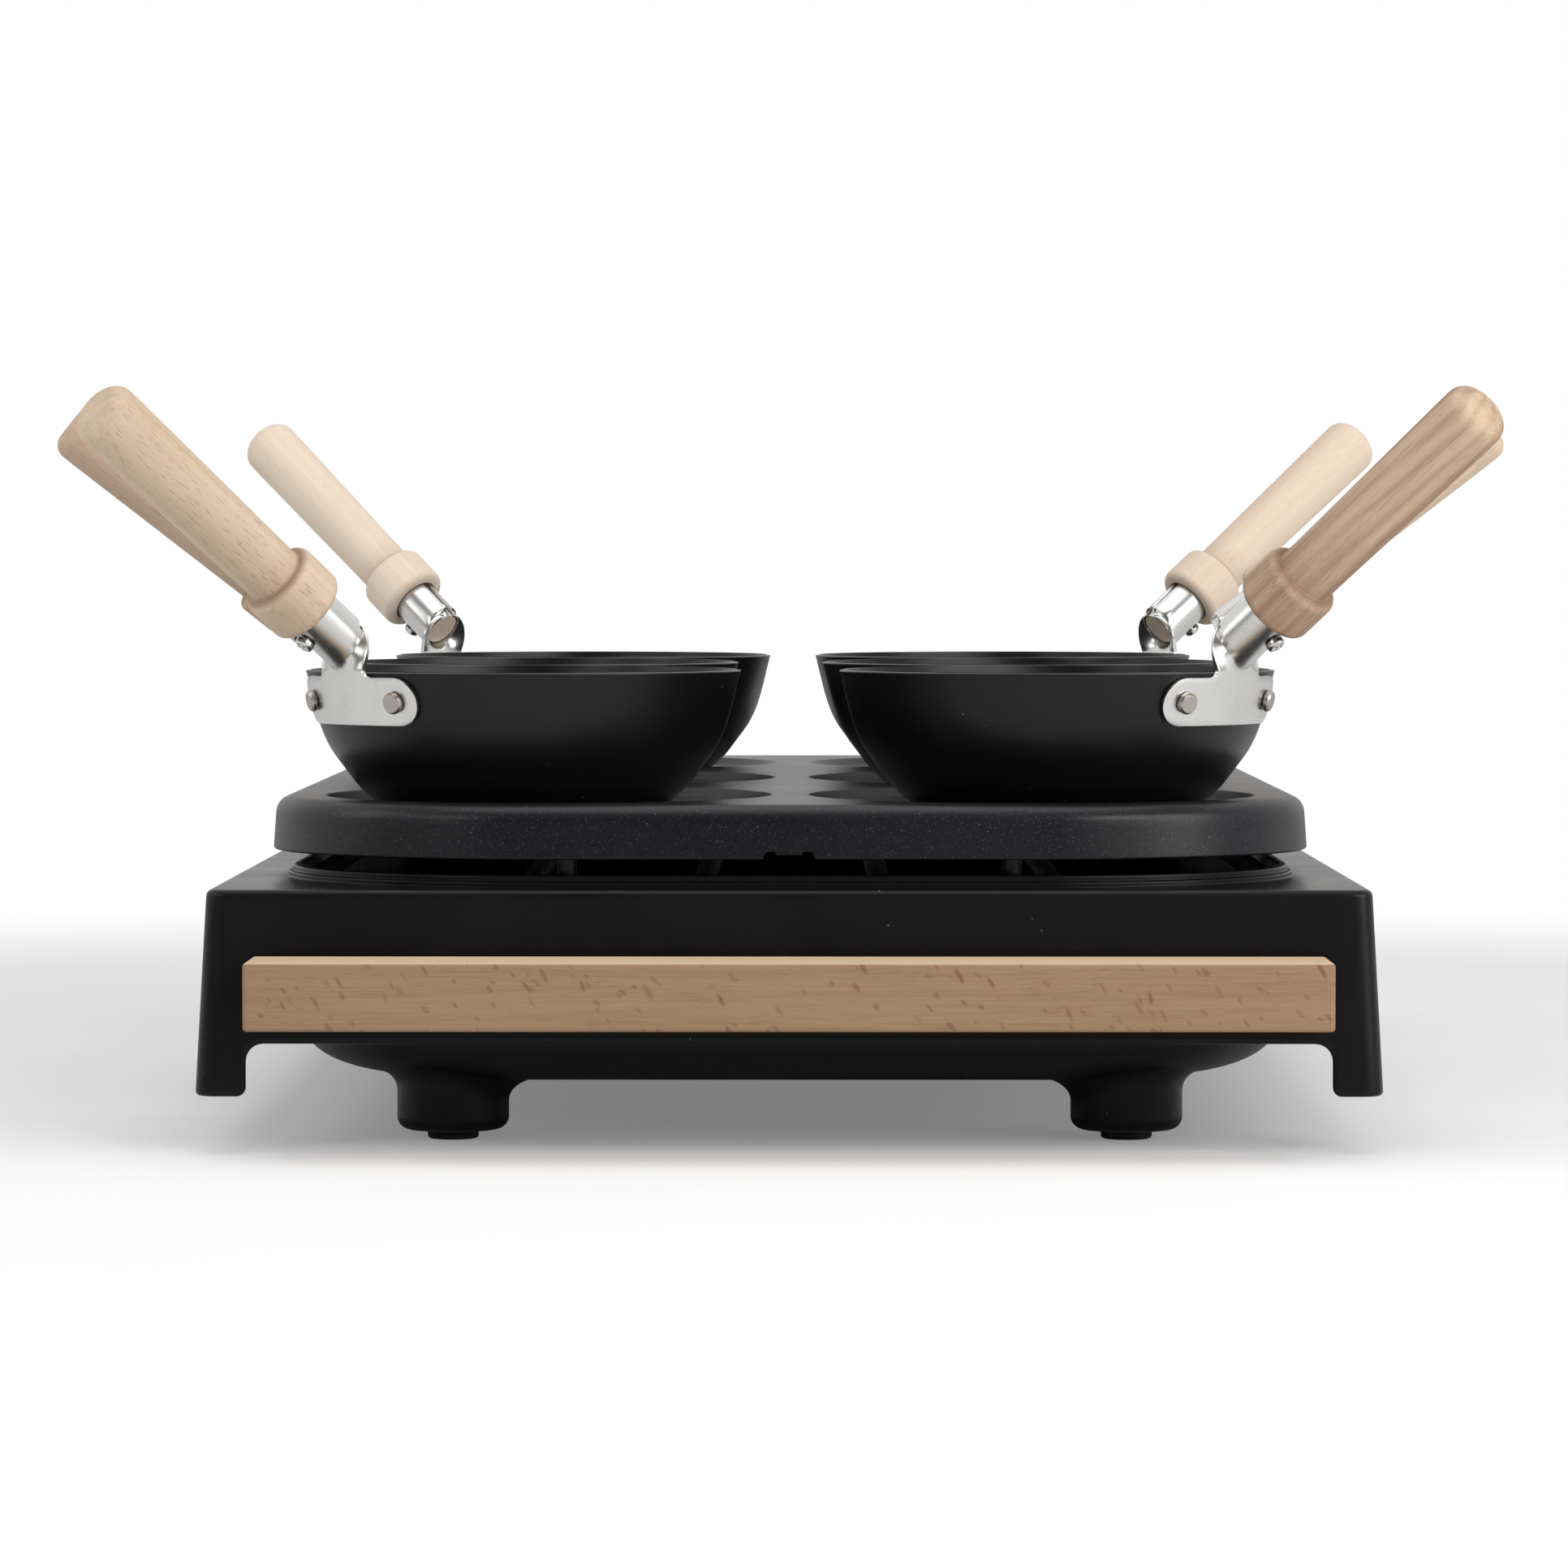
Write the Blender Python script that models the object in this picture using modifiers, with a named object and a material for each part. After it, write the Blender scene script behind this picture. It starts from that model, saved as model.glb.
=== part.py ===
"""Six-person party grill.

A cast griddle with six shallow moulds stands on a flared plastic housing with a
beech bar across each end. Six small woks with riveted brackets and turned beech
handles stand in the moulds. Metres, +Z up, origin on the table under the middle
of the griddle, -Y is the front end and +X the right side.
"""

import math

import bmesh
import bpy
from mathutils import Matrix, Vector

# Clearances and cutter overruns
GAP = 0.0003
OVERRUN = 0.002
SINK = 0.0008
MERGE = 0.00001
SHARP_ANGLE = math.radians(35.0)

# Housing
DECK_WIDTH = 0.3019
DECK_LENGTH = 0.4172
DECK_HEIGHT = 0.0684
HOUSING_WALL = 0.0026
HOUSING_DRAFT = math.radians(3.0)
HOUSING_CORNER = 0.0055
HOUSING_EDGE_ROUND = 0.0018
SKIRT_DEPTH = 0.0397
LEG_DROP = 0.0136
LEG_WIDTH = 0.0134
LEG_FILLET = 0.0045

# Raised bead round the opening, and the ledge inside it
BEAD_SIDE_MARGIN = 0.0151
BEAD_END_MARGIN = 0.00935
BEAD_CORNER = 0.070
BEAD_HEIGHT = 0.0033
BEAD_BREADTH = 0.0050
BEAD_CROWN = 0.0022
BEAD_STEP_HEIGHT = 0.0016
BEAD_STEP_BREADTH = 0.0014
LEDGE_BREADTH = 0.0080

# Screw bosses under the deck corners, and studs that carry the wood bars
BOSS_HEIGHT = 0.0090
BOSS_RADIUS = 0.0042
BOSS_INSET_X = 0.00605
BOSS_INSET_Y = 0.0094
STUD_RADIUS = 0.0030
STUD_LENGTH = 0.0110
STUD_END_MARGIN = 0.0487

# Wood bars
BAR_END_MARGIN = 0.01225
BAR_HEIGHT = 0.0176
BAR_DROP = 0.0346
BAR_REACH = 0.0277
BAR_EDGE = 0.0010

# Bottom tub with its four foot columns
TUB_INSET = 0.00385
TUB_WALL = 0.0020
TUB_BOTTOM = 0.0163
TUB_ROUND_ACROSS = 0.0240
TUB_ROUND_UP = 0.0120
FLANGE_BREADTH = 0.0090
FLANGE_CORNER = 0.0250
FOOT_RADIUS = 0.01485
FOOT_EDGE_ROUND = 0.0024
FOOT_FLARE = 0.0100
FOOT_INSET_X = 0.0425
FOOT_INSET_Y = 0.0318
PAD_RADIUS = 0.0068
PAD_PROUD = 0.0025
PAD_RECESS = 0.0020
PAD_EDGE = 0.0006

# Screws that hold the tub to the housing
SCREW_RADIUS = 0.0015
SCREW_HEAD_RADIUS = 0.0032
SCREW_HEAD_HEIGHT = 0.0022
SCREW_END_GAP = 0.0006
SCREW_CROWN_SHARE = 0.72

# Reflector tray and heating element
TRAY_SHEET = 0.0008
TRAY_DEPTH = 0.0245
TRAY_ROUND = 0.0060
ELEMENT_RADIUS = 0.00325
ELEMENT_RUNS = 4
ELEMENT_PITCH = 0.0500
ELEMENT_STRAIGHT = 0.1200
ELEMENT_RISE = 0.0160
ELEMENT_BEND = 0.0120
ELEMENT_TAIL = 0.0120
SUPPORT_SHEET = 0.0012
SUPPORT_FOOT = 0.0100
SUPPORT_MARGIN = 0.0160
SUPPORT_SPACING = 0.1200

# Electrical pieces inside the tub
BLOCK_LENGTH = 0.0440
BLOCK_WIDTH = 0.0220
BLOCK_HEIGHT = 0.0140
BLOCK_EDGE = 0.0010
BLOCK_HOLE_RADIUS = 0.0024
BLOCK_HOLE_DEPTH = 0.0080
BLOCK_HOLE_PITCH = 0.0120
CUTOUT_RADIUS = 0.0085
CUTOUT_HEIGHT = 0.0080
CUTOUT_FLANGE_RADIUS = 0.0120
CUTOUT_FLANGE = 0.0010

# Fittings in the right side wall
FITTING_DROP = 0.0252
FITTING_FLANGE = 0.0016
FITTING_CORNER = 0.0016
SLOT_CORNER = 0.0004
INLET_Y = 0.1180
INLET_WIDTH = 0.0310
INLET_TALL = 0.0220
INLET_RIM = 0.0034
INLET_BODY_RIM = 0.0016
INLET_DEPTH = 0.0125
INLET_BACK = 0.0014
PIN_WIDTH = 0.0040
PIN_THICK = 0.0020
PIN_LENGTH = 0.0085
PIN_SPREAD = 0.0065
PIN_EARTH_LIFT = 0.0034
SWITCH_Y = 0.0620
SWITCH_WIDTH = 0.0170
SWITCH_TALL = 0.0250
SWITCH_RIM = 0.0032
SWITCH_BODY_RIM = 0.0016
SWITCH_DEPTH = 0.0110
SWITCH_BACK = 0.0012
ROCKER_PIVOT_DEPTH = 0.0030
ROCKER_TILT = math.radians(7.0)
ROCKER_CROWN = 0.0042
ROCKER_DIP = 0.0016
TRUNNION_RADIUS = 0.0012
TRUNNION_LENGTH = 0.0008
LENS_Y = 0.0340
LENS_RADIUS = 0.0028
LENS_RIM = 0.0010
LENS_DOME = 0.0014
LENS_DOME_SHARE = 0.7
LENS_DEPTH = 0.0050

# Griddle plate
PLATE_SIDE_OVERHANG = 0.0039
PLATE_END_OVERHANG = 0.00335
PLATE_CORNER = 0.072
PLATE_STANDOFF = 0.0075
PLATE_HEIGHT = 0.0143
PLATE_DRAFT = math.radians(4.0)
PLATE_EDGE_ROUND = 0.0045
PLATE_SKIN = 0.0070
PLATE_RIM_WALL = 0.0045
LUG_RADIUS = 0.0030
LUG_END_RADIUS = 0.0025
LUG_SPREAD = 0.0580
LUG_INSET = 0.0120
NOTCH_WIDTH = 0.0139
NOTCH_TOP_WIDTH = 0.0120
NOTCH_HEIGHT = 0.0021
NOTCH_LUMP_WIDTH = 0.0070
NOTCH_LUMP_HEIGHT = 0.0008

# Moulds
MOULD_SIDE_RIM = 0.01445
MOULD_END_RIM = 0.0120
MOULD_BRIDGE = 0.0106
MOULD_DEPTH = 0.0028
MOULD_WALL = 0.0045
MOULD_LIP = 0.0005
MOULD_CURVE_SHARES = (0.62, 0.22)

# Mini wok
PAN_RIM_CLEARANCE = 0.0012
PAN_HEIGHT = 0.0363
PAN_WALL = 0.0014
PAN_FOOT_SHARE = 2 / 3
PAN_WALL_SHARES = ((0.24, 0.10), (0.48, 0.28), (0.69, 0.43), (0.82, 0.59))
BRACKET_SHEET = 0.0012
BRACKET_HEIGHT = 0.0126
BRACKET_DROP = 0.0012
BRACKET_HALF_SPAN = 0.0252
BRACKET_NECK = 0.0184
BRACKET_NECK_FLARE = 0.0030
BRACKET_NECK_RISE = 0.0012
BRACKET_NECK_BEND = 0.0020
FERRULE_RADIUS = 0.0071
FERRULE_LENGTH = 0.0206
FERRULE_MOUTH_SLANT = 0.0028
FERRULE_HALF_WRAP = math.radians(170.0)
HANDLE_TILT = math.radians(38.6)
RIVET_OFFSET = 0.0184
RIVET_HEAD_RADIUS = 0.0029
RIVET_HEAD_HEIGHT = 0.0016
RIVET_RADIUS = 0.0016
RIVET_INNER_HEAD_RADIUS = 0.0027
RIVET_INNER_HEAD_HEIGHT = 0.0008
RIVET_CROWN_SHARE = 0.8

# Turned handle, measured from the wok end of its collar
HANDLE_LENGTH = 0.0842
COLLAR_RADIUS = 0.0109
COLLAR_LENGTH = 0.0140
COLLAR_ROUND = 0.0022
COLLAR_SEAT_DEPTH = 0.0035
GRIP_NECK_RADIUS = 0.0082
GRIP_END_RADIUS = 0.0089
GRIP_END_ROUND = 0.0042
GRIP_END_SHARES = (0.8, 0.3)
TENON_SETBACK = 0.0004
HANDLE_SCREW_BACK = 0.0045
HANDLE_SCREW_RADIUS = 0.0012
HANDLE_SCREW_HEAD_RADIUS = 0.0025
HANDLE_SCREW_HEAD_HEIGHT = 0.0017
HANDLE_SCREW_DEPTH = 0.0040
HANDLE_SCREW_CROWN_SHARES = (0.75, 0.4)

# How far each wok sits off the middle of its mould, as shares of the free play,
# and which way its handle points: degrees from the front end towards its own side.
WOK_SHIFT_SHARES = {"front": (0.42, 0.42), "middle": (0.56, 0.15), "rear": (0.04, 0.03)}
WOK_HANDLE_DEGREES = {"front": (51.2, 51.5), "middle": (81.0, 84.5), "rear": (127.3, 120.0)}
WOK_ROWS = ("front", "middle", "rear")
WOK_SIDES = (("left", -1), ("right", 1))

# Facets
CORNER_STEPS = 6
PAN_STEPS = 24
HANDLE_STEPS = 14
MOULD_STEPS = 24
ROUND_STEPS = 14
SMALL_STEPS = 8
FERRULE_POINTS = 11
TUB_STEPS = 4
PLATE_EDGE_STEPS = 3
ELEMENT_TAIL_STEPS = 4
ELEMENT_TURN_STEPS = 8
ROCKER_STEPS = 10
BRACKET_END_STEPS = 3
NECK_STEPS = 2

# Places worked out from the sizes above
DECK_UNDERSIDE = DECK_HEIGHT - HOUSING_WALL
SKIRT_BOTTOM = DECK_HEIGHT - SKIRT_DEPTH
LEG_BOTTOM = SKIRT_BOTTOM - LEG_DROP
FITTING_HEIGHT = DECK_HEIGHT - FITTING_DROP
BAR_BOTTOM = DECK_HEIGHT - BAR_DROP
BAR_HALF = DECK_WIDTH / 2 - BAR_END_MARGIN
STUD_X = BAR_HALF - STUD_END_MARGIN
BEAD_HALF_X = DECK_WIDTH / 2 - BEAD_SIDE_MARGIN
BEAD_HALF_Y = DECK_LENGTH / 2 - BEAD_END_MARGIN
BOSS_BOTTOM = DECK_UNDERSIDE - BOSS_HEIGHT
FLANGE_TOP = BOSS_BOTTOM - GAP
FLANGE_BOTTOM = FLANGE_TOP - TUB_WALL
TUB_HALF_X = BEAD_HALF_X - TUB_INSET
TUB_HALF_Y = BEAD_HALF_Y - TUB_INSET
TUB_CORNER = BEAD_CORNER - TUB_INSET
BOSS_X = TUB_HALF_X - BOSS_INSET_X
BOSS_Y = TUB_HALF_Y - BOSS_INSET_Y
TUB_FLOOR = TUB_BOTTOM + TUB_WALL
FOOT_X = TUB_HALF_X - FOOT_INSET_X
FOOT_Y = TUB_HALF_Y - FOOT_INSET_Y
TRAY_FLANGE_BOTTOM = DECK_HEIGHT + GAP
TRAY_FLANGE_TOP = TRAY_FLANGE_BOTTOM + TRAY_SHEET
TRAY_FLOOR_BOTTOM = TRAY_FLANGE_BOTTOM - TRAY_DEPTH
TRAY_FLOOR_TOP = TRAY_FLOOR_BOTTOM + TRAY_SHEET
TRAY_EDGE_INSET = BEAD_BREADTH + GAP
TRAY_WALL_INSET = BEAD_BREADTH + LEDGE_BREADTH + GAP
ELEMENT_Z = TRAY_FLOOR_TOP + ELEMENT_RISE
PLATE_BOTTOM = DECK_HEIGHT + PLATE_STANDOFF
PLATE_TOP = PLATE_BOTTOM + PLATE_HEIGHT
PLATE_UNDERSIDE = PLATE_TOP - PLATE_SKIN
PLATE_HALF_X = BEAD_HALF_X + PLATE_SIDE_OVERHANG
PLATE_HALF_Y = BEAD_HALF_Y + PLATE_END_OVERHANG
LUG_BOTTOM = TRAY_FLANGE_TOP + GAP
MOULD_RADIUS_ALONG = (PLATE_HALF_Y - MOULD_END_RIM - MOULD_BRIDGE) / 3
MOULD_RADIUS_ACROSS = (PLATE_HALF_X - MOULD_SIDE_RIM - MOULD_BRIDGE / 2) / 2
MOULD_RADIUS = min(MOULD_RADIUS_ALONG, MOULD_RADIUS_ACROSS)
MOULD_X = PLATE_HALF_X - MOULD_SIDE_RIM - MOULD_RADIUS
MOULD_Y = PLATE_HALF_Y - MOULD_END_RIM - MOULD_RADIUS
MOULD_FLOOR = PLATE_TOP - MOULD_DEPTH
MOULD_FLOOR_RADIUS = MOULD_RADIUS - MOULD_WALL
PAN_BOTTOM = MOULD_FLOOR + GAP
PAN_RADIUS = MOULD_RADIUS - PAN_RIM_CLEARANCE
PAN_FOOT_RADIUS = PAN_RADIUS * PAN_FOOT_SHARE
PAN_FACET_SAG = PAN_RADIUS * (1 - math.cos(math.pi / PAN_STEPS))
WOK_PLAY = MOULD_FLOOR_RADIUS - PAN_FOOT_RADIUS
BRACKET_TOP = PAN_HEIGHT - BRACKET_DROP
BRACKET_MIDDLE = BRACKET_TOP - BRACKET_HEIGHT / 2
FERRULE_FACET = FERRULE_HALF_WRAP / (FERRULE_POINTS - 1)
TENON_RADIUS = (FERRULE_RADIUS - BRACKET_SHEET) * math.cos(FERRULE_FACET) - GAP
COLLAR_START = FERRULE_LENGTH - COLLAR_SEAT_DEPTH + GAP
HANDLE_SCREW_PLACE = COLLAR_START - HANDLE_SCREW_BACK

PARTS = "gourmet_grill"
CUTTERS = "cutters"


def clear_scene():
    """Removes whatever the file holds."""
    for thing in list(bpy.data.objects):
        bpy.data.objects.remove(thing)
    for name in (PARTS, CUTTERS):
        bpy.context.scene.collection.children.link(bpy.data.collections.new(name))


def add_object(name, data, material=None, parent=None, collection=PARTS):
    """Links a new object, with its material, into one of the two collections."""
    thing = bpy.data.objects.new(name, data)
    bpy.data.collections[collection].objects.link(thing)
    if material and not data.materials:
        data.materials.append(material)
    if parent:
        thing.parent = parent
    return thing


def add_empty(name, location, parent=None):
    """An empty that carries a moving group and marks its joint."""
    thing = add_object(name, None, parent=parent)
    thing.location = location
    return thing


def finish(name, colour, roughness, metallic=0.0):
    """A plain Principled material."""
    material = bpy.data.materials.new(name)
    material.use_nodes = True
    shader = material.node_tree.nodes["Principled BSDF"]
    shader.inputs["Base Color"].default_value = (*colour, 1.0)
    shader.inputs["Roughness"].default_value = roughness
    shader.inputs["Metallic"].default_value = metallic
    return material


def shade(mesh):
    """Smooth shading with crisp edges where faces turn sharply."""
    mesh.shade_smooth()
    mesh.set_sharp_from_angle(angle=SHARP_ANGLE)


def mesh_from(name, bm):
    """Writes a bmesh into a new mesh with its faces pointing out."""
    bmesh.ops.recalc_face_normals(bm, faces=bm.faces)
    if bm.calc_volume(signed=True) < 0.0:
        bmesh.ops.reverse_faces(bm, faces=bm.faces)
    mesh = bpy.data.meshes.new(name)
    bm.to_mesh(mesh)
    bm.free()
    shade(mesh)
    return mesh


def rounded_ring(half_x, half_y, corner, z):
    """A rounded rectangle as a closed ring of points, seen from above."""
    points = []
    for quarter, (side_x, side_y) in enumerate(((1, 1), (-1, 1), (-1, -1), (1, -1))):
        centre_x = side_x * (half_x - corner)
        centre_y = side_y * (half_y - corner)
        for step in range(CORNER_STEPS + 1):
            angle = (quarter + step / CORNER_STEPS) * math.pi / 2
            points.append(
                (
                    centre_x + corner * math.cos(angle),
                    centre_y + corner * math.sin(angle),
                    z,
                )
            )
    return points


def inset_ring(half_x, half_y, corner, inset, z):
    """The same ring drawn in by an even distance, so its corners stay concentric."""
    return rounded_ring(half_x - inset, half_y - inset, corner - inset, z)


def loft(name, rings, closed=False):
    """Skins a stack of rings with equal counts; it is capped, or joined end to start."""
    bm = bmesh.new()
    loops = [[bm.verts.new(point) for point in ring] for ring in rings]
    pairs = list(zip(loops, loops[1:]))
    if closed:
        pairs.append((loops[-1], loops[0]))
    for lower, upper in pairs:
        for i in range(len(lower)):
            j = (i + 1) % len(lower)
            bm.faces.new((lower[i], lower[j], upper[j], upper[i]))
    if not closed:
        bm.faces.new(list(reversed(loops[0])))
        bm.faces.new(loops[-1])
    return mesh_from(name, bm)


def box_mesh(name, size, centre):
    """A box with the given size and centre."""
    bm = bmesh.new()
    bmesh.ops.create_cube(bm, size=1.0)
    bmesh.ops.scale(bm, vec=size, verts=bm.verts)
    bmesh.ops.translate(bm, vec=centre, verts=bm.verts)
    return mesh_from(name, bm)


def rod_mesh(name, radius, start, end, steps=SMALL_STEPS, end_radius=None):
    """A round bar, or a tapered one, between two points."""
    start = Vector(start)
    end = Vector(end)
    reach = end - start
    turn = reach.to_track_quat("Z", "Y").to_matrix().to_4x4()
    bm = bmesh.new()
    bmesh.ops.create_cone(
        bm,
        cap_ends=True,
        segments=steps,
        radius1=radius,
        radius2=radius if end_radius is None else end_radius,
        depth=reach.length,
    )
    bm.transform(Matrix.Translation((start + end) / 2) @ turn)
    return mesh_from(name, bm)


def turned(name, profile, steps, material=None, collection=PARTS):
    """A profile of (radius, height) points, turned about Z with a Screw modifier."""
    mesh = bpy.data.meshes.new(name)
    points = [(radius, 0.0, height) for radius, height in profile]
    edges = [(i, i + 1) for i in range(len(points) - 1)]
    mesh.from_pydata(points, edges, [])
    thing = add_object(name, mesh, material, collection=collection)
    screw = thing.modifiers.new("turn", "SCREW")
    screw.axis = "Z"
    screw.steps = steps
    screw.render_steps = steps
    screw.use_merge_vertices = True
    screw.merge_threshold = MERGE
    screw.use_smooth_shade = True
    return thing


def settled_mesh(thing):
    """The mesh of an object with its modifiers applied; the object itself is removed."""
    graph = bpy.context.evaluated_depsgraph_get()
    graph.update()
    mesh = bpy.data.meshes.new_from_object(thing.evaluated_get(graph))
    shade(mesh)
    bpy.data.objects.remove(thing)
    return mesh


def turned_mesh(name, profile, steps):
    """A turned shape as a plain mesh."""
    return settled_mesh(turned(name, profile, steps, collection=CUTTERS))


def gathered(name, mesh, matrices):
    """One mesh with a copy of the given mesh at each place."""
    bm = bmesh.new()
    for matrix in matrices:
        copy = mesh.copy()
        copy.transform(matrix)
        bm.from_mesh(copy)
        bpy.data.meshes.remove(copy)
    result = bpy.data.meshes.new(name)
    bm.to_mesh(result)
    bm.free()
    return result


def combine(target, mesh, operation):
    """Cuts a mesh from the target, or joins it on, with an exact Boolean."""
    tool = add_object(target.name + "_tool", mesh, collection=CUTTERS)
    tool.hide_render = True
    tool.display_type = "WIRE"
    step = target.modifiers.new(operation.lower(), "BOOLEAN")
    step.operation = operation
    step.solver = "EXACT"
    step.object = tool
    return tool


def cut(target, mesh):
    """Takes the mesh away from the target."""
    return combine(target, mesh, "DIFFERENCE")


def join(target, mesh):
    """Adds the mesh to the target."""
    return combine(target, mesh, "UNION")


def baked_copy(thing):
    """Applies an object's Booleans, and removes the object and its cutters."""
    tools = [step.object for step in thing.modifiers if step.type == "BOOLEAN"]
    mesh = settled_mesh(thing)
    for tool in tools:
        bpy.data.objects.remove(tool)
    return mesh


def bevel(thing, width, segments):
    """Rounds every edge of an object."""
    step = thing.modifiers.new("edges", "BEVEL")
    step.width = width
    step.segments = segments
    step.limit_method = "ANGLE"
    return step


def at_corners(x, y, z=0.0):
    """Matrices for the four mirror places of a point."""
    return [Matrix.Translation((sx * x, sy * y, z)) for sx in (-1, 1) for sy in (-1, 1)]


def housing_half_x(z):
    """Half width over the drafted side walls at a height."""
    return DECK_WIDTH / 2 + (DECK_HEIGHT - z) * math.tan(HOUSING_DRAFT)


def housing_half_y(z):
    """Half length over the drafted end walls at a height."""
    return DECK_LENGTH / 2 + (DECK_HEIGHT - z) * math.tan(HOUSING_DRAFT)


def side_frame(y, z):
    """A place on the right wall: local X runs to the rear, Y up the wall, Z outwards."""
    lean = math.sin(HOUSING_DRAFT)
    rise = math.cos(HOUSING_DRAFT)
    columns = ((0.0, 1.0, 0.0), (-lean, 0.0, rise), (rise, 0.0, lean))
    turn = Matrix(columns).transposed().to_4x4()
    return Matrix.Translation((housing_half_x(z), y, z)) @ turn


def leg_gap_cutter(half_span, reach, along_y):
    """The space between two legs, with rounded upper corners, right through the housing."""
    bottom = LEG_BOTTOM - OVERRUN
    fillet_points = [(-half_span, bottom)]
    for side in (-1, 1):
        for step in range(CORNER_STEPS + 1):
            share = step / CORNER_STEPS if side < 0 else 1 - step / CORNER_STEPS
            angle = share * math.pi / 2
            x = side * (half_span - LEG_FILLET + LEG_FILLET * math.cos(angle))
            z = SKIRT_BOTTOM - LEG_FILLET + LEG_FILLET * math.sin(angle)
            fillet_points.append((x, z))
    fillet_points.append((half_span, bottom))
    near = [(x, -reach, z) for x, z in fillet_points]
    far = [(x, reach, z) for x, z in fillet_points]
    mesh = loft("leg_gap", [near, far])
    if not along_y:
        mesh.transform(Matrix.Rotation(math.pi / 2, 4, "Z"))
    return mesh


def build_housing(material):
    """Flared shell with legs, a beaded opening, screw bosses and bar studs."""
    bottom_x = housing_half_x(LEG_BOTTOM)
    bottom_y = housing_half_y(LEG_BOTTOM)
    edge_z = DECK_HEIGHT - HOUSING_EDGE_ROUND
    soft = HOUSING_EDGE_ROUND * (1 - math.cos(math.pi / 4))
    top = (DECK_WIDTH / 2, DECK_LENGTH / 2, HOUSING_CORNER)
    bead = (BEAD_HALF_X, BEAD_HALF_Y, BEAD_CORNER)
    bead_top = DECK_HEIGHT + BEAD_HEIGHT
    step_top = DECK_HEIGHT + BEAD_STEP_HEIGHT
    crown_end = BEAD_STEP_BREADTH + BEAD_CROWN
    opening = BEAD_BREADTH + LEDGE_BREADTH
    rings = [
        rounded_ring(bottom_x, bottom_y, HOUSING_CORNER, LEG_BOTTOM),
        rounded_ring(housing_half_x(edge_z), housing_half_y(edge_z), HOUSING_CORNER, edge_z),
        inset_ring(*top, soft, DECK_HEIGHT - soft),
        inset_ring(*top, HOUSING_EDGE_ROUND, DECK_HEIGHT),
        inset_ring(*bead, 0.0, DECK_HEIGHT),
        inset_ring(*bead, 0.0, step_top),
        inset_ring(*bead, BEAD_STEP_BREADTH, step_top),
        inset_ring(*bead, BEAD_STEP_BREADTH, bead_top),
        inset_ring(*bead, crown_end, bead_top),
        inset_ring(*bead, BEAD_BREADTH, DECK_HEIGHT),
        inset_ring(*bead, opening, DECK_HEIGHT),
        inset_ring(*bead, opening, DECK_UNDERSIDE),
        inset_ring(
            housing_half_x(DECK_UNDERSIDE),
            housing_half_y(DECK_UNDERSIDE),
            HOUSING_CORNER,
            HOUSING_WALL,
            DECK_UNDERSIDE,
        ),
        inset_ring(bottom_x, bottom_y, HOUSING_CORNER, HOUSING_WALL, LEG_BOTTOM),
    ]
    housing = add_object("housing", loft("housing", rings, closed=True), material)
    through = bottom_y + OVERRUN
    cut(housing, leg_gap_cutter(bottom_x - LEG_WIDTH, through, True))
    cut(housing, leg_gap_cutter(bottom_y - LEG_WIDTH, bottom_x + OVERRUN, False))
    boss = turned_mesh(
        "boss",
        (
            (0.0, DECK_UNDERSIDE + SINK),
            (BOSS_RADIUS, DECK_UNDERSIDE + SINK),
            (BOSS_RADIUS, BOSS_BOTTOM),
            (SCREW_RADIUS + GAP, BOSS_BOTTOM),
            (SCREW_RADIUS + GAP, DECK_UNDERSIDE - GAP),
            (0.0, DECK_UNDERSIDE - GAP),
        ),
        SMALL_STEPS,
    )
    join(housing, gathered("bosses", boss, at_corners(BOSS_X, BOSS_Y)))
    studs = []
    bar_z = BAR_BOTTOM + BAR_HEIGHT / 2
    for end in (-1, 1):
        face = end * housing_half_y(bar_z)
        start = (STUD_X, face - end * SINK, bar_z)
        tip = (STUD_X, face + end * STUD_LENGTH, bar_z)
        studs.append(rod_mesh("stud", STUD_RADIUS, start, tip))
    sides = [Matrix.Identity(4), Matrix.Translation((-2 * STUD_X, 0.0, 0.0))]
    for stud in studs:
        join(housing, gathered("studs", stud, sides))
    cut(housing, wall_hole(INLET_Y, INLET_WIDTH, INLET_TALL, INLET_BODY_RIM))
    cut(housing, wall_hole(SWITCH_Y, SWITCH_WIDTH, SWITCH_TALL, SWITCH_BODY_RIM))
    lens_hole = rod_mesh(
        "lens_hole",
        LENS_RADIUS + GAP,
        (0.0, 0.0, -HOUSING_WALL - OVERRUN),
        (0.0, 0.0, OVERRUN),
        ROUND_STEPS,
    )
    lens_hole.transform(side_frame(LENS_Y, FITTING_HEIGHT))
    cut(housing, lens_hole)
    return housing


def wall_hole(y, width, tall, rim):
    """A rounded rectangular hole through the right wall that fits a body behind its rim."""
    half_x = width / 2 - rim + GAP
    half_y = tall / 2 - rim + GAP
    depths = (-HOUSING_WALL - OVERRUN, OVERRUN)
    rings = [rounded_ring(half_x, half_y, FITTING_CORNER, depth) for depth in depths]
    mesh = loft("wall_hole", rings)
    mesh.transform(side_frame(y, FITTING_HEIGHT))
    return mesh


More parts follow.
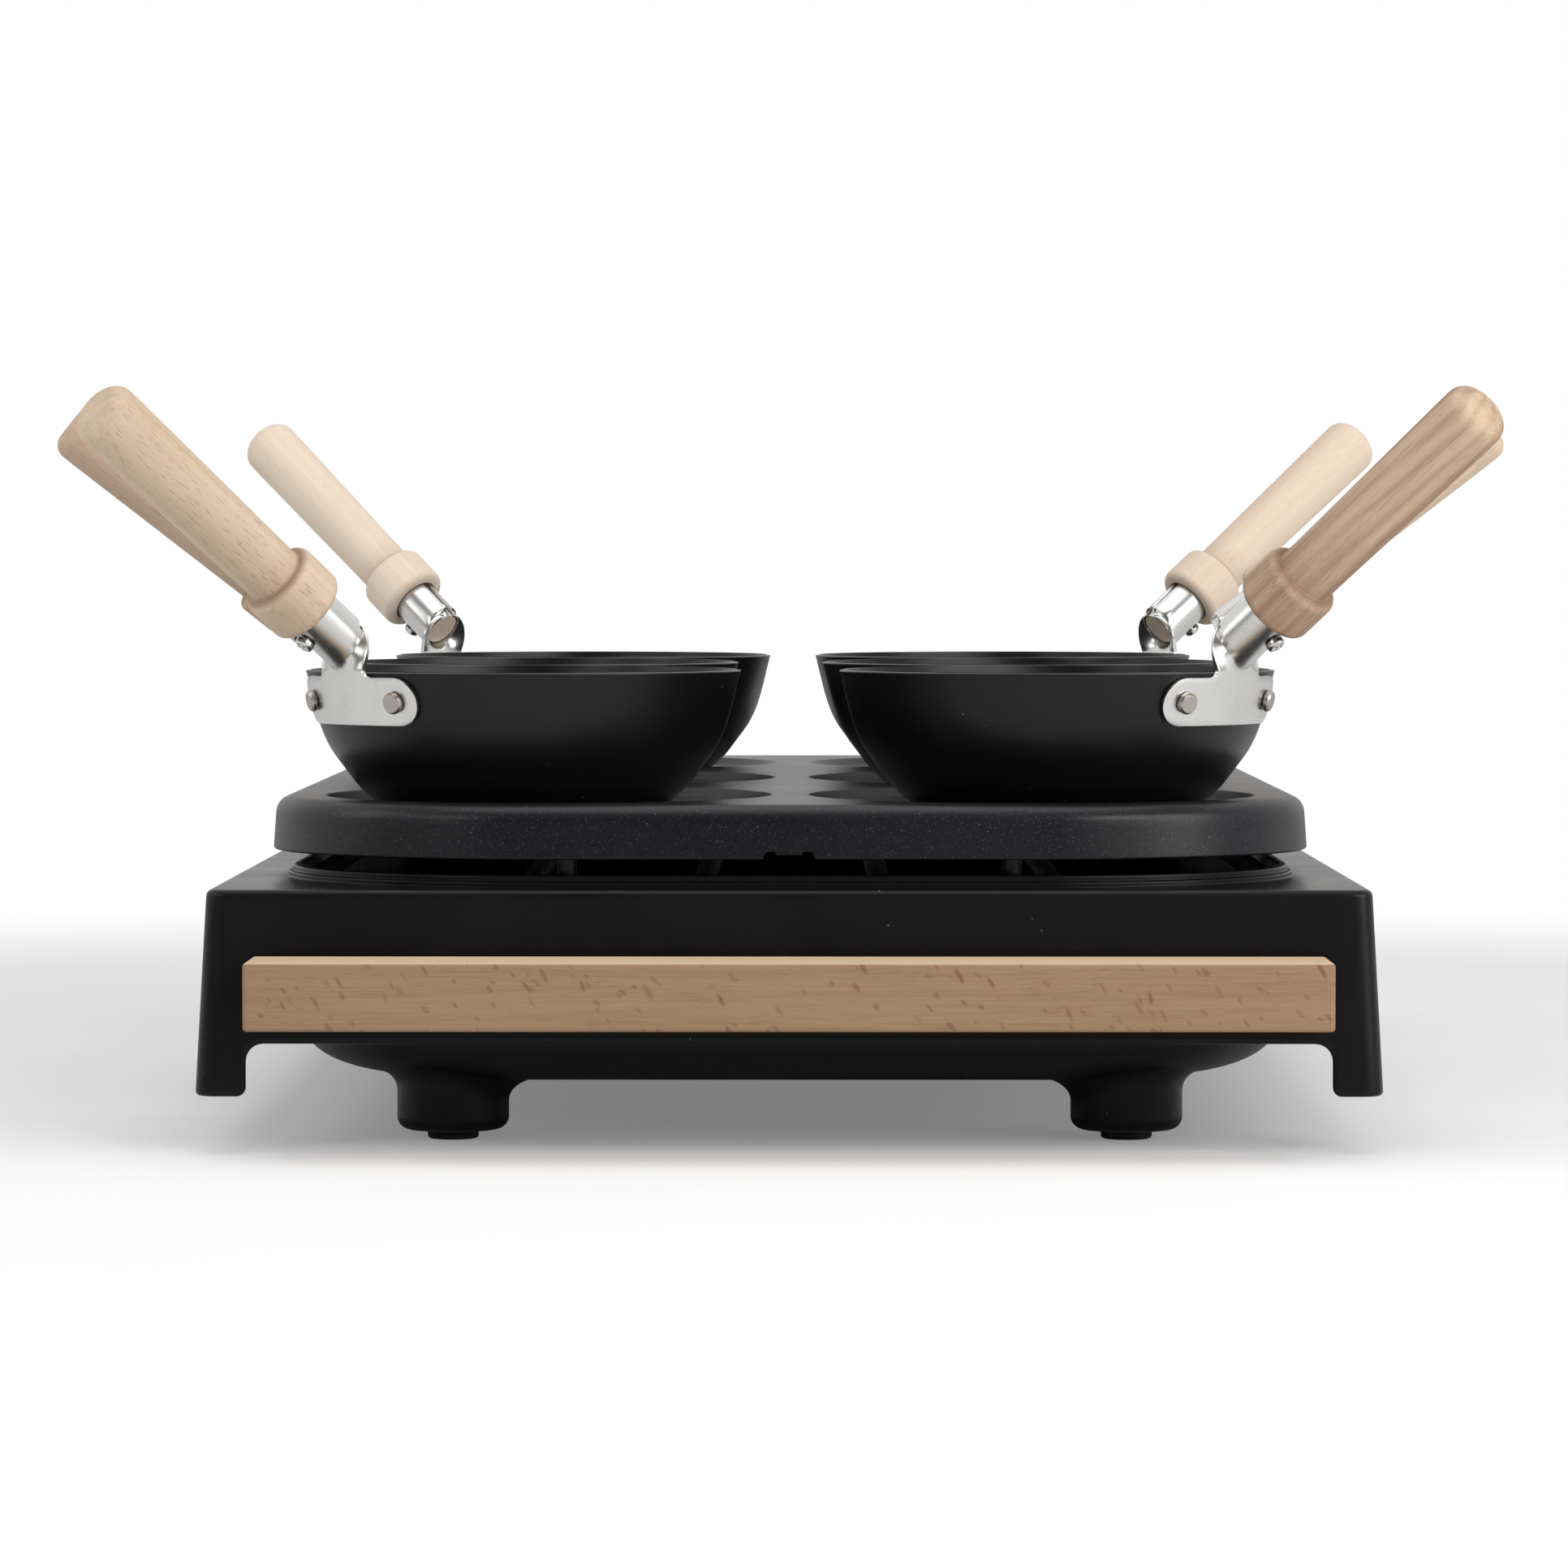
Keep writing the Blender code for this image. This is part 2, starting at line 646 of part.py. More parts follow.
def build_bar(name, end, material):
    """A beech bar whose back follows the drafted end wall, with two blind stud holes."""
    top = BAR_BOTTOM + BAR_HEIGHT
    front = DECK_LENGTH / 2 + BAR_REACH
    section = (
        (housing_half_y(BAR_BOTTOM) + GAP, BAR_BOTTOM),
        (front, BAR_BOTTOM),
        (front, top),
        (housing_half_y(top) + GAP, top),
    )
    rings = [[(x, end * y, z) for y, z in section] for x in (-BAR_HALF, BAR_HALF)]
    bar = add_object(name, loft(name, rings), material)
    bevel(bar, BAR_EDGE, 1)
    middle = BAR_BOTTOM + BAR_HEIGHT / 2
    face = housing_half_y(middle)
    hole = rod_mesh(
        "stud_hole",
        STUD_RADIUS + GAP,
        (-STUD_X, end * (face - OVERRUN), middle),
        (-STUD_X, end * (face + STUD_LENGTH + GAP), middle),
    )
    places = [Matrix.Identity(4), Matrix.Translation((2 * STUD_X, 0.0, 0.0))]
    cut(bar, gathered("stud_holes", hole, places))
    return bar


def tub_rings(wall, top):
    """Rings of the tub's rounded bottom and straight side, drawn in by a wall."""
    across = TUB_ROUND_ACROSS - wall
    up = TUB_ROUND_UP - wall
    rings = []
    for step in range(TUB_STEPS + 1):
        angle = step / TUB_STEPS * math.pi / 2
        inset = wall + across * (1 - math.sin(angle))
        z = TUB_BOTTOM + wall + up * (1 - math.cos(angle))
        rings.append(inset_ring(TUB_HALF_X, TUB_HALF_Y, TUB_CORNER, inset, z))
    rings.append(inset_ring(TUB_HALF_X, TUB_HALF_Y, TUB_CORNER, wall, top))
    return rings


def build_tub(material):
    """Basin under the housing with a screwed flange and four flared foot columns."""
    wide_x = TUB_HALF_X + FLANGE_BREADTH
    wide_y = TUB_HALF_Y + FLANGE_BREADTH
    rings = tub_rings(0.0, FLANGE_BOTTOM)
    rings.append(rounded_ring(wide_x, wide_y, FLANGE_CORNER, FLANGE_BOTTOM))
    rings.append(rounded_ring(wide_x, wide_y, FLANGE_CORNER, FLANGE_TOP))
    tub = add_object("bottom_tub", loft("bottom_tub", rings), material)
    column_top = TUB_BOTTOM + TUB_ROUND_UP
    profile = [(0.0, column_top), (FOOT_RADIUS + FOOT_FLARE, column_top)]
    for step in range(TUB_STEPS + 1):
        angle = step / TUB_STEPS * math.pi / 2
        radius = FOOT_RADIUS + FOOT_FLARE * (1 - math.sin(angle))
        height = TUB_BOTTOM - FOOT_FLARE * (1 - math.cos(angle))
        profile.append((radius, height))
    profile.append((FOOT_RADIUS, PAD_PROUD + FOOT_EDGE_ROUND))
    profile.append((FOOT_RADIUS - FOOT_EDGE_ROUND, PAD_PROUD))
    profile.append((0.0, PAD_PROUD))
    column = turned_mesh("foot_column", profile, ROUND_STEPS)
    join(tub, gathered("foot_columns", column, at_corners(FOOT_X, FOOT_Y)))
    cut(tub, loft("tub_cavity", tub_rings(TUB_WALL, FLANGE_TOP + OVERRUN)))
    recess = rod_mesh(
        "pad_recess",
        PAD_RADIUS + GAP,
        (0.0, 0.0, PAD_PROUD - OVERRUN),
        (0.0, 0.0, PAD_PROUD + PAD_RECESS),
        ROUND_STEPS,
    )
    cut(tub, gathered("pad_recesses", recess, at_corners(FOOT_X, FOOT_Y)))
    hole = rod_mesh(
        "screw_hole",
        SCREW_RADIUS + GAP,
        (0.0, 0.0, FLANGE_BOTTOM - OVERRUN),
        (0.0, 0.0, FLANGE_TOP + OVERRUN),
    )
    cut(tub, gathered("screw_holes", hole, at_corners(BOSS_X, BOSS_Y)))
    return tub


def build_pads(material):
    """Rubber pads set into the foot columns."""
    top = PAD_PROUD + PAD_RECESS - GAP
    profile = (
        (0.0, top),
        (PAD_RADIUS, top),
        (PAD_RADIUS, PAD_EDGE),
        (PAD_RADIUS - PAD_EDGE, 0.0),
        (0.0, 0.0),
    )
    mesh = turned_mesh("foot_pad", profile, ROUND_STEPS)
    for row, side_y in (("front", -1), ("rear", 1)):
        for side, side_x in WOK_SIDES:
            pad = add_object(f"foot_pad_{row}_{side}", mesh, material)
            pad.location = (side_x * FOOT_X, side_y * FOOT_Y, 0.0)


def build_tub_screws(material):
    """Four pan head screws, from under the flange up into the bosses."""
    seat = FLANGE_BOTTOM - GAP
    shoulder = SCREW_HEAD_RADIUS * SCREW_CROWN_SHARE
    profile = (
        (0.0, DECK_UNDERSIDE - SCREW_END_GAP),
        (SCREW_RADIUS, DECK_UNDERSIDE - SCREW_END_GAP - SCREW_RADIUS),
        (SCREW_RADIUS, seat),
        (SCREW_HEAD_RADIUS, seat),
        (SCREW_HEAD_RADIUS, seat - SCREW_HEAD_HEIGHT / 2),
        (shoulder, seat - SCREW_HEAD_HEIGHT),
        (0.0, seat - SCREW_HEAD_HEIGHT),
    )
    mesh = turned_mesh("tub_screw", profile, SMALL_STEPS)
    for row, side_y in (("front", -1), ("rear", 1)):
        for side, side_x in WOK_SIDES:
            screw = add_object(f"tub_screw_{row}_{side}", mesh, material)
            screw.location = (side_x * BOSS_X, side_y * BOSS_Y, 0.0)


def element_lines():
    """Where the straight runs of the element lie across the tray."""
    return [(run - (ELEMENT_RUNS - 1) / 2) * ELEMENT_PITCH for run in range(ELEMENT_RUNS)]


def build_tray(material):
    """Pressed reflector that hangs on the ledge by its flange."""
    plan = (BEAD_HALF_X, BEAD_HALF_Y, BEAD_CORNER)
    outer = TRAY_WALL_INSET
    inner = TRAY_WALL_INSET + TRAY_SHEET
    rings = [
        inset_ring(*plan, outer + TRAY_ROUND, TRAY_FLOOR_BOTTOM),
        inset_ring(*plan, outer, TRAY_FLOOR_BOTTOM + TRAY_ROUND),
        inset_ring(*plan, outer, TRAY_FLANGE_BOTTOM),
        inset_ring(*plan, TRAY_EDGE_INSET, TRAY_FLANGE_BOTTOM),
        inset_ring(*plan, TRAY_EDGE_INSET, TRAY_FLANGE_TOP),
        inset_ring(*plan, inner, TRAY_FLANGE_TOP),
        inset_ring(*plan, inner, TRAY_FLOOR_TOP + TRAY_ROUND),
        inset_ring(*plan, inner + TRAY_ROUND, TRAY_FLOOR_TOP),
    ]
    tray = add_object("reflector_tray", loft("reflector_tray", rings), material)
    for x in (element_lines()[0], element_lines()[-1]):
        y = ELEMENT_STRAIGHT + ELEMENT_BEND
        start = (x, y, TRAY_FLOOR_BOTTOM - OVERRUN)
        end = (x, y, TRAY_FLOOR_TOP + OVERRUN)
        cut(tray, rod_mesh("tail_hole", ELEMENT_RADIUS + GAP, start, end))
    return tray


def element_path():
    """Centre line of the element: straight runs, U bends, and two turned-down tails."""
    lines = element_lines()
    bend = ELEMENT_PITCH / 2
    points = []
    tail_y = ELEMENT_STRAIGHT + ELEMENT_BEND
    tail_z = TRAY_FLOOR_BOTTOM - ELEMENT_TAIL
    head = [(lines[0], tail_y, tail_z)]
    for step in range(ELEMENT_TAIL_STEPS + 1):
        angle = step / ELEMENT_TAIL_STEPS * math.pi / 2
        y = ELEMENT_STRAIGHT + ELEMENT_BEND * math.cos(angle)
        z = ELEMENT_Z - ELEMENT_BEND * (1 - math.sin(angle))
        head.append((lines[0], y, z))
    points.extend(head)
    for run in range(ELEMENT_RUNS - 1):
        side = -1 if run % 2 == 0 else 1
        centre = lines[run] + bend
        for step in range(ELEMENT_TURN_STEPS + 1):
            angle = math.pi * step / ELEMENT_TURN_STEPS
            x = centre - bend * math.cos(angle)
            y = side * (ELEMENT_STRAIGHT + bend * math.sin(angle))
            points.append((x, y, ELEMENT_Z))
    points.extend((-x, y, z) for x, y, z in reversed(head))
    return points


def build_element(material):
    """The tubular heating element as one swept curve with closed ends."""
    curve = bpy.data.curves.new("heating_element", "CURVE")
    curve.dimensions = "3D"
    curve.bevel_depth = ELEMENT_RADIUS
    curve.bevel_resolution = 2
    curve.use_fill_caps = True
    points = element_path()
    spline = curve.splines.new("POLY")
    spline.points.add(len(points) - 1)
    for spot, place in zip(spline.points, points):
        spot.co = (*place, 1.0)
    return add_object("heating_element", curve, material)


def build_supports(material):
    """Two notched strips that carry the element over the tray floor."""
    seat = TRAY_FLOOR_TOP + GAP
    width = element_lines()[-1] * 2 + SUPPORT_MARGIN
    web_height = ELEMENT_Z - seat
    for name, side in (("element_support_front", -1), ("element_support_rear", 1)):
        y = side * SUPPORT_SPACING / 2
        web = box_mesh(name, (width, SUPPORT_SHEET, web_height), (0.0, y, seat + web_height / 2))
        support = add_object(name, web, material)
        foot_y = y + SUPPORT_FOOT / 2 - SUPPORT_SHEET / 2
        foot_z = seat + SUPPORT_SHEET / 2
        foot_size = (width, SUPPORT_FOOT, SUPPORT_SHEET)
        join(support, box_mesh("foot", foot_size, (0.0, foot_y, foot_z)))
        for x in element_lines():
            start = (x, y - SUPPORT_FOOT, ELEMENT_Z)
            end = (x, y + SUPPORT_FOOT, ELEMENT_Z)
            cut(support, rod_mesh("notch", ELEMENT_RADIUS + GAP, start, end))


def build_terminal_block(material):
    """Ceramic block on the tub floor with a row of blind terminal holes."""
    seat = TUB_FLOOR + GAP
    y = ELEMENT_STRAIGHT + ELEMENT_BEND
    size = (BLOCK_LENGTH, BLOCK_WIDTH, BLOCK_HEIGHT)
    centre = (0.0, y, seat + BLOCK_HEIGHT / 2)
    block = add_object("terminal_block", box_mesh("terminal_block", size, centre), material)
    bevel(block, BLOCK_EDGE, 1)
    top = seat + BLOCK_HEIGHT
    hole = rod_mesh(
        "terminal_hole",
        BLOCK_HOLE_RADIUS,
        (0.0, y, top - BLOCK_HOLE_DEPTH),
        (0.0, y, top + OVERRUN),
    )
    places = [Matrix.Translation((step * BLOCK_HOLE_PITCH, 0.0, 0.0)) for step in (-1, 0, 1)]
    cut(block, gathered("terminal_holes", hole, places))


def build_thermal_cutout(material):
    """Button-shaped cut-out against the underside of the tray."""
    top = TRAY_FLOOR_BOTTOM - GAP
    profile = (
        (0.0, top),
        (CUTOUT_FLANGE_RADIUS, top),
        (CUTOUT_FLANGE_RADIUS, top - CUTOUT_FLANGE),
        (CUTOUT_RADIUS, top - CUTOUT_FLANGE),
        (CUTOUT_RADIUS, top - CUTOUT_HEIGHT),
        (0.0, top - CUTOUT_HEIGHT),
    )
    turned("thermal_cutout", profile, ROUND_STEPS, material)


def fitting_rings(width, tall, rim, body_rim, depth, back):
    """Rings of a flanged box with a recess, from its back outside to its recess floor."""
    inner_floor = -depth + back
    face = GAP + FITTING_FLANGE
    half_x = width / 2
    half_y = tall / 2
    corner = FITTING_CORNER
    return [
        rounded_ring(half_x - body_rim, half_y - body_rim, corner, -depth),
        rounded_ring(half_x - body_rim, half_y - body_rim, corner, GAP),
        rounded_ring(half_x, half_y, corner, GAP),
        rounded_ring(half_x, half_y, corner, face),
        rounded_ring(half_x - rim, half_y - rim, SLOT_CORNER, face),
        rounded_ring(half_x - rim, half_y - rim, SLOT_CORNER, inner_floor),
    ]


def build_inlet(material):
    """Power inlet with three blades in its recess."""
    rings = fitting_rings(
        INLET_WIDTH, INLET_TALL, INLET_RIM, INLET_BODY_RIM, INLET_DEPTH, INLET_BACK
    )
    inlet = add_object("power_inlet", loft("power_inlet", rings), material)
    inlet.matrix_world = side_frame(INLET_Y, FITTING_HEIGHT)
    floor = INLET_BACK - INLET_DEPTH
    half_lift = PIN_EARTH_LIFT / 2
    places = ((-PIN_SPREAD, -half_lift), (0.0, half_lift), (PIN_SPREAD, -half_lift))
    for x, y in places:
        size = (PIN_THICK, PIN_WIDTH, PIN_LENGTH + SINK)
        centre = (x, y, floor - SINK + size[2] / 2)
        blade = join(inlet, box_mesh("blade", size, centre))
        blade.matrix_world = inlet.matrix_world


def build_switch(body_material, rocker_material):
    """Switch body in the wall and the rocker that tips in it on two trunnions."""
    rings = fitting_rings(
        SWITCH_WIDTH, SWITCH_TALL, SWITCH_RIM, SWITCH_BODY_RIM, SWITCH_DEPTH, SWITCH_BACK
    )
    body = add_object("switch_body", loft("switch_body", rings), body_material)
    place = side_frame(SWITCH_Y, FITTING_HEIGHT)
    body.matrix_world = place
    slot_half_x = SWITCH_WIDTH / 2 - SWITCH_RIM
    slot_half_y = SWITCH_TALL / 2 - SWITCH_RIM
    pivot_z = GAP + FITTING_FLANGE - ROCKER_PIVOT_DEPTH
    hole_end = slot_half_x + TRUNNION_LENGTH
    start = (-hole_end, 0.0, pivot_z)
    pivot_hole = rod_mesh("pivot_hole", TRUNNION_RADIUS + GAP, start, (hole_end, 0.0, pivot_z))
    cut(body, pivot_hole).matrix_world = place
    reach = slot_half_y - GAP
    outline = rocker_outline(reach)
    half = slot_half_x - GAP
    rings = [[(x, y, z) for y, z in outline] for x in (-half, half)]
    rocker = add_object("switch_rocker", loft("switch_rocker", rings), rocker_material)
    pivot = Matrix.Translation((0.0, 0.0, pivot_z))
    tilt = Matrix.Rotation(ROCKER_TILT, 4, "X")
    rocker.matrix_world = place @ pivot @ tilt
    tip = hole_end - GAP
    trunnions = rod_mesh("trunnions", TRUNNION_RADIUS, (-tip, 0.0, 0.0), (tip, 0.0, 0.0))
    join(rocker, trunnions).matrix_world = rocker.matrix_world


def rocker_outline(reach):
    """Side outline round the pivot: an arc behind and a shallow V in front."""
    start = math.asin(ROCKER_CROWN / reach)
    points = [(0.0, ROCKER_CROWN - ROCKER_DIP)]
    sweep = math.pi + 2 * start
    for step in range(ROCKER_STEPS + 1):
        angle = start - sweep * step / ROCKER_STEPS
        points.append((reach * math.cos(angle), reach * math.sin(angle)))
    floor = -(SWITCH_DEPTH - SWITCH_BACK) / 2
    return [(y, max(z, floor)) for y, z in points]


def build_lens(material):
    """Pilot light lens pressed into the right wall."""
    profile = (
        (0.0, GAP + LENS_RIM + LENS_DOME),
        (LENS_RADIUS * LENS_DOME_SHARE, GAP + LENS_RIM + LENS_DOME * LENS_DOME_SHARE),
        (LENS_RADIUS, GAP + LENS_RIM),
        (LENS_RADIUS + LENS_RIM, GAP + LENS_RIM),
        (LENS_RADIUS + LENS_RIM, GAP),
        (LENS_RADIUS, GAP),
        (LENS_RADIUS, -LENS_DEPTH),
        (0.0, -LENS_DEPTH),
    )
    lens = turned("indicator_lens", profile, ROUND_STEPS, material)
    lens.matrix_world = side_frame(LENS_Y, FITTING_HEIGHT)


def mould_places():
    """Matrices for the six mould centres, three rows of two."""
    places = []
    for row in (-1, 0, 1):
        for side in (-1, 1):
            places.append(Matrix.Translation((side * MOULD_X, row * MOULD_Y, 0.0)))
    return places


def notch_mesh(side):
    """The small stepped notch in the lower edge of one end of the plate's skirt."""
    bottom = PLATE_BOTTOM - OVERRUN
    top = PLATE_BOTTOM + NOTCH_HEIGHT
    lump = top - NOTCH_LUMP_HEIGHT
    half = NOTCH_WIDTH / 2
    half_top = NOTCH_TOP_WIDTH / 2
    half_lump = NOTCH_LUMP_WIDTH / 2
    outline = (
        (-half, bottom),
        (half, bottom),
        (half, PLATE_BOTTOM),
        (half_top, top),
        (half_lump, top),
        (half_lump, lump),
        (-half_lump, lump),
        (-half_lump, top),
        (-half_top, top),
        (-half, PLATE_BOTTOM),
    )
    inner = PLATE_HALF_Y - PLATE_RIM_WALL - OVERRUN
    outer = PLATE_HALF_Y + OVERRUN
    rings = [[(x, side * y, z) for x, z in outline] for y in (inner, outer)]
    return loft("notch", rings)


def build_griddle(parent, material):
    """Cast plate with six moulds, a drafted skirt, standing lugs and two end notches."""
    plan = (PLATE_HALF_X, PLATE_HALF_Y, PLATE_CORNER)
    edge_z = PLATE_TOP - PLATE_EDGE_ROUND
    lean = (edge_z - PLATE_BOTTOM) * math.tan(PLATE_DRAFT)
    rings = [
        inset_ring(*plan, PLATE_RIM_WALL, PLATE_UNDERSIDE),
        inset_ring(*plan, PLATE_RIM_WALL, PLATE_BOTTOM),
        inset_ring(*plan, 0.0, PLATE_BOTTOM),
    ]
    for step in range(PLATE_EDGE_STEPS + 1):
        angle = step / PLATE_EDGE_STEPS * math.pi / 2
        inset = lean + PLATE_EDGE_ROUND * (1 - math.cos(angle))
        rings.append(inset_ring(*plan, inset, edge_z + PLATE_EDGE_ROUND * math.sin(angle)))
    plate = add_object("griddle_plate", loft("griddle_plate", rings), material, parent)
    across_share, up_share = MOULD_CURVE_SHARES
    profile = (
        (0.0, PLATE_TOP + OVERRUN),
        (MOULD_RADIUS + MOULD_LIP, PLATE_TOP + OVERRUN),
        (MOULD_RADIUS + MOULD_LIP, PLATE_TOP),
        (MOULD_RADIUS - MOULD_LIP, PLATE_TOP - MOULD_LIP),
        (MOULD_RADIUS - MOULD_WALL * across_share, MOULD_FLOOR + MOULD_DEPTH * up_share),
        (MOULD_FLOOR_RADIUS, MOULD_FLOOR),
        (0.0, MOULD_FLOOR),
    )
    mould = turned_mesh("mould", profile, MOULD_STEPS)
    for place in mould_places():
        tool = mould.copy()
        tool.transform(place)
        cut(plate, tool)
    lug_ends = (0.0, 0.0, LUG_BOTTOM), (0.0, 0.0, PLATE_UNDERSIDE + SINK)
    lug = rod_mesh("lug", LUG_END_RADIUS, *lug_ends, end_radius=LUG_RADIUS)
    places = at_corners(LUG_SPREAD, PLATE_HALF_Y - LUG_INSET)
    places += at_corners(PLATE_HALF_X - LUG_INSET, LUG_SPREAD)
    join(plate, gathered("lugs", lug, places))
    for side in (-1, 1):
        cut(plate, notch_mesh(side))
    return plate


def pan_outline():
    """Outer pan profile from foot to rim, as (radius, height) points."""
    rise = PAN_RADIUS - PAN_FOOT_RADIUS
    points = [(PAN_FOOT_RADIUS, 0.0)]
    for radius_share, height_share in PAN_WALL_SHARES:
        points.append((PAN_FOOT_RADIUS + rise * radius_share, PAN_HEIGHT * height_share))
    points.append((PAN_RADIUS, PAN_HEIGHT))
    return points


def pan_radius_at(z):
    """Outer pan radius at a height, and the wall's straight run above the rim."""
    points = pan_outline()
    for (r0, z0), (r1, z1) in zip(points, points[1:]):
        if z <= z1:
            return r0 + (r1 - r0) * (z - z0) / (z1 - z0)
    (r0, z0), (r1, z1) = points[-2:]
    return r1 + (r1 - r0) * (z - z1) / (z1 - z0)


def pan_wall_angle():
    """Lean of the upper wall from the vertical."""
    (r0, z0), (r1, z1) = pan_outline()[-2:]
    return math.atan2(r1 - r0, z1 - z0)


def rivet_places():
    """Frames of the two rivets: local Z along the outward normal of the pan wall."""
    lean = pan_wall_angle()
    radius = pan_radius_at(BRACKET_MIDDLE)
    frames = []
    for side in (-1, 1):
        turn = Matrix.Rotation(side * RIVET_OFFSET / radius, 4, "Z")
        spot = Matrix.Translation((radius, 0.0, BRACKET_MIDDLE))
        tip = Matrix.Rotation(math.pi / 2 + lean, 4, "Y")
        frames.append(turn @ spot @ tip)
    return frames


def pan_mesh():
    """One mini wok pan with its two rivet holes."""
    outer = pan_outline()
    inner = []
    for before, here, after in zip(outer, outer[1:], outer[2:]):
        slope = math.atan2(after[1] - before[1], after[0] - before[0])
        inner.append((here[0] - PAN_WALL * math.sin(slope), here[1] + PAN_WALL * math.cos(slope)))
    first_rise = math.atan2(outer[1][1], outer[1][0] - outer[0][0])
    inner.insert(0, (PAN_FOOT_RADIUS - PAN_WALL * math.tan(first_rise / 2), PAN_WALL))
    rim_in = (PAN_RADIUS - PAN_WALL / math.cos(pan_wall_angle()), PAN_HEIGHT)
    profile = [(0.0, PAN_WALL), *inner, rim_in]
    profile.extend(reversed(outer))
    profile.append((0.0, 0.0))
    pan = turned("pan", profile, PAN_STEPS, collection=CUTTERS)
    reach = PAN_WALL + BRACKET_SHEET + OVERRUN
    hole = rod_mesh("rivet_hole", RIVET_RADIUS + GAP, (0.0, 0.0, -reach), (0.0, 0.0, reach))
    cut(pan, gathered("rivet_holes", hole, rivet_places()))
    return baked_copy(pan)


def rivet_mesh():
    """A rivet with a domed head outside the bracket and a flat head inside the pan."""
    seat = GAP + BRACKET_SHEET + GAP
    inside = -PAN_WALL - GAP - PAN_FACET_SAG
    profile = (
        (0.0, seat + RIVET_HEAD_HEIGHT),
        (RIVET_HEAD_RADIUS * RIVET_CROWN_SHARE, seat + RIVET_HEAD_HEIGHT),
        (RIVET_HEAD_RADIUS, seat),
        (RIVET_RADIUS, seat),
        (RIVET_RADIUS, inside),
        (RIVET_INNER_HEAD_RADIUS, inside),
        (RIVET_INNER_HEAD_RADIUS, inside - RIVET_INNER_HEAD_HEIGHT),
        (0.0, inside - RIVET_INNER_HEAD_HEIGHT),
    )
    return turned_mesh("wok_rivet", profile, SMALL_STEPS)


def handle_axis():
    """Where the bracket's neck ends its bend, and the frame of the ferrule's axis there.

    The frame's Z runs out along the handle, its X points down and outwards.
    """
    lean = math.pi / 2 - pan_wall_angle()
    start_z = BRACKET_TOP + BRACKET_NECK_RISE
    start_x = pan_radius_at(start_z) + GAP
    bend = BRACKET_NECK_BEND
    end_x = start_x + bend * (math.sin(lean) - math.sin(HANDLE_TILT))
    end_z = start_z + bend * (math.cos(HANDLE_TILT) - math.cos(lean))
    inner_radius = FERRULE_RADIUS - BRACKET_SHEET
    axis_x = end_x - inner_radius * math.sin(HANDLE_TILT)
    axis_z = end_z + inner_radius * math.cos(HANDLE_TILT)
    turn = Matrix.Rotation(math.pi / 2 - HANDLE_TILT, 4, "Y")
    return Matrix.Translation((axis_x, 0.0, axis_z)) @ turn


def bracket_columns():
    """Arc lengths of the plate's columns: two rounded ends and an even middle."""
    half_neck = BRACKET_NECK / 2
    round_end = BRACKET_HALF_SPAN - BRACKET_HEIGHT / 2
    outer = []
    for step in range(1, BRACKET_END_STEPS + 1):
        angle = step / BRACKET_END_STEPS * math.pi / 2
        outer.append(round_end + BRACKET_HEIGHT / 2 * math.sin(angle))
    foot = half_neck + BRACKET_NECK_FLARE
    between = (round_end + foot) / 2
    side = [*reversed(outer), round_end, between, foot, foot - BRACKET_NECK_FLARE / 2]
    middle = [half_neck * (1 - 2 * i / (FERRULE_POINTS - 1)) for i in range(FERRULE_POINTS)]
    return side + middle + [-s for s in reversed(side)]


def bracket_edges(s):
    """Lower and upper height of the bracket plate at an arc length."""
    half = BRACKET_HEIGHT / 2
    beyond = max(abs(s) - (BRACKET_HALF_SPAN - half), 0.0)
    spread = math.sqrt(max(half * half - beyond * beyond, 0.0))
    top = BRACKET_MIDDLE + spread
    share = (BRACKET_NECK / 2 + BRACKET_NECK_FLARE - abs(s)) / BRACKET_NECK_FLARE
    if share > 0.0:
        top = BRACKET_TOP + BRACKET_NECK_RISE * (1 - math.sqrt(1 - min(share, 1.0) ** 2))
    return BRACKET_MIDDLE - spread, top


def neck_rows():
    """Rows of points from the neck's bend on, closing from a strip into a rolled tube."""
    rows = []
    wall = math.pi / 2 - pan_wall_angle()
    start_z = BRACKET_TOP + BRACKET_NECK_RISE
    start_x = pan_radius_at(start_z) + GAP
    half_neck = BRACKET_NECK / 2
    inner_radius = FERRULE_RADIUS - BRACKET_SHEET
    neck_wrap = half_neck / inner_radius
    start_wrap = half_neck / start_x
    stations = []
    for step in range(1, NECK_STEPS + 1):
        share = step / NECK_STEPS
        heading = wall + (HANDLE_TILT - wall) * share
        x = start_x + BRACKET_NECK_BEND * (math.sin(wall) - math.sin(heading))
        z = start_z + BRACKET_NECK_BEND * (math.cos(heading) - math.cos(wall))
        wrap = start_wrap + (neck_wrap - start_wrap) * share
        stations.append((x, z, heading, wrap))
    x, z, heading, wrap = stations[-1]
    for step in range(1, NECK_STEPS + 1):
        share = step / NECK_STEPS
        along = FERRULE_MOUTH_SLANT * share
        wider = wrap + (FERRULE_HALF_WRAP - wrap) * share
        spot = (x + along * math.cos(heading), z + along * math.sin(heading))
        stations.append((*spot, heading, wider))
    far = (x + FERRULE_LENGTH * math.cos(heading), z + FERRULE_LENGTH * math.sin(heading))
    stations.append((*far, heading, FERRULE_HALF_WRAP))
    for x, z, heading, wrap in stations:
        radius = inner_radius if wrap >= neck_wrap else half_neck / wrap
        row = []
        for i in range(FERRULE_POINTS):
            angle = wrap * (1 - 2 * i / (FERRULE_POINTS - 1))
            rise = radius * (1 - math.cos(angle))
            row.append(
                (
                    x - rise * math.sin(heading),
                    radius * math.sin(angle),
                    z + rise * math.cos(heading),
                )
            )
        rows.append(row)
    return rows


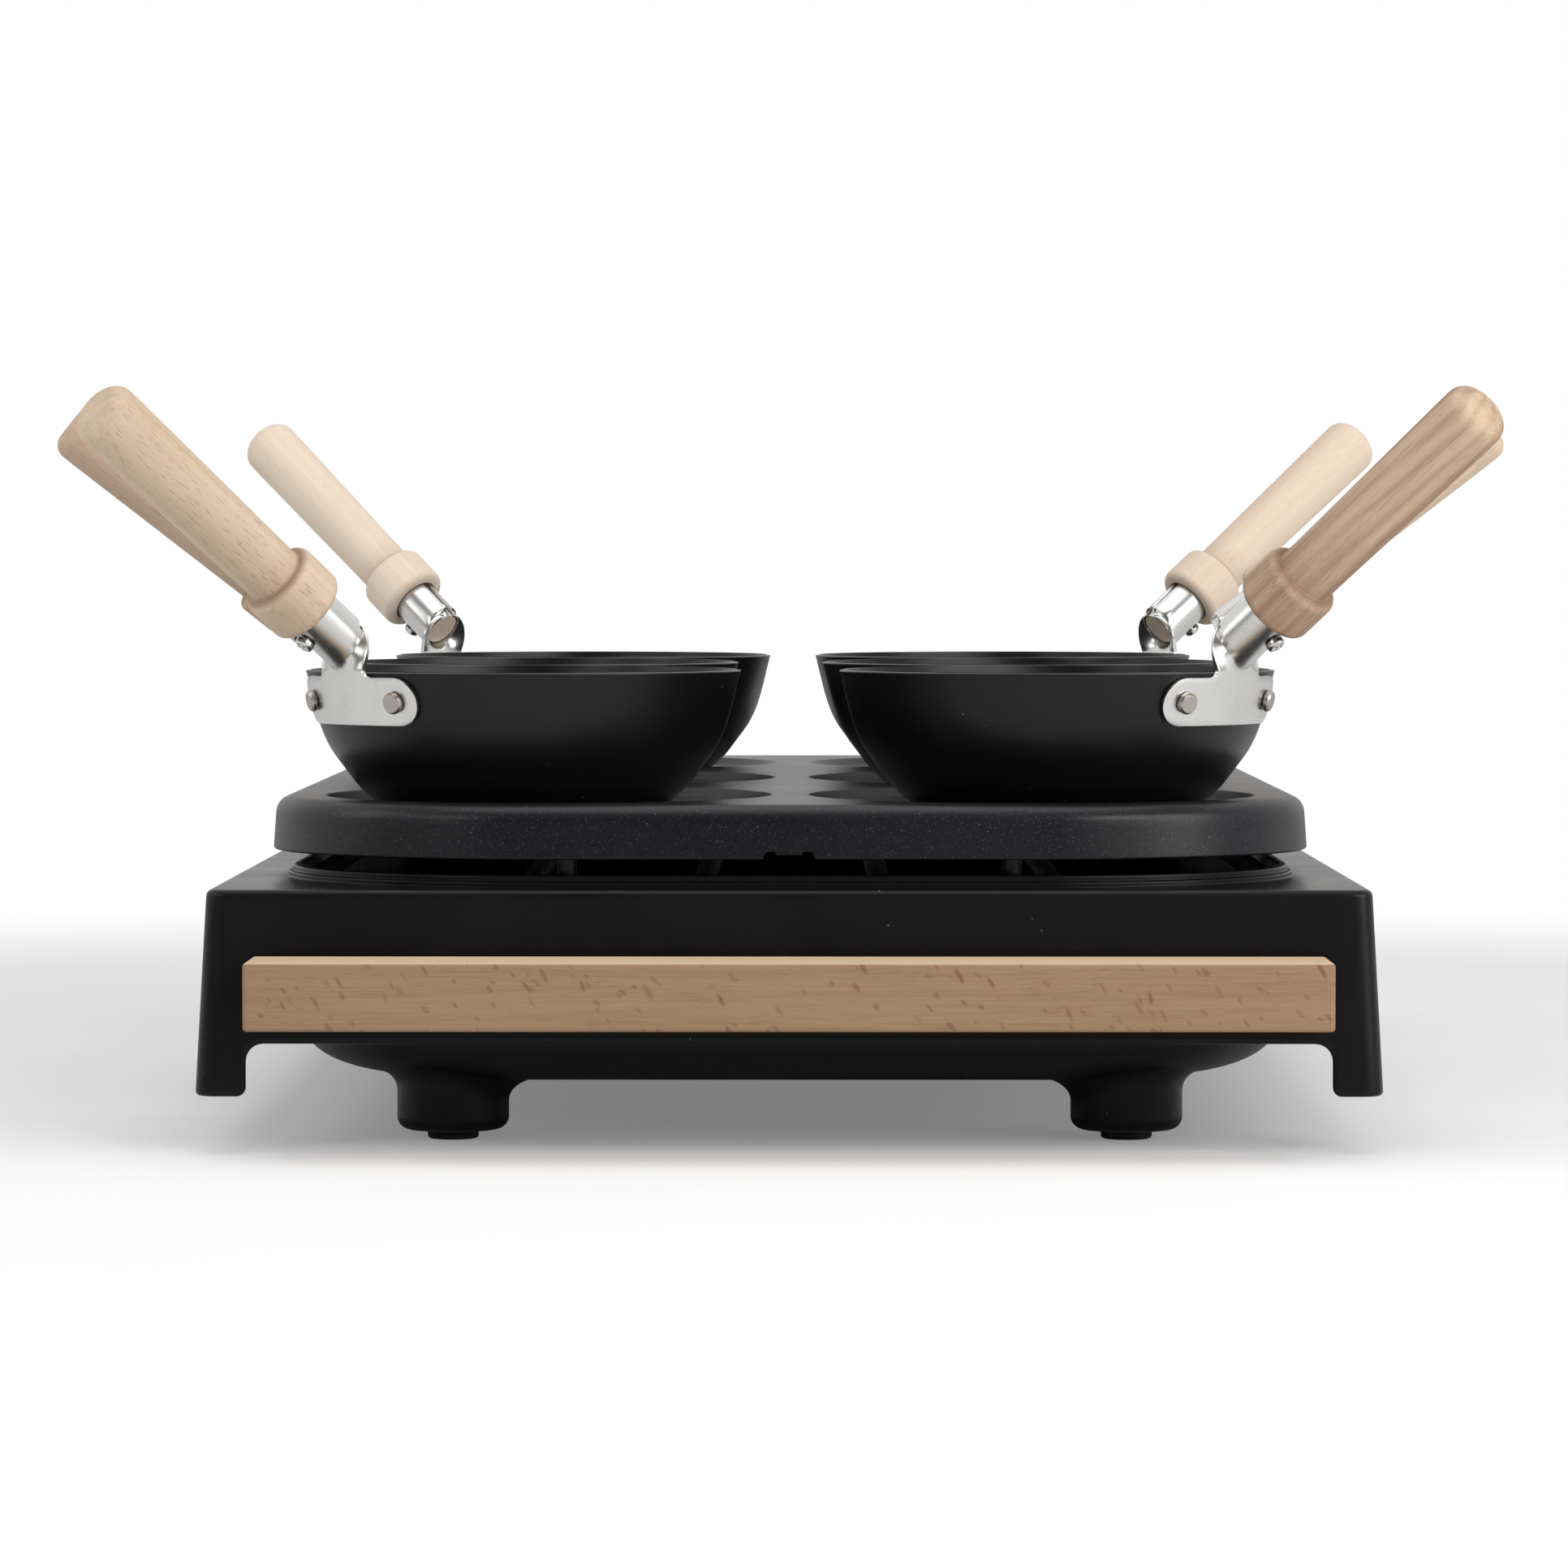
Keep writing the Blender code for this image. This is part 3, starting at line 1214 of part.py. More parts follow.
def bracket_mesh():
    """Sheet bracket: a wrapped plate, a neck, and a ferrule rolled from the same sheet."""
    bm = bmesh.new()
    columns = bracket_columns()
    lower = []
    upper = []
    for s in columns:
        bottom, top = bracket_edges(s)
        ends = []
        for z in (bottom, top):
            radius = pan_radius_at(z) + GAP
            angle = s / radius
            ends.append(bm.verts.new((radius * math.cos(angle), radius * math.sin(angle), z)))
        lower.append(ends[0])
        upper.append(ends[1])
    for i in range(len(columns) - 1):
        bm.faces.new((lower[i], upper[i], upper[i + 1], lower[i + 1]))
    first = (len(columns) - FERRULE_POINTS) // 2
    previous = upper[first:first + FERRULE_POINTS]
    for row in neck_rows():
        current = [bm.verts.new(point) for point in row]
        for i in range(FERRULE_POINTS - 1):
            bm.faces.new((previous[i], current[i], current[i + 1], previous[i + 1]))
        previous = current
    bmesh.ops.remove_doubles(bm, verts=bm.verts, dist=MERGE)
    mesh = bpy.data.meshes.new("wok_bracket")
    bm.to_mesh(mesh)
    bm.free()
    bracket = add_object("bracket", mesh, collection=CUTTERS)
    sheet = bracket.modifiers.new("sheet", "SOLIDIFY")
    sheet.thickness = BRACKET_SHEET
    sheet.offset = 1.0
    sheet.use_even_offset = True
    reach = PAN_WALL + BRACKET_SHEET + OVERRUN
    hole = rod_mesh("rivet_hole", RIVET_RADIUS + GAP, (0.0, 0.0, -reach), (0.0, 0.0, reach))
    cut(bracket, gathered("rivet_holes", hole, rivet_places()))
    screw_hole = rod_mesh(
        "screw_hole",
        HANDLE_SCREW_RADIUS + GAP,
        (0.0, 0.0, HANDLE_SCREW_PLACE),
        (FERRULE_RADIUS + OVERRUN, 0.0, HANDLE_SCREW_PLACE),
    )
    screw_hole.transform(handle_axis())
    cut(bracket, screw_hole)
    return baked_copy(bracket)


def handle_mesh():
    """Turned beech handle along its own Z, with its tenon, seat groove and screw hole."""
    start = COLLAR_START
    tip = start + HANDLE_LENGTH
    collar_end = start + COLLAR_LENGTH
    tenon_end = FERRULE_MOUTH_SLANT + TENON_SETBACK
    groove = FERRULE_RADIUS + GAP
    face_share, edge_share = GRIP_END_SHARES
    profile = (
        (0.0, tip),
        (GRIP_END_RADIUS - GRIP_END_ROUND * face_share, tip),
        (GRIP_END_RADIUS - GRIP_END_ROUND * edge_share, tip - GRIP_END_ROUND * edge_share),
        (GRIP_END_RADIUS, tip - GRIP_END_ROUND),
        (GRIP_NECK_RADIUS, collar_end),
        (COLLAR_RADIUS - COLLAR_ROUND, collar_end),
        (COLLAR_RADIUS, collar_end - COLLAR_ROUND),
        (COLLAR_RADIUS, start + COLLAR_ROUND),
        (COLLAR_RADIUS - COLLAR_ROUND, start),
        (groove, start),
        (groove, start + COLLAR_SEAT_DEPTH),
        (TENON_RADIUS, start + COLLAR_SEAT_DEPTH),
        (TENON_RADIUS, tenon_end),
        (0.0, tenon_end),
    )
    handle = turned("handle", profile, HANDLE_STEPS, collection=CUTTERS)
    depth = TENON_RADIUS - HANDLE_SCREW_DEPTH - GAP
    hole = rod_mesh(
        "screw_hole",
        HANDLE_SCREW_RADIUS + GAP,
        (depth, 0.0, HANDLE_SCREW_PLACE),
        (TENON_RADIUS + OVERRUN, 0.0, HANDLE_SCREW_PLACE),
    )
    cut(handle, hole)
    return baked_copy(handle)


def handle_screw_mesh():
    """Pan head screw under the ferrule, along its own Z, head up."""
    seat = FERRULE_RADIUS + GAP
    head = HANDLE_SCREW_HEAD_HEIGHT
    crown_share, side_share = HANDLE_SCREW_CROWN_SHARES
    profile = (
        (0.0, seat + head),
        (HANDLE_SCREW_HEAD_RADIUS * crown_share, seat + head),
        (HANDLE_SCREW_HEAD_RADIUS, seat + head * side_share),
        (HANDLE_SCREW_HEAD_RADIUS, seat),
        (HANDLE_SCREW_RADIUS, seat),
        (HANDLE_SCREW_RADIUS, TENON_RADIUS - HANDLE_SCREW_DEPTH + HANDLE_SCREW_RADIUS),
        (0.0, TENON_RADIUS - HANDLE_SCREW_DEPTH),
    )
    return turned_mesh("handle_screw", profile, SMALL_STEPS)


def place_copy(name, mesh, matrix, parent, material):
    """One more object with a shared mesh, placed in its wok's own frame."""
    thing = add_object(name, mesh, material, parent)
    thing.matrix_basis = matrix
    return thing


def build_woks(griddle_axis, black, steel, beech):
    """Six woks, each on its own empty, with the handle along the empty's X."""
    pan = pan_mesh()
    rivet = rivet_mesh()
    bracket = bracket_mesh()
    handle = handle_mesh()
    screw = handle_screw_mesh()
    axis = handle_axis()
    screw_turn = Matrix.Rotation(math.pi / 2, 4, "Y")
    screw_place = axis @ Matrix.Translation((0.0, 0.0, HANDLE_SCREW_PLACE)) @ screw_turn
    for row_number, row in enumerate(WOK_ROWS):
        for side_number, (side, side_x) in enumerate(WOK_SIDES):
            name = f"{row}_{side}"
            shift = WOK_SHIFT_SHARES[row][side_number] * WOK_PLAY
            x = side_x * (MOULD_X + shift)
            y = (row_number - 1) * MOULD_Y
            mount = add_empty(f"{name}_wok_axis", (x, y, PAN_BOTTOM - PLATE_BOTTOM), griddle_axis)
            swing = math.radians(WOK_HANDLE_DEGREES[row][side_number])
            mount.rotation_euler = (0.0, 0.0, side_x * swing - math.pi / 2)
            place_copy(f"{name}_wok_pan", pan, Matrix.Identity(4), mount, black)
            place_copy(f"{name}_wok_bracket", bracket, Matrix.Identity(4), mount, steel)
            place_copy(f"{name}_wok_handle", handle, axis, mount, beech)
            for letter, frame in zip("ab", rivet_places()):
                place_copy(f"{name}_wok_rivet_{letter}", rivet, frame, mount, steel)
            place_copy(f"{name}_wok_screw", screw, screw_place, mount, steel)


def build_grill():
    """Builds every piece of the grill."""
    clear_scene()
    plastic = finish("black plastic", (0.012, 0.012, 0.013), 0.42)
    tub_plastic = finish("black tub plastic", (0.010, 0.010, 0.011), 0.50)
    rubber = finish("black rubber", (0.015, 0.015, 0.015), 0.80)
    bar_beech = finish("oiled beech", (0.46, 0.27, 0.14), 0.55)
    handle_beech = finish("pale beech", (0.66, 0.47, 0.31), 0.60)
    cast = finish("non-stick griddle", (0.017, 0.019, 0.025), 0.38, 0.1)
    wok_black = finish("black non-stick", (0.010, 0.010, 0.010), 0.35)
    steel = finish("polished steel", (0.70, 0.69, 0.67), 0.15, 1.0)
    reflector = finish("dark enamelled sheet", (0.030, 0.030, 0.032), 0.35)
    sheath = finish("element sheath", (0.10, 0.09, 0.08), 0.45, 0.8)
    ceramic = finish("ceramic", (0.78, 0.75, 0.68), 0.45)
    red = finish("red lens", (0.60, 0.03, 0.02), 0.15)
    build_housing(plastic)
    build_tub(tub_plastic)
    build_pads(rubber)
    build_tub_screws(steel)
    build_bar("front_wood_bar", -1, bar_beech)
    build_bar("rear_wood_bar", 1, bar_beech)
    build_tray(reflector)
    build_element(sheath)
    build_supports(reflector)
    build_terminal_block(ceramic)
    build_thermal_cutout(sheath)
    build_inlet(plastic)
    build_switch(plastic, rubber)
    build_lens(red)
    griddle_axis = add_empty("griddle_axis", (0.0, 0.0, PLATE_BOTTOM))
    plate = build_griddle(griddle_axis, cast)
    plate.matrix_parent_inverse = griddle_axis.matrix_basis.inverted()
    build_woks(griddle_axis, wok_black, steel, handle_beech)


build_grill()
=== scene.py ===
"""A table grill with six mini woks: fine surfaces over the CAD frame, finishes and studio."""

import logging
import math
from dataclasses import dataclass
from enum import Enum
from itertools import product
from typing import Any, Callable, Optional, Sequence

import bpy
import numpy as np
from mathutils import Matrix, Vector
from mathutils.geometry import delaunay_2d_cdt


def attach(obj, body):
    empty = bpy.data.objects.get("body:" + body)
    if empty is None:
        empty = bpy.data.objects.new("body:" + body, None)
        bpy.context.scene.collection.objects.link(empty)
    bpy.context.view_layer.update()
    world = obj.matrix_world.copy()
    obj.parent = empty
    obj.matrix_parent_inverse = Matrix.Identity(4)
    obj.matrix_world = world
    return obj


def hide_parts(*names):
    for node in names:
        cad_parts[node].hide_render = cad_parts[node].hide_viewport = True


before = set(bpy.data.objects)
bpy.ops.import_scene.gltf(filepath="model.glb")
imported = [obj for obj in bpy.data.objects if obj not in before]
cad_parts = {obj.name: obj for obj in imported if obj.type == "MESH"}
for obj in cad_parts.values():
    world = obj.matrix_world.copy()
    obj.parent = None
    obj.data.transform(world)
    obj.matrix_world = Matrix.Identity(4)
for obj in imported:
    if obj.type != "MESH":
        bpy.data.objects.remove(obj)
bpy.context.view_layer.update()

LOG = logging.getLogger("table_grill")
Array = np.ndarray  # a grid is one of rows by columns by three, in metres
Colour = tuple[float, float, float]
Object = bpy.types.Object
Mesh = bpy.types.Mesh
Material = bpy.types.Material
Inputs = dict[str, Any]
WALL_LEAN = math.radians(3.0)


# ---- sizes that pieces share


@dataclass(frozen=True)
class Levels:
    """Heights, clearances and plan sizes that several pieces share, in metres.

    The bead round the opening is given by its half width, half length and corner radius.
    """

    gap: float = 0.0003
    deck: float = 0.0684
    deck_half_x: float = 0.15095
    deck_half_y: float = 0.2086
    wall: float = 0.0026
    draft: float = math.tan(WALL_LEAN)
    leg_bottom: float = 0.0151
    skirt_bottom: float = 0.0287
    bead: tuple[float, float, float] = (0.13585, 0.19925, 0.070)
    flange_top: float = 0.0565
    foot_x: float = 0.0895
    foot_y: float = 0.1636
    boss_x: float = 0.12595
    boss_y: float = 0.1860
    fitting_z: float = 0.0432
    pilot_y: float = 0.034
    plate_bottom: float = 0.0759
    plate_top: float = 0.0902
    mould_x: float = 0.0653
    mould_y: float = 0.1306
    mould_floor: float = 0.0874
    pan_bottom: float = 0.0877

    def half_x(self, z: Any) -> Any:
        """Half width over the side walls at height z: it grows by the draft downwards."""
        return self.deck_half_x + (self.deck - z) * self.draft

    def half_y(self, z: Any) -> Any:
        """Half length over the end walls at height z."""
        return self.deck_half_y + (self.deck - z) * self.draft


LEVELS = Levels()


class Row(Enum):
    """The three rows of woks, with their place along the plate in mould pitches."""

    FRONT = -1
    MIDDLE = 0
    REAR = 1


class Side(Enum):
    """The two sides of the grill, with their sign along X."""

    LEFT = -1
    RIGHT = 1


# ---- profiles and surfaces


def rounded(points: Sequence[Sequence[float]], radii: Sequence[float], steps: int = 6) -> Array:
    """Open polyline with its inner corners turned into arcs.

    A corner with radius r and half angle h between its two legs is cut back r / tan(h) along
    each leg. The arc turns from one leg's foot to the other about the centre, which lies
    r / sin(h) from the corner on the bisector. A point a little outside each arc keeps the
    shading of the flat beside it flat.

    Args:
        points: The corners, ends included.
        radii: One radius for each inner corner; 0 keeps it sharp.
        steps: Segments in each arc.

    Returns:
        The points of the rounded line, one row each.
    """
    corners = np.asarray(points, float)
    legs = np.diff(corners, axis=0)
    lengths = np.linalg.norm(legs, axis=1)
    units = legs / lengths[:, None]
    back, ahead = -units[:-1], units[1:]
    half = 0.5 * np.arccos(np.clip((back * ahead).sum(axis=1), -1.0, 1.0))
    cuts = np.asarray(radii, float) / np.tan(half)
    spare = lengths - np.append(0.0, cuts) - np.append(cuts, 0.0)
    out = [corners[:1]]
    for i, radius in enumerate(radii):
        corner = corners[i + 1]
        if radius <= 0.0:
            out.append(corner[None])
            continue
        bisector = (back[i] + ahead[i]) / np.linalg.norm(back[i] + ahead[i])
        centre = corner + bisector * radius / math.sin(half[i])
        first = corner + back[i] * cuts[i] - centre
        last = corner + ahead[i] * cuts[i] - centre
        turn = math.pi - 2 * half[i]
        share = np.linspace(0.0, 1.0, steps + 1)[:, None]
        arc = (np.sin((1 - share) * turn) * first + np.sin(share * turn) * last) / math.sin(turn)
        before = min(0.35 * radius, 0.3 * spare[i])
        after = min(0.35 * radius, 0.3 * spare[i + 1])
        out.append((corner + back[i] * (cuts[i] + before))[None])
        out.append(centre + arc)
        out.append((corner + ahead[i] * (cuts[i] + after))[None])
    out.append(corners[-1:])
    line = np.concatenate(out)
    keep = np.append(True, np.linalg.norm(np.diff(line, axis=0), axis=1) > 1e-7)
    return line[keep]


def closed_rounded(points: Sequence[Sequence[float]], radius: float, steps: int = 6) -> Array:
    """Closed outline with every corner turned into an arc of one radius.

    Args:
        points: The corners, in order, the first not repeated.
        radius: The radius of each arc.
        steps: Segments in each arc.

    Returns:
        The outline's points, the first not repeated.
    """
    corners = np.asarray(points, float)
    start = (corners[-1] + corners[0]) / 2
    line = rounded([start, *corners, start], [radius] * len(corners), steps)
    return line[:-1]


def smooth_line(points: Array, steps: int) -> Array:
    """Catmull-Rom curve through a row of points.

    Between P1 and P2 the place is half of 2 P1 + (P2 - P0) t + (2 P0 - 5 P1 + 4 P2 - P3) t^2
    + (3 P1 - P0 - 3 P2 + P3) t^3; the missing neighbours at the ends are mirrored.

    Args:
        points: The points to pass through.
        steps: Segments between two of them.

    Returns:
        The curve's points.
    """
    padded = np.vstack([2 * points[0] - points[1], points, 2 * points[-1] - points[-2]])
    t = np.linspace(0.0, 1.0, steps, endpoint=False)[None, :, None]
    p0, p1, p2, p3 = (padded[i : len(padded) - 3 + i][:, None] for i in range(4))
    curve = p1 * 2 + (p2 - p0) * t + (2 * p0 - 5 * p1 + 4 * p2 - p3) * t**2
    curve = 0.5 * (curve + (3 * p1 - p0 - 3 * p2 + p3) * t**3)
    return np.vstack([curve.reshape(-1, points.shape[1]), points[-1:]])


def unit_tangent(line: Array) -> Array:
    """Unit tangent at each point of a line."""
    tangent = np.gradient(line, axis=0)
    return tangent / np.linalg.norm(tangent, axis=1)[:, None]


def left_of(way: Array) -> Array:
    """Directions (x, y) turned a quarter to the left: (-y, x)."""
    return np.stack([-way[:, 1], way[:, 0]], axis=1)


def offset_line(line: Array, distance: float) -> Array:
    """Line moved to its left by a distance, along the normal of its tangent."""
    return line + distance * left_of(unit_tangent(line))


def turns(steps: int) -> Array:
    """Angles of so many even columns round an axis, in one row."""
    return np.linspace(0.0, 2 * math.pi, steps, endpoint=False)[None]


def lathe(profile: Array, steps: int) -> Array:
    """Grid of a profile turned about Z: point (r cos a, r sin a, z) for each profile point.

    Args:
        profile: Rows of (radius, height), from the bottom of the axis round to its top.
        steps: Columns round the axis.

    Returns:
        The grid.
    """
    angle = turns(steps)
    radius, height = profile[:, :1], profile[:, 1:]
    return np.stack(np.broadcast_arrays(radius * np.cos(angle), radius * np.sin(angle), height), -1)


def tube(path: Array, radius: float, steps: int) -> Array:
    """Grid of a round tube along a smooth path, with a pole at each end.

    Each ring lies in the plane of two normals: one carried along the path by taking away its
    part along the tangent, the other their cross product.

    Args:
        path: The centre line.
        radius: The tube's radius.
        steps: Columns round the tube.

    Returns:
        The grid.
    """
    tangent = unit_tangent(path)
    side = np.cross(tangent, (0.0, 0.0, 1.0))
    weak = np.linalg.norm(side, axis=1) < 0.2
    side[weak] = np.cross(tangent[weak], (0.0, 1.0, 0.0))
    side /= np.linalg.norm(side, axis=1)[:, None]
    for i in range(1, len(side)):
        carried = side[i - 1] - tangent[i] * (side[i - 1] @ tangent[i])
        side[i] = carried / np.linalg.norm(carried)
    up = np.cross(tangent, side)
    angle = turns(steps)[..., None]
    rings = path[:, None] + radius * (np.cos(angle) * side[:, None] + np.sin(angle) * up[:, None])
    ends = [np.repeat(path[i][None, None], steps, axis=1) for i in (0, -1)]
    return np.concatenate([ends[0], rings, ends[1]])


def placed(points: Array, matrix: Matrix) -> Array:
    """Points carried by a 4 x 4 matrix: turn times point plus shift."""
    m = np.array(matrix)
    return points @ m[:3, :3].T + m[:3, 3]


def capped(rows: Array) -> Array:
    """Grid of rings with a pole at the middle of its first ring and of its last one."""
    poles = rows[[0, -1]].mean(axis=1, keepdims=True) * np.ones((1, rows.shape[1], 1))
    return np.concatenate([poles[:1], rows, poles[1:]])


@dataclass(frozen=True)
class Columns:
    """Columns round a rounded rectangle: which corner each belongs to, its angle, its share."""

    corner: Array
    angle: Array
    share: Array

    @classmethod
    def make(cls, steps: int, along: int, across: int) -> "Columns":
        """Columns in order from the front right corner, anticlockwise from above.

        Args:
            steps: Segments in each corner's arc.
            along: Columns inside each side straight.
            across: Columns inside each end straight.

        Returns:
            The columns.
        """
        corner, angle, share = [], [], []
        for q in range(4):
            arc = np.linspace(0.0, math.pi / 2, steps + 1) + (q - 1) * math.pi / 2
            count = along if q % 2 == 0 else across
            straight = np.linspace(0.0, 1.0, count + 2)[1:-1]
            corner.append(np.full(steps + 1 + count, q))
            angle.append(np.append(arc, np.full(count, arc[-1])))
            share.append(np.append(np.zeros(steps + 1), straight))
        return cls(np.concatenate(corner), np.concatenate(angle), np.concatenate(share))

    def points(
        self, half_x: Any, half_y: Any, radius: Any, z: Any, share: Optional[Array] = None
    ) -> Array:
        """Stacked rounded rectangles.

        A column's place is its corner's centre, plus radius times (cos a, sin a), plus its
        share of the straight that follows that corner.

        Args:
            half_x: Half width of each row.
            half_y: Half length of each row.
            radius: Corner radius of each row.
            z: Height of each row, or of each row and column.
            share: Shares for each row and column, in place of the columns' own.

        Returns:
            The grid.
        """
        sizes = [np.asarray(v, float) for v in (half_x, half_y, radius, z)]
        sizes = [v[:, None] if v.ndim == 1 else v for v in sizes]
        hx, hy, r, height = np.broadcast_arrays(*sizes, np.zeros((1, len(self.corner))))[:4]
        t = self.share[None] if share is None else share
        sign_x = np.array((1.0, 1.0, -1.0, -1.0))[self.corner]
        sign_y = np.array((-1.0, 1.0, 1.0, -1.0))[self.corner]
        run_x = np.array((0.0, -2.0, 0.0, 2.0))[self.corner]
        run_y = np.array((2.0, 0.0, -2.0, 0.0))[self.corner]
        x = sign_x * (hx - r) + r * np.cos(self.angle) + t * run_x * (hx - r)
        y = sign_y * (hy - r) + r * np.sin(self.angle) + t * run_y * (hy - r)
        return np.stack([x, y, height], axis=-1)

    def inset(self, half_x: float, half_y: float, radius: float, profile: Array) -> Array:
        """Rings drawn in from one rounded rectangle.

        Args:
            half_x: Its half width.
            half_y: Its half length.
            radius: Its corner radius.
            profile: Rows of (inset, height), one for each ring.

        Returns:
            The grid.
        """
        d = profile[:, 0]
        corner = np.maximum(radius - d, 0.0002)
        return self.points(half_x - d, half_y - d, corner, profile[:, 1])


class Shell:
    """The points and faces of one piece, gathered as whole arrays."""

    def __init__(self) -> None:
        """Starts with nothing in it."""
        self._points: list[Array] = []
        self._faces: list[tuple[Array, int]] = []
        self._grain: list[Array] = []
        self._size = 0

    def add(self, points: Array) -> int:
        """Keeps points.

        Args:
            points: The points, as any array whose rows are (x, y, z).

        Returns:
            The index of the first.
        """
        start = self._size
        self._points.append(points.reshape(-1, 3))
        self._size += len(self._points[-1])
        return start

    def face(self, index: Array, slot: int = 0) -> None:
        """Keeps faces given as one row of point indices each."""
        self._faces.append((index, slot))

    def grid(
        self, points: Array, around: bool = True, close_rows: bool = False, slot: int = 0
    ) -> Array:
        """Adds a grid of quads; a first or last row that is one point becomes a pole.

        Args:
            points: The grid. Columns run anticlockwise and rows follow the profile, so that
                faces point outwards.
            around: Whether the last column joins the first.
            close_rows: Whether the last row joins the first.
            slot: The material slot of the faces.

        Returns:
            The indices of the grid's points, without its poles.
        """
        spread = np.ptp(points, axis=1).max(axis=1)
        first = bool(spread[0] < 1e-9) and not close_rows
        last = bool(spread[-1] < 1e-9) and not close_rows
        body = points[int(first) : len(points) - int(last)]
        index = self.add(body) + np.arange(body.shape[0] * body.shape[1]).reshape(body.shape[:2])
        rows = np.vstack([index, index[:1]]) if close_rows else index
        here = rows if around else rows[:, :-1]
        there = np.roll(rows, -1, axis=1) if around else rows[:, 1:]
        quads = np.stack([here[:-1], there[:-1], there[1:], here[1:]], axis=-1)
        self.face(quads.reshape(-1, 4), slot)
        if first:
            pole = np.full(here.shape[1], self.add(points[0, :1]))
            self.face(np.stack([pole, there[0], here[0]], axis=-1), slot)
        if last:
            pole = np.full(here.shape[1], self.add(points[-1, :1]))
            self.face(np.stack([here[-1], there[-1], pole], axis=-1), slot)
        return index

    def mesh(self, name: str) -> Mesh:
        """Writes the piece into a new smooth mesh.

        Args:
            name: The mesh's name.

        Returns:
            The mesh.
        """
        points = np.concatenate(self._points)
        sizes = np.concatenate([np.full(len(f), f.shape[1]) for f, _ in self._faces])
        slots = np.concatenate([np.full(len(f), slot) for f, slot in self._faces])
        corners = np.concatenate([f.ravel() for f, _ in self._faces])
        mesh = bpy.data.meshes.new(name)
        mesh.vertices.add(len(points))
        mesh.vertices.foreach_set("co", points.astype(np.float32).ravel())
        mesh.loops.add(len(corners))
        mesh.loops.foreach_set("vertex_index", corners.astype(np.int32))
        mesh.polygons.add(len(sizes))
        mesh.polygons.foreach_set("loop_start", (np.cumsum(sizes) - sizes).astype(np.int32))
        mesh.polygons.foreach_set("material_index", slots.astype(np.int32))
        mesh.update(calc_edges=True)
        mesh.shade_smooth()
        return mesh


def read_points(mesh: Mesh) -> Array:
    """Reads the places of a mesh's vertices.

    Args:
        mesh: The mesh.

    Returns:
        One row of (x, y, z) for each vertex.
    """
    flat = np.empty(len(mesh.vertices) * 3, np.float32)
    mesh.vertices.foreach_get("co", flat)
    return flat.reshape(-1, 3).astype(float)


def keep_grain(mesh: Mesh, points: Array, crease: Array) -> None:
    """Stores on a mesh what the beech reads.

    Args:
        mesh: The mesh.
        points: Coordinates in the timber, one row for each vertex.
        crease: How near the step between a handle's collar and its grip each vertex lies, from 0 to
            1; the weight of painted shade there.
    """
    layer = mesh.attributes.new("grain", "FLOAT_VECTOR", "POINT")
    layer.data.foreach_set("vector", points.astype(np.float32).ravel())
    depth = mesh.attributes.new("crease", "FLOAT", "POINT")
    depth.data.foreach_set("value", crease.astype(np.float32))


def solid(name: str, *grids: Array) -> Mesh:
    """Mesh of some closed grids, all in the first material slot.

    Args:
        name: The mesh's name.
        grids: The grids, as Shell.grid takes them.

    Returns:
        The mesh.
    """
    shell = Shell()
    for grid in grids:
        shell.grid(grid)
    return shell.mesh(name)


def linked(name: str, data: Any) -> Object:
    """Puts a new object into the scene.

    Args:
        name: The object's name.
        data: The mesh, light or camera that it holds.

    Returns:
        The object.
    """
    made = bpy.data.objects.new(name, data)
    bpy.context.scene.collection.objects.link(made)
    return made


def baked(mesh: Mesh, modifiers: Sequence[tuple[str, dict[str, Any]]]) -> Mesh:
    """Applies modifiers to a mesh.

    Args:
        mesh: The mesh to finish.
        modifiers: Modifier types with their settings, in order.

    Returns:
        A new mesh with the modifiers in it.
    """
    holder = linked("holder", mesh)
    for kind, settings in modifiers:
        modifier = holder.modifiers.new(kind.lower(), kind)
        for key, value in settings.items():
            setattr(modifier, key, value)
    graph = bpy.context.evaluated_depsgraph_get()
    result = bpy.data.meshes.new_from_object(holder.evaluated_get(graph))
    bpy.data.objects.remove(holder)
    return result


def carved(mesh: Mesh, tools: Sequence[Mesh], operation: str = "DIFFERENCE") -> Mesh:
    """Cuts closed tools out of a closed mesh, or joins them to it.

    Args:
        mesh: The mesh to change.
        tools: The closed meshes to use, one after another.
        operation: The Boolean operation.

    Returns:
        The new mesh.
    """
    for tool in tools:
        holder = linked("tool", tool)
        settings = {"object": holder, "operation": operation, "solver": "EXACT"}
        mesh = baked(mesh, [("BOOLEAN", settings)])
        bpy.data.objects.remove(holder)
    return mesh


def welded(mesh: Mesh, distance: float = 2e-6) -> Mesh:
    """Merges points that share a place, so that seams are closed."""
    return baked(mesh, [("WELD", {"merge_threshold": distance, "mode": "ALL"})])


def show(
    name: str,
    mesh: Mesh,
    node: str,
    *materials: Material,
    body: str = "base",
    sharp: float = 38.0,
) -> None:
    """Puts a finished mesh into the scene in place of a CAD node.

    Args:
        name: The piece's name.
        mesh: Its mesh, with its place in it.
        node: The CAD node that it stands for.
        materials: Its materials, in the order of its slots.
        body: The CAD body that it rides on.
        sharp: Angle in degrees past which an edge is sharp.
    """
    piece = linked(name, mesh)
    mesh.materials.clear()
    for material in materials:
        mesh.materials.append(material)
    mesh.shade_smooth()
    mesh.set_sharp_from_angle(angle=math.radians(sharp))
    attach(piece, body)
    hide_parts(node)
    LOG.info("%s: %d faces on %s", name, len(mesh.polygons), body)


def dress(material: Material, *nodes: str) -> None:
    """Gives CAD nodes that stay a better material.

    Args:
        material: The material.
        nodes: The nodes' names.
    """
    for node in nodes:
        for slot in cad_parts[node].material_slots:
            slot.material = material
        LOG.info("%s: %s", node, material.name)


# ---- shader nodes


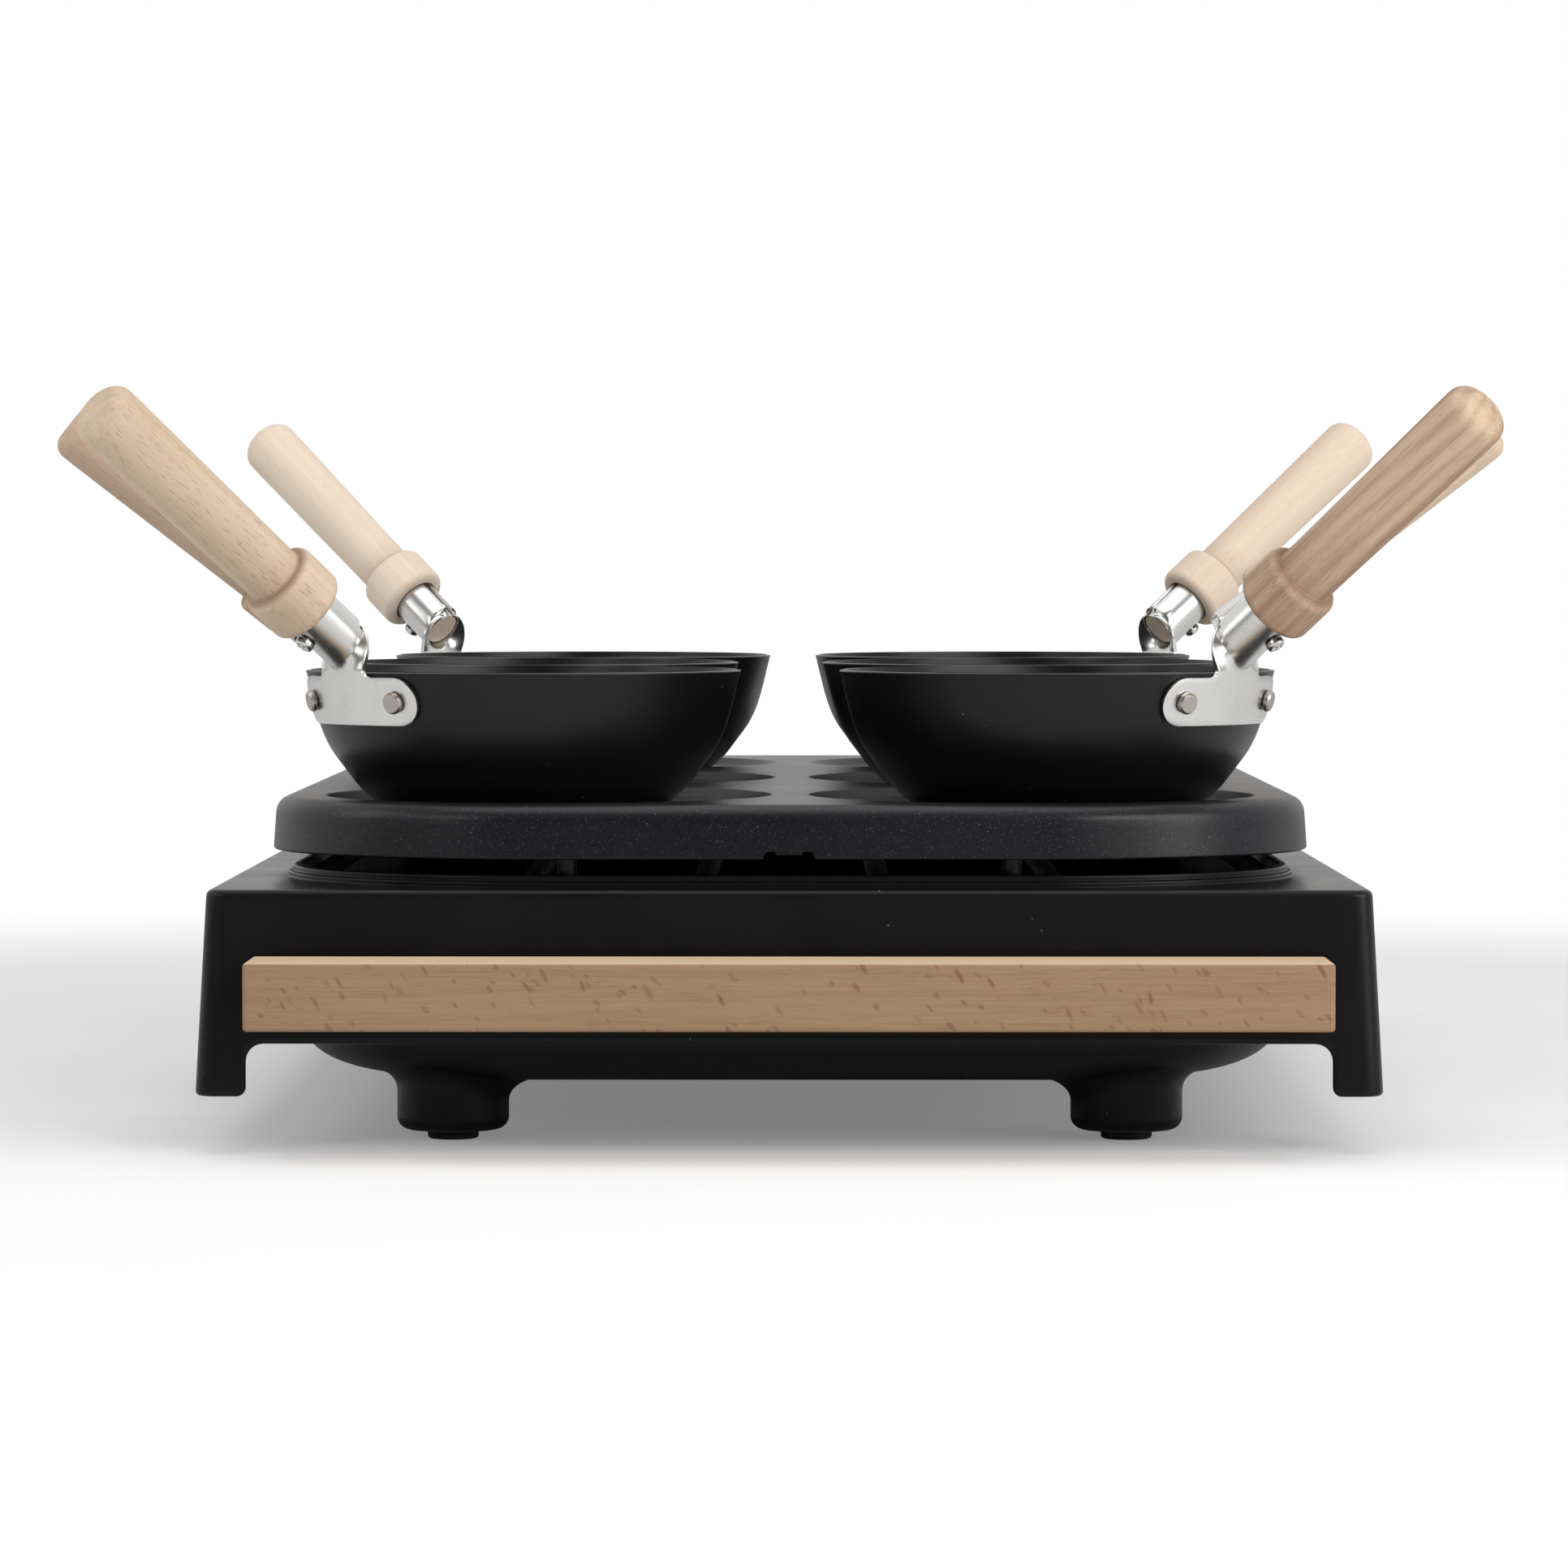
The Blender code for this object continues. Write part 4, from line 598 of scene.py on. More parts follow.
def operator(operation: str, swapped: bool = False) -> Callable[..., "Sock"]:
    """Makes a Sock method that adds one Math node.

    Args:
        operation: The node's operation.
        swapped: Whether the other value comes first.

    Returns:
        The method.
    """

    def method(self: "Sock", other: Any = 0.0) -> "Sock":
        """The operation's result on the two values."""
        first, second = (other, self) if swapped else (self, other)
        return self.net.node("ShaderNodeMath", {"operation": operation}, {0: first, 1: second})

    return method


class Sock:
    """A shader value; an expression written with it adds its Math nodes."""

    __add__ = __radd__ = operator("ADD")
    __mul__ = __rmul__ = operator("MULTIPLY")
    __sub__ = operator("SUBTRACT")
    __rsub__ = operator("SUBTRACT", swapped=True)
    __pow__ = operator("POWER")
    __lt__ = operator("LESS_THAN")
    sine = operator("SINE")
    most = operator("MAXIMUM")

    def __init__(self, net: "Net", socket: bpy.types.NodeSocket) -> None:
        """Wraps an output socket of a net."""
        self.net = net
        self.socket = socket

    def band(self, low: float, high: float) -> "Sock":
        """Smooth step over the value.

        Args:
            low: Where it is 0.
            high: Where it is 1.

        Returns:
            The step.
        """
        settings = {"interpolation_type": "SMOOTHSTEP"}
        places = {"Value": self, "From Min": low, "From Max": high, "To Min": 0.0, "To Max": 1.0}
        return self.net.node("ShaderNodeMapRange", settings, places)


class Net:
    """The node tree of one material or of the world."""

    def __init__(self, owner: Any) -> None:
        """Takes over a node tree and empties it.

        Args:
            owner: The material or the world that has it.
        """
        owner.use_nodes = True
        self.tree = owner.node_tree
        self.tree.nodes.clear()

    def node(
        self,
        kind: str,
        settings: Optional[dict[str, Any]] = None,
        values: Optional[dict[Any, Any]] = None,
        out: Any = 0,
    ) -> Sock:
        """Adds any node.

        Args:
            kind: The node's type.
            settings: Its own properties, set first.
            values: What its inputs take, by name or number: numbers, colours or sockets.
            out: The output to hand back, by name or number.

        Returns:
            That output, or that input of a node which has no output.
        """
        made = self.tree.nodes.new(kind)
        for key, value in (settings or {}).items():
            setattr(made, key, value)
        for key, value in (values or {}).items():
            if isinstance(value, Sock):
                self.tree.links.new(value.socket, made.inputs[key])
            else:
                made.inputs[key].default_value = value
        return Sock(self, (made.outputs if len(made.outputs) else made.inputs)[out])

    def ramp(self, value: Sock, stops: Sequence[tuple[float, Colour]]) -> Sock:
        """Colour of a value by a ramp.

        Args:
            value: The value.
            stops: Pairs of place and colour.

        Returns:
            The colour.
        """
        made = self.node("ShaderNodeValToRGB", {}, {"Fac": value}, "Color")
        elements = made.socket.node.color_ramp.elements
        while len(elements) < len(stops):
            elements.new(1.0)
        for element, (place, colour) in zip(elements, stops):
            element.position = place
            element.color = (*colour, 1.0)
        return made

    def mix(self, share: Any, first: Any, second: Any) -> Sock:
        """Colour between two.

        Args:
            share: 0 for the first colour, 1 for the second.
            first: The first colour.
            second: The second colour.

        Returns:
            The colour.
        """
        tones = [(*c, 1.0) if isinstance(c, tuple) else c for c in (first, second)]
        values = {0: share, 6: tones[0], 7: tones[1]}
        return self.node("ShaderNodeMix", {"data_type": "RGBA"}, values, 2)

    def place(self) -> Sock:
        """Coordinates on the piece, in metres."""
        return self.node("ShaderNodeTexCoord", {}, {}, "Object")

    def stored(self, name: str, out: str) -> Sock:
        """What a mesh attribute holds, as the named output."""
        return self.node("ShaderNodeAttribute", {"attribute_name": name}, {}, out)

    def ray(self, kind: str) -> Sock:
        """1 for rays of a kind, such as Camera, else 0."""
        return self.node("ShaderNodeLightPath", {}, {}, f"Is {kind} Ray")

    def noise(self, spot: Sock, scale: float, detail: float = 3.0, rough: float = 0.5) -> Sock:
        """Soft noise from 0 to 1."""
        values = {"Vector": spot, "Scale": scale, "Detail": detail, "Roughness": rough}
        return self.node("ShaderNodeTexNoise", {}, values, "Fac")

    def cells(self, spot: Sock, scale: float, out: str = "Distance") -> Sock:
        """Voronoi cells: the distance to the nearest seed, or that cell's colour."""
        return self.node("ShaderNodeTexVoronoi", {}, {"Vector": spot, "Scale": scale}, out)

    def specks(
        self, spot: Sock, scale: float, edge: tuple[float, float], kept: float, axis: str = "X"
    ) -> Sock:
        """Round specks at the seeds of some cells.

        Args:
            spot: The coordinates.
            scale: Cells per metre.
            edge: How far from a seed its speck starts and ends to fade, in cells.
            kept: The share of cells that carry one.
            axis: The channel of the cell's colour that picks them.

        Returns:
            1 at a kept seed, falling to 0.
        """
        pick = self.first(self.cells(spot, scale, "Color"), axis)
        return (1 - self.cells(spot, scale).band(*edge)) * (pick < kept)

    def first(self, vector: Sock, axis: str = "X") -> Sock:
        """One coordinate of a vector or colour."""
        return self.node("ShaderNodeSeparateXYZ", {}, {"Vector": vector}, axis)

    def bumped(self, height: Sock, depth: float, strength: float = 1.0) -> Sock:
        """Normal of a height field whose full height is depth, in metres."""
        values = {"Height": height, "Distance": depth, "Strength": strength}
        return self.node("ShaderNodeBump", {}, values, "Normal")


def linear(red: int, green: int, blue: int) -> Colour:
    """Scene colour of a display colour, by the sRGB curve.

    Args:
        red: The red value, from 0 to 255.
        green: The green value.
        blue: The blue value.

    Returns:
        The colour, from 0 to 1.
    """
    shares = np.array((red, green, blue)) / 255
    curve = np.where(shares <= 0.04045, shares / 12.92, ((shares + 0.055) / 1.055) ** 2.4)
    return tuple(curve.tolist())


def brighter(tone: Colour, times: float) -> Colour:
    """A colour multiplied by a number."""
    return tuple(v * times for v in tone)


# ---- finishes


class Finish:
    """What every finish shares: one Principled shader fed by a pattern."""

    def material(self, name: str) -> Material:
        """Makes the finish's material.

        Args:
            name: The material's name.

        Returns:
            The material.
        """
        made = bpy.data.materials.new(name)
        net = Net(made)
        shader = net.node("ShaderNodeBsdfPrincipled", {}, self.pattern(net), "BSDF")
        net.node("ShaderNodeOutputMaterial", {}, {"Surface": shader})
        return made

    def pattern(self, net: Net) -> Inputs:
        """Adds what varies over the surface to a net and returns the shader's inputs."""
        raise NotImplementedError


@dataclass(frozen=True)
class MouldedPlastic(Finish):
    """Black moulded plastic: fine spark texture, faint mottling, and a few specks of dust."""

    tone: Colour = (0.0026, 0.0026, 0.0028)
    rough: float = 0.34
    texture: float = 0.000010
    dust: float = 0.055

    def pattern(self, net: Net) -> Inputs:
        """Tone, roughness and relief from noise in object coordinates.

        Args:
            net: The net to add to.

        Returns:
            The shader's inputs.
        """
        spot = net.place()
        cloud = net.noise(spot, 34.0, 4.0)
        spark = net.noise(spot, 2600.0, 2.0, 0.6)
        patch = net.noise(spot, 16.0, 2.0).band(0.42, 0.62)
        speck = net.specks(spot, 430.0, (0.05, 0.16), self.dust) * patch
        base = net.mix(cloud, self.tone, brighter(self.tone, 1.6))
        return {
            "Base Color": net.mix(speck * 0.42, base, (0.40, 0.40, 0.39)),
            "Roughness": self.rough + (cloud - 0.5) * 0.14 + speck * 0.3,
            "Normal": net.bumped(spark + cloud * 0.5, self.texture),
            "Specular IOR Level": 0.17,
            "IOR": 1.5,
        }


@dataclass(frozen=True)
class PadRubber(Finish):
    """Matt black rubber with a fine grain and grey dust in it."""

    def pattern(self, net: Net) -> Inputs:
        """Tone from cloudy dust, relief from fine noise.

        Args:
            net: The net to add to.

        Returns:
            The shader's inputs.
        """
        spot = net.place()
        cloud = net.noise(spot, 220.0, 4.0)
        dusty = cloud.band(0.45, 0.75)
        return {
            "Base Color": net.mix(dusty, (0.012, 0.012, 0.012), (0.035, 0.034, 0.032)),
            "Roughness": 0.72 + cloud * 0.2,
            "Normal": net.bumped(net.noise(spot, 3800.0, 2.0), 0.00004),
            "IOR": 1.45,
        }


@dataclass(frozen=True)
class Beech(Finish):
    """Beech: soft growth bands, dark pore lines along the grain, and short ray flecks.

    The grain runs along Z of the coordinates that the finish reads, after its turn. Turned
    pieces store theirs as the attribute grain, with a weight of painted shade beside it.
    """

    pale: Colour
    deep: Colour
    pore: Colour
    turned: bool = True
    turn: Colour = (0.0, 0.0, 0.0)
    bands: float = 260.0
    fleck: float = 0.5
    pores: float = 0.5
    shade: float = 0.35
    rough: float = 0.52
    gloss: float = 0.30
    lines: float = 0.6
    top_light_height: float = 0.0
    painted_top_light: Colour = linear(214, 188, 160)

    @staticmethod
    def _stretch(net: Net, spot: Sock, scale: Colour, turn: Colour = (0.0, 0.0, 0.0)) -> Sock:
        """Turns a vector, then stretches it."""
        turned = net.node("ShaderNodeMapping", {}, {"Vector": spot, "Rotation": turn})
        return net.node("ShaderNodeMapping", {}, {"Vector": turned, "Scale": scale})

    def pattern(self, net: Net) -> Inputs:
        """Bands by distance across the grain, pores and flecks from stretched noise and cells.

        Args:
            net: The net to add to.

        Returns:
            The shader's inputs.
        """
        spot = net.stored("grain", "Vector") if self.turned else net.place()
        spot = self._stretch(net, spot, (1.0, 1.0, 1.0), self.turn)
        drift, broad, fibre, thread = (
            net.noise(self._stretch(net, spot, (across, across, along)), 1.0, detail, rough)
            for across, along, detail, rough in (
                (46, 6, 3.0, 0.5), (80, 8, 2.0, 0.5), (2600, 60, 3.0, 0.6), (900, 22, 2.0, 0.5)
            )
        )
        across = net.first(spot, "X") * 0.86 + net.first(spot, "Y") * 0.51
        ring = ((across + drift * 0.012) * self.bands * 2 * math.pi).sine() * 0.5 + 0.5
        pore_spot = self._stretch(net, spot, (3600, 3600, 230))
        pore = net.specks(pore_spot, 1.0, (0.14, 0.42), 0.34) * broad.band(0.2, 0.6)
        fleck = self._flecks(net, spot, (140, 60, 480), 0.50, 0.16)
        fleck = fleck.most(self._flecks(net, spot, (280, 110, 600), 0.85, 0.10) * 0.7)
        share = (ring**1.5 * 0.30 + broad.band(0.3, 0.72) * 0.70) * self.shade
        share = share + (fibre - 0.5) * self.lines + (thread - 0.5) * 0.50
        base = net.mix(share, self.pale, self.deep)
        base = net.mix(pore * self.pores, base, self.pore)
        base = net.mix(fleck * self.fleck, base, self.pore)
        # Painted highlight: from the given height up, the bar's top face blends three quarters of
        # the way to a paler tone, painted light where light falls on the top.
        if self.top_light_height:
            painted_top_light = net.first(net.place(), "Z").band(self.top_light_height, self.top_light_height + 0.0006)
            base = net.mix(painted_top_light * 0.75, base, self.painted_top_light)
        # Painted shade: by the step between a handle's collar and its grip the colour darkens
        # towards the pore tone, shade painted into the join.
        if self.turned:
            base = net.mix(net.stored("crease", "Fac") * 0.6, base, self.pore)
        return {
            "Base Color": base,
            "Roughness": self.rough + fibre * 0.16 + pore * 0.1,
            "Normal": net.bumped(fibre * 0.6 - pore * 0.9 - fleck * 0.15, 0.00006, 0.8),
            "IOR": 1.45,
            "Specular IOR Level": self.gloss,
        }

    def _flecks(self, net: Net, spot: Sock, scale: Colour, slant: float, kept: float) -> Sock:
        """Slanted short flecks of uneven size and strength, from picked stretched cells.

        Args:
            net: The net to add to.
            spot: Coordinates with the grain along Z.
            scale: Cells per metre across, through and along the grain.
            slant: How far they lean from straight across the grain, in radians.
            kept: The share of cells that carry one.

        Returns:
            The flecks, from 0 to 1.
        """
        noise = {"Vector": spot, "Scale": 210.0, "Detail": 1.0}
        wave = net.node("ShaderNodeTexNoise", {}, noise, "Color")
        sway = {0: wave, "Scale": 0.0014}
        moved = net.node("ShaderNodeVectorMath", {"operation": "SCALE"}, sway, "Vector")
        both = {0: spot, 1: moved}
        moved = net.node("ShaderNodeVectorMath", {"operation": "ADD"}, both, "Vector")
        cell = self._stretch(net, moved, scale, (0.0, slant, 0.0))
        pick = net.cells(cell, 1.0, "Color")
        size = 0.6 + net.first(pick, "X") * 0.8
        drop = 1 - (net.cells(cell, 1.0) * size).band(0.18, 0.34)
        return drop * (net.first(pick, "Y") < kept) * (0.45 + net.first(pick, "Z") * 0.6)


@dataclass(frozen=True)
class CastCoating(Finish):
    """Bluish black non-stick coating on a casting, with fine metallic flecks."""

    tone: Colour = (0.0023, 0.0028, 0.0040)
    fleck: Colour = (0.22, 0.24, 0.28)

    def pattern(self, net: Net) -> Inputs:
        """Flecks from picked cells of two sizes, relief from the coating's orange peel.

        Args:
            net: The net to add to.

        Returns:
            The shader's inputs.
        """
        spot = net.place()
        cloud = net.noise(spot, 26.0, 3.0)
        fine = net.specks(spot, 3400.0, (0.20, 0.40), 0.10)
        large = net.specks(spot, 1500.0, (0.13, 0.26), 0.02, "Y")
        fleck = (fine * 0.7).most(large)
        light = net.mix(cloud, self.tone, brighter(self.tone, 1.55))
        return {
            "Base Color": net.mix(fleck * 0.6, light, self.fleck),
            "Metallic": fleck * 0.6,
            "Roughness": 0.33 + cloud * 0.10 + fleck * 0.06,
            "Normal": net.bumped(net.noise(spot, 900.0, 3.0), 0.00004, 0.6),
            "IOR": 1.5,
            "Specular IOR Level": 0.28,
        }


@dataclass(frozen=True)
class WokCoating(Finish):
    """Black non-stick on pressed steel: by default the satin outside of a wok."""

    tone: Colour = (0.0030, 0.0030, 0.0031)
    rough: float = 0.36
    relief: float = 0.000022
    gloss: float = 0.26

    def pattern(self, net: Net) -> Inputs:
        """Faint mottling, a few dust specks, and the coating's fine ripple.

        Args:
            net: The net to add to.

        Returns:
            The shader's inputs.
        """
        spot = net.place()
        cloud = net.noise(spot, 60.0, 3.0)
        speck = net.specks(spot, 330.0, (0.04, 0.12), 0.05)
        base = net.mix(cloud, self.tone, brighter(self.tone, 1.4))
        return {
            "Base Color": net.mix(speck * 0.3, base, (0.32, 0.32, 0.32)),
            "Roughness": self.rough + (cloud - 0.5) * 0.08 + speck * 0.3,
            "Normal": net.bumped(net.noise(spot, 1500.0, 2.0), self.relief, 0.7),
            "IOR": 1.5,
            "Specular IOR Level": self.gloss,
        }


@dataclass(frozen=True)
class PolishedSteel(Finish):
    """Polished stainless steel with hairline scratches and faint smudges."""

    tone: Colour = (0.62, 0.615, 0.60)
    rough: float = 0.24
    hairs: Colour = (5200, 5200, 260)
    hair_turn: Colour = (0.5, 0.3, 0.4)

    def pattern(self, net: Net) -> Inputs:
        """Roughness from smudges and hairlines, relief from hairlines.

        Args:
            net: The net to add to.

        Returns:
            The shader's inputs.
        """
        spot = net.place()
        smudge = net.noise(spot, 130.0, 4.0)
        stretch = {"Vector": spot, "Scale": self.hairs, "Rotation": self.hair_turn}
        hair = net.noise(net.node("ShaderNodeMapping", {}, stretch), 1.0, 2.0)
        return {
            "Base Color": net.mix(smudge.band(0.35, 0.75), self.tone, brighter(self.tone, 0.95)),
            "Roughness": self.rough + smudge.band(0.4, 0.8) * 0.05 + hair * 0.03,
            "Normal": net.bumped(hair, 0.0000015, 0.4),
            "Metallic": 1.0,
        }


@dataclass(frozen=True)
class ShadeDarkSheet(Finish):
    """Near-black sheet, a painted shade for the tray under the plate; duller and browner where the
    element has heated it.
    """

    def pattern(self, net: Net) -> Inputs:
        """Heat stains by broad noise, with fine pits.

        Args:
            net: The net to add to.

        Returns:
            The shader's inputs.
        """
        spot = net.place()
        stain = net.noise(spot, 22.0, 4.0, 0.6)
        heated = stain.band(0.4, 0.7)
        return {
            # Painted shade: the near-black base tone stands in for the shade under the plate; the
            # browner tone is the heat staining.
            "Base Color": net.mix(heated, (0.006, 0.006, 0.0065), (0.015, 0.013, 0.011)),
            "Roughness": 0.42 + stain * 0.22,
            "Normal": net.bumped(net.noise(spot, 1700.0, 2.0), 0.00002, 0.6),
            "IOR": 1.5,
            "Specular IOR Level": 0.3,
        }


@dataclass(frozen=True)
class HeatedSheath(Finish):
    """Heating element sheath: dark grey steel with blue and straw heat tints."""

    tints: tuple[tuple[float, Colour], ...] = (
        (0.3, (0.030, 0.029, 0.028)),
        (0.5, (0.044, 0.036, 0.028)),
        (0.68, (0.022, 0.024, 0.032)),
    )

    def pattern(self, net: Net) -> Inputs:
        """Tint along the tube by broad noise, scale by fine noise.

        Args:
            net: The net to add to.

        Returns:
            The shader's inputs.
        """
        spot = net.place()
        scale = net.noise(spot, 2100.0, 3.0)
        return {
            "Base Color": net.ramp(net.noise(spot, 30.0, 3.0), self.tints),
            "Roughness": 0.5 + scale * 0.25,
            "Normal": net.bumped(scale, 0.00003, 0.7),
            "Metallic": 0.6,
            "Specular IOR Level": 0.3,
        }


@dataclass(frozen=True)
class GlazedCeramic(Finish):
    """Off-white ceramic with a thin glaze and pin holes."""

    def pattern(self, net: Net) -> Inputs:
        """Tone by cloud, pin holes by picked cells.

        Args:
            net: The net to add to.

        Returns:
            The shader's inputs.
        """
        spot = net.place()
        cloud = net.noise(spot, 90.0, 3.0)
        hole = net.specks(spot, 600.0, (0.06, 0.18), 0.12)
        base = net.mix(cloud, (0.74, 0.71, 0.64), (0.80, 0.77, 0.71))
        return {
            "Base Color": net.mix(hole * 0.6, base, (0.30, 0.26, 0.20)),
            "Roughness": 0.32 + cloud * 0.2,
            "Normal": net.bumped(cloud - hole, 0.00005, 0.5),
            "IOR": 1.5,
        }


@dataclass(frozen=True)
class ClearLens(Finish):
    """Red clear plastic of the pilot light, with a faint swirl in the red."""

    def pattern(self, net: Net) -> Inputs:
        """Tone and roughness from one fine noise.

        Args:
            net: The net to add to.

        Returns:
            The shader's inputs.
        """
        swirl = net.noise(net.place(), 900.0, 2.0)
        return {
            "Base Color": net.mix(swirl, (0.42, 0.018, 0.012), (0.62, 0.04, 0.025)),
            "Roughness": 0.10 + swirl * 0.08,
            "IOR": 1.49,
            "Transmission Weight": 0.35,
            "Coat Weight": 0.4,
        }


class Finishes:
    """All the finishes of the grill, made once."""

    def __init__(self) -> None:
        """Makes each material but the handles' ones."""
        tub = MouldedPlastic((0.0024, 0.0024, 0.0026), 0.42, 0.000016, 0.02)
        fitting = MouldedPlastic((0.0045, 0.0045, 0.0048), 0.38, 0.00001, 0.02)
        bar = Beech(
            linear(146, 119, 94), linear(124, 97, 73), linear(102, 64, 44),
            turned=False, turn=(0.0, math.pi / 2, 0.0), bands=190.0, fleck=0.62, pores=0.16,
            gloss=0.0, lines=1.2, top_light_height=0.0508,
        )
        inside = WokCoating((0.0028, 0.0028, 0.0029), 0.16, 0.000016, 0.75)
        self.housing = MouldedPlastic().material("housing_satin")
        self.tub = tub.material("tub_matt")
        self.fitting = fitting.material("fitting_satin")
        self.rubber = PadRubber().material("pad_rubber")
        self.bar = bar.material("oiled_beech")
        self.cast = CastCoating().material("cast_coating")
        self.wok_outside = WokCoating().material("wok_outside")
        self.wok_inside = inside.material("wok_inside")
        self.steel = PolishedSteel().material("polished_steel")
        self.rivet = PolishedSteel((0.40, 0.37, 0.34), 0.32).material("rivet_steel")
        self.shade_dark_sheet = ShadeDarkSheet().material("tray_enamel")
        self.sheath = HeatedSheath().material("element_sheath")
        self.ceramic = GlazedCeramic().material("glazed_ceramic")
        self.lens = ClearLens().material("pilot_lens")

    @staticmethod
    def handle(row: Row, side: Side) -> Material:
        """Pale beech of one handle; the front ones are browner.

        Args:
            row: The wok's row.
            side: The wok's side.

        Returns:
            The material.
        """
        pale, deep, shade, pores = {
            (Row.FRONT, Side.LEFT): (linear(200, 179, 156), linear(172, 150, 126), 0.6, 0.6),
            (Row.FRONT, Side.RIGHT): (linear(192, 167, 141), linear(130, 101, 79), 0.9, 0.6),
            (Row.MIDDLE, Side.LEFT): (linear(190, 166, 144), linear(162, 135, 113), 0.5, 0.5),
            (Row.MIDDLE, Side.RIGHT): (linear(204, 182, 159), linear(174, 148, 125), 0.5, 0.5),
            (Row.REAR, Side.LEFT): (linear(218, 201, 183), linear(203, 181, 160), 0.4, 0.14),
            (Row.REAR, Side.RIGHT): (linear(212, 194, 175), linear(197, 174, 153), 0.4, 0.16),
        }[(row, side)]
        pore = linear(116, 84, 62)
        wood = Beech(pale, deep, pore, fleck=0.0, pores=pores, shade=shade, rough=0.55)
        return wood.material(f"{row.name.lower()}_{side.name.lower()}_beech")


# ---- small pieces used by several


def prism(section: Array, half: float, edge: float, steps: int = 4) -> Array:
    """Grid of a closed section carried along X, with rounded ends.

    At an end the section is drawn in by edge (1 - cos a) while x falls short of the end by
    edge (1 - sin a).

    Args:
        section: Closed outline as (y, z) rows, anticlockwise seen from +X.
        half: Half the length along X.
        edge: The end's rounding radius.
        steps: Segments in that rounding.

    Returns:
        The grid, with a pole at each end.
    """
    tangent = np.roll(section, -1, axis=0) - np.roll(section, 1, axis=0)
    inward = left_of(tangent / np.linalg.norm(tangent, axis=1)[:, None])
    angle = np.linspace(0.0, math.pi / 2, steps + 1)
    low = -half + edge * (1 - np.cos(angle))
    ends = edge * (1 - np.sin(angle))
    x = np.concatenate([low, [-half + 2 * edge, 0.0, half - 2 * edge], -low[::-1]])
    draw = np.concatenate([ends, [0.0, 0.0, 0.0], ends[::-1]])
    flat = section[None] + draw[:, None, None] * inward[None]
    rows = np.concatenate([np.broadcast_to(x[:, None, None], (*flat.shape[:2], 1)), flat], axis=-1)
    middle = section.mean(axis=0)
    poles = [np.broadcast_to((s * half, *middle), (1, len(section), 3)) for s in (-1, 1)]
    return np.concatenate([poles[0], rows, poles[1]])


def screw_head(radius: float, height: float, seat: float, steps: int = 64) -> Array:
    """Pan head with a cross recess, along Z, from the seat to the middle of its crown.

    The crown is a shallow dome; a point of it sinks by the recess depth where it lies in
    either arm of the cross, with a smooth edge, and less towards the arms' ends.

    Args:
        radius: The head's radius.
        height: Its height.
        seat: The height of its underside.
        steps: Columns round it.

    Returns:
        The grid, with a pole at each end.
    """
    shoulder = radius * 0.55
    corners = [(0.0, 0.0), (radius, 0.0), (radius, height * 0.95), (shoulder, height)]
    side = rounded(corners, [radius * 0.08, radius * 0.30], 5)
    crown = np.linspace(shoulder, 0.0, 26)[1:]
    profile = np.vstack([side, np.stack([crown, np.full(len(crown), height)], axis=1)])
    dome = height * 0.12 * (1 - (profile[:, 0] / radius) ** 2)
    points = lathe(profile, steps)
    x, y = points[..., 0], points[..., 1]
    top = (profile[:, 1] > height * 0.5)[:, None]
    wide, long, soft = radius * 0.12, radius * 0.56, radius * 0.022
    in_x, in_y, in_long_x, in_long_y = (
        1 / (1 + np.exp(np.clip((np.abs(v) - edge) / soft, -40, 40)))
        for v, edge in ((x, wide), (y, wide), (x, long), (y, long))
    )
    arms = np.maximum(in_x * in_long_y, in_y * in_long_x)
    depth = arms * height * 0.62 * (1 - 0.45 * np.clip(np.hypot(x, y) / long, 0, 1))
    points[..., 2] += seat + np.where(top, dome[:, None] - depth, 0.0)
    return points


def side_frame(y: float) -> Matrix:
    """A fitting's place on the right wall.

    Args:
        y: The place along the wall.

    Returns:
        Its frame: local X runs to the rear, Y up the wall, Z outwards.
    """
    lean, rise = math.sin(WALL_LEAN), math.cos(WALL_LEAN)
    turn = Matrix(((0.0, 1.0, 0.0), (-lean, 0.0, rise), (rise, 0.0, lean))).transposed()
    z = LEVELS.fitting_z
    return Matrix.Translation((LEVELS.half_x(z), y, z)) @ turn.to_4x4()


# ---- sub-assemblies


@dataclass
class SubAssembly:
    """What every sub-assembly holds: the finishes that dress its pieces."""

    finishes: Finishes


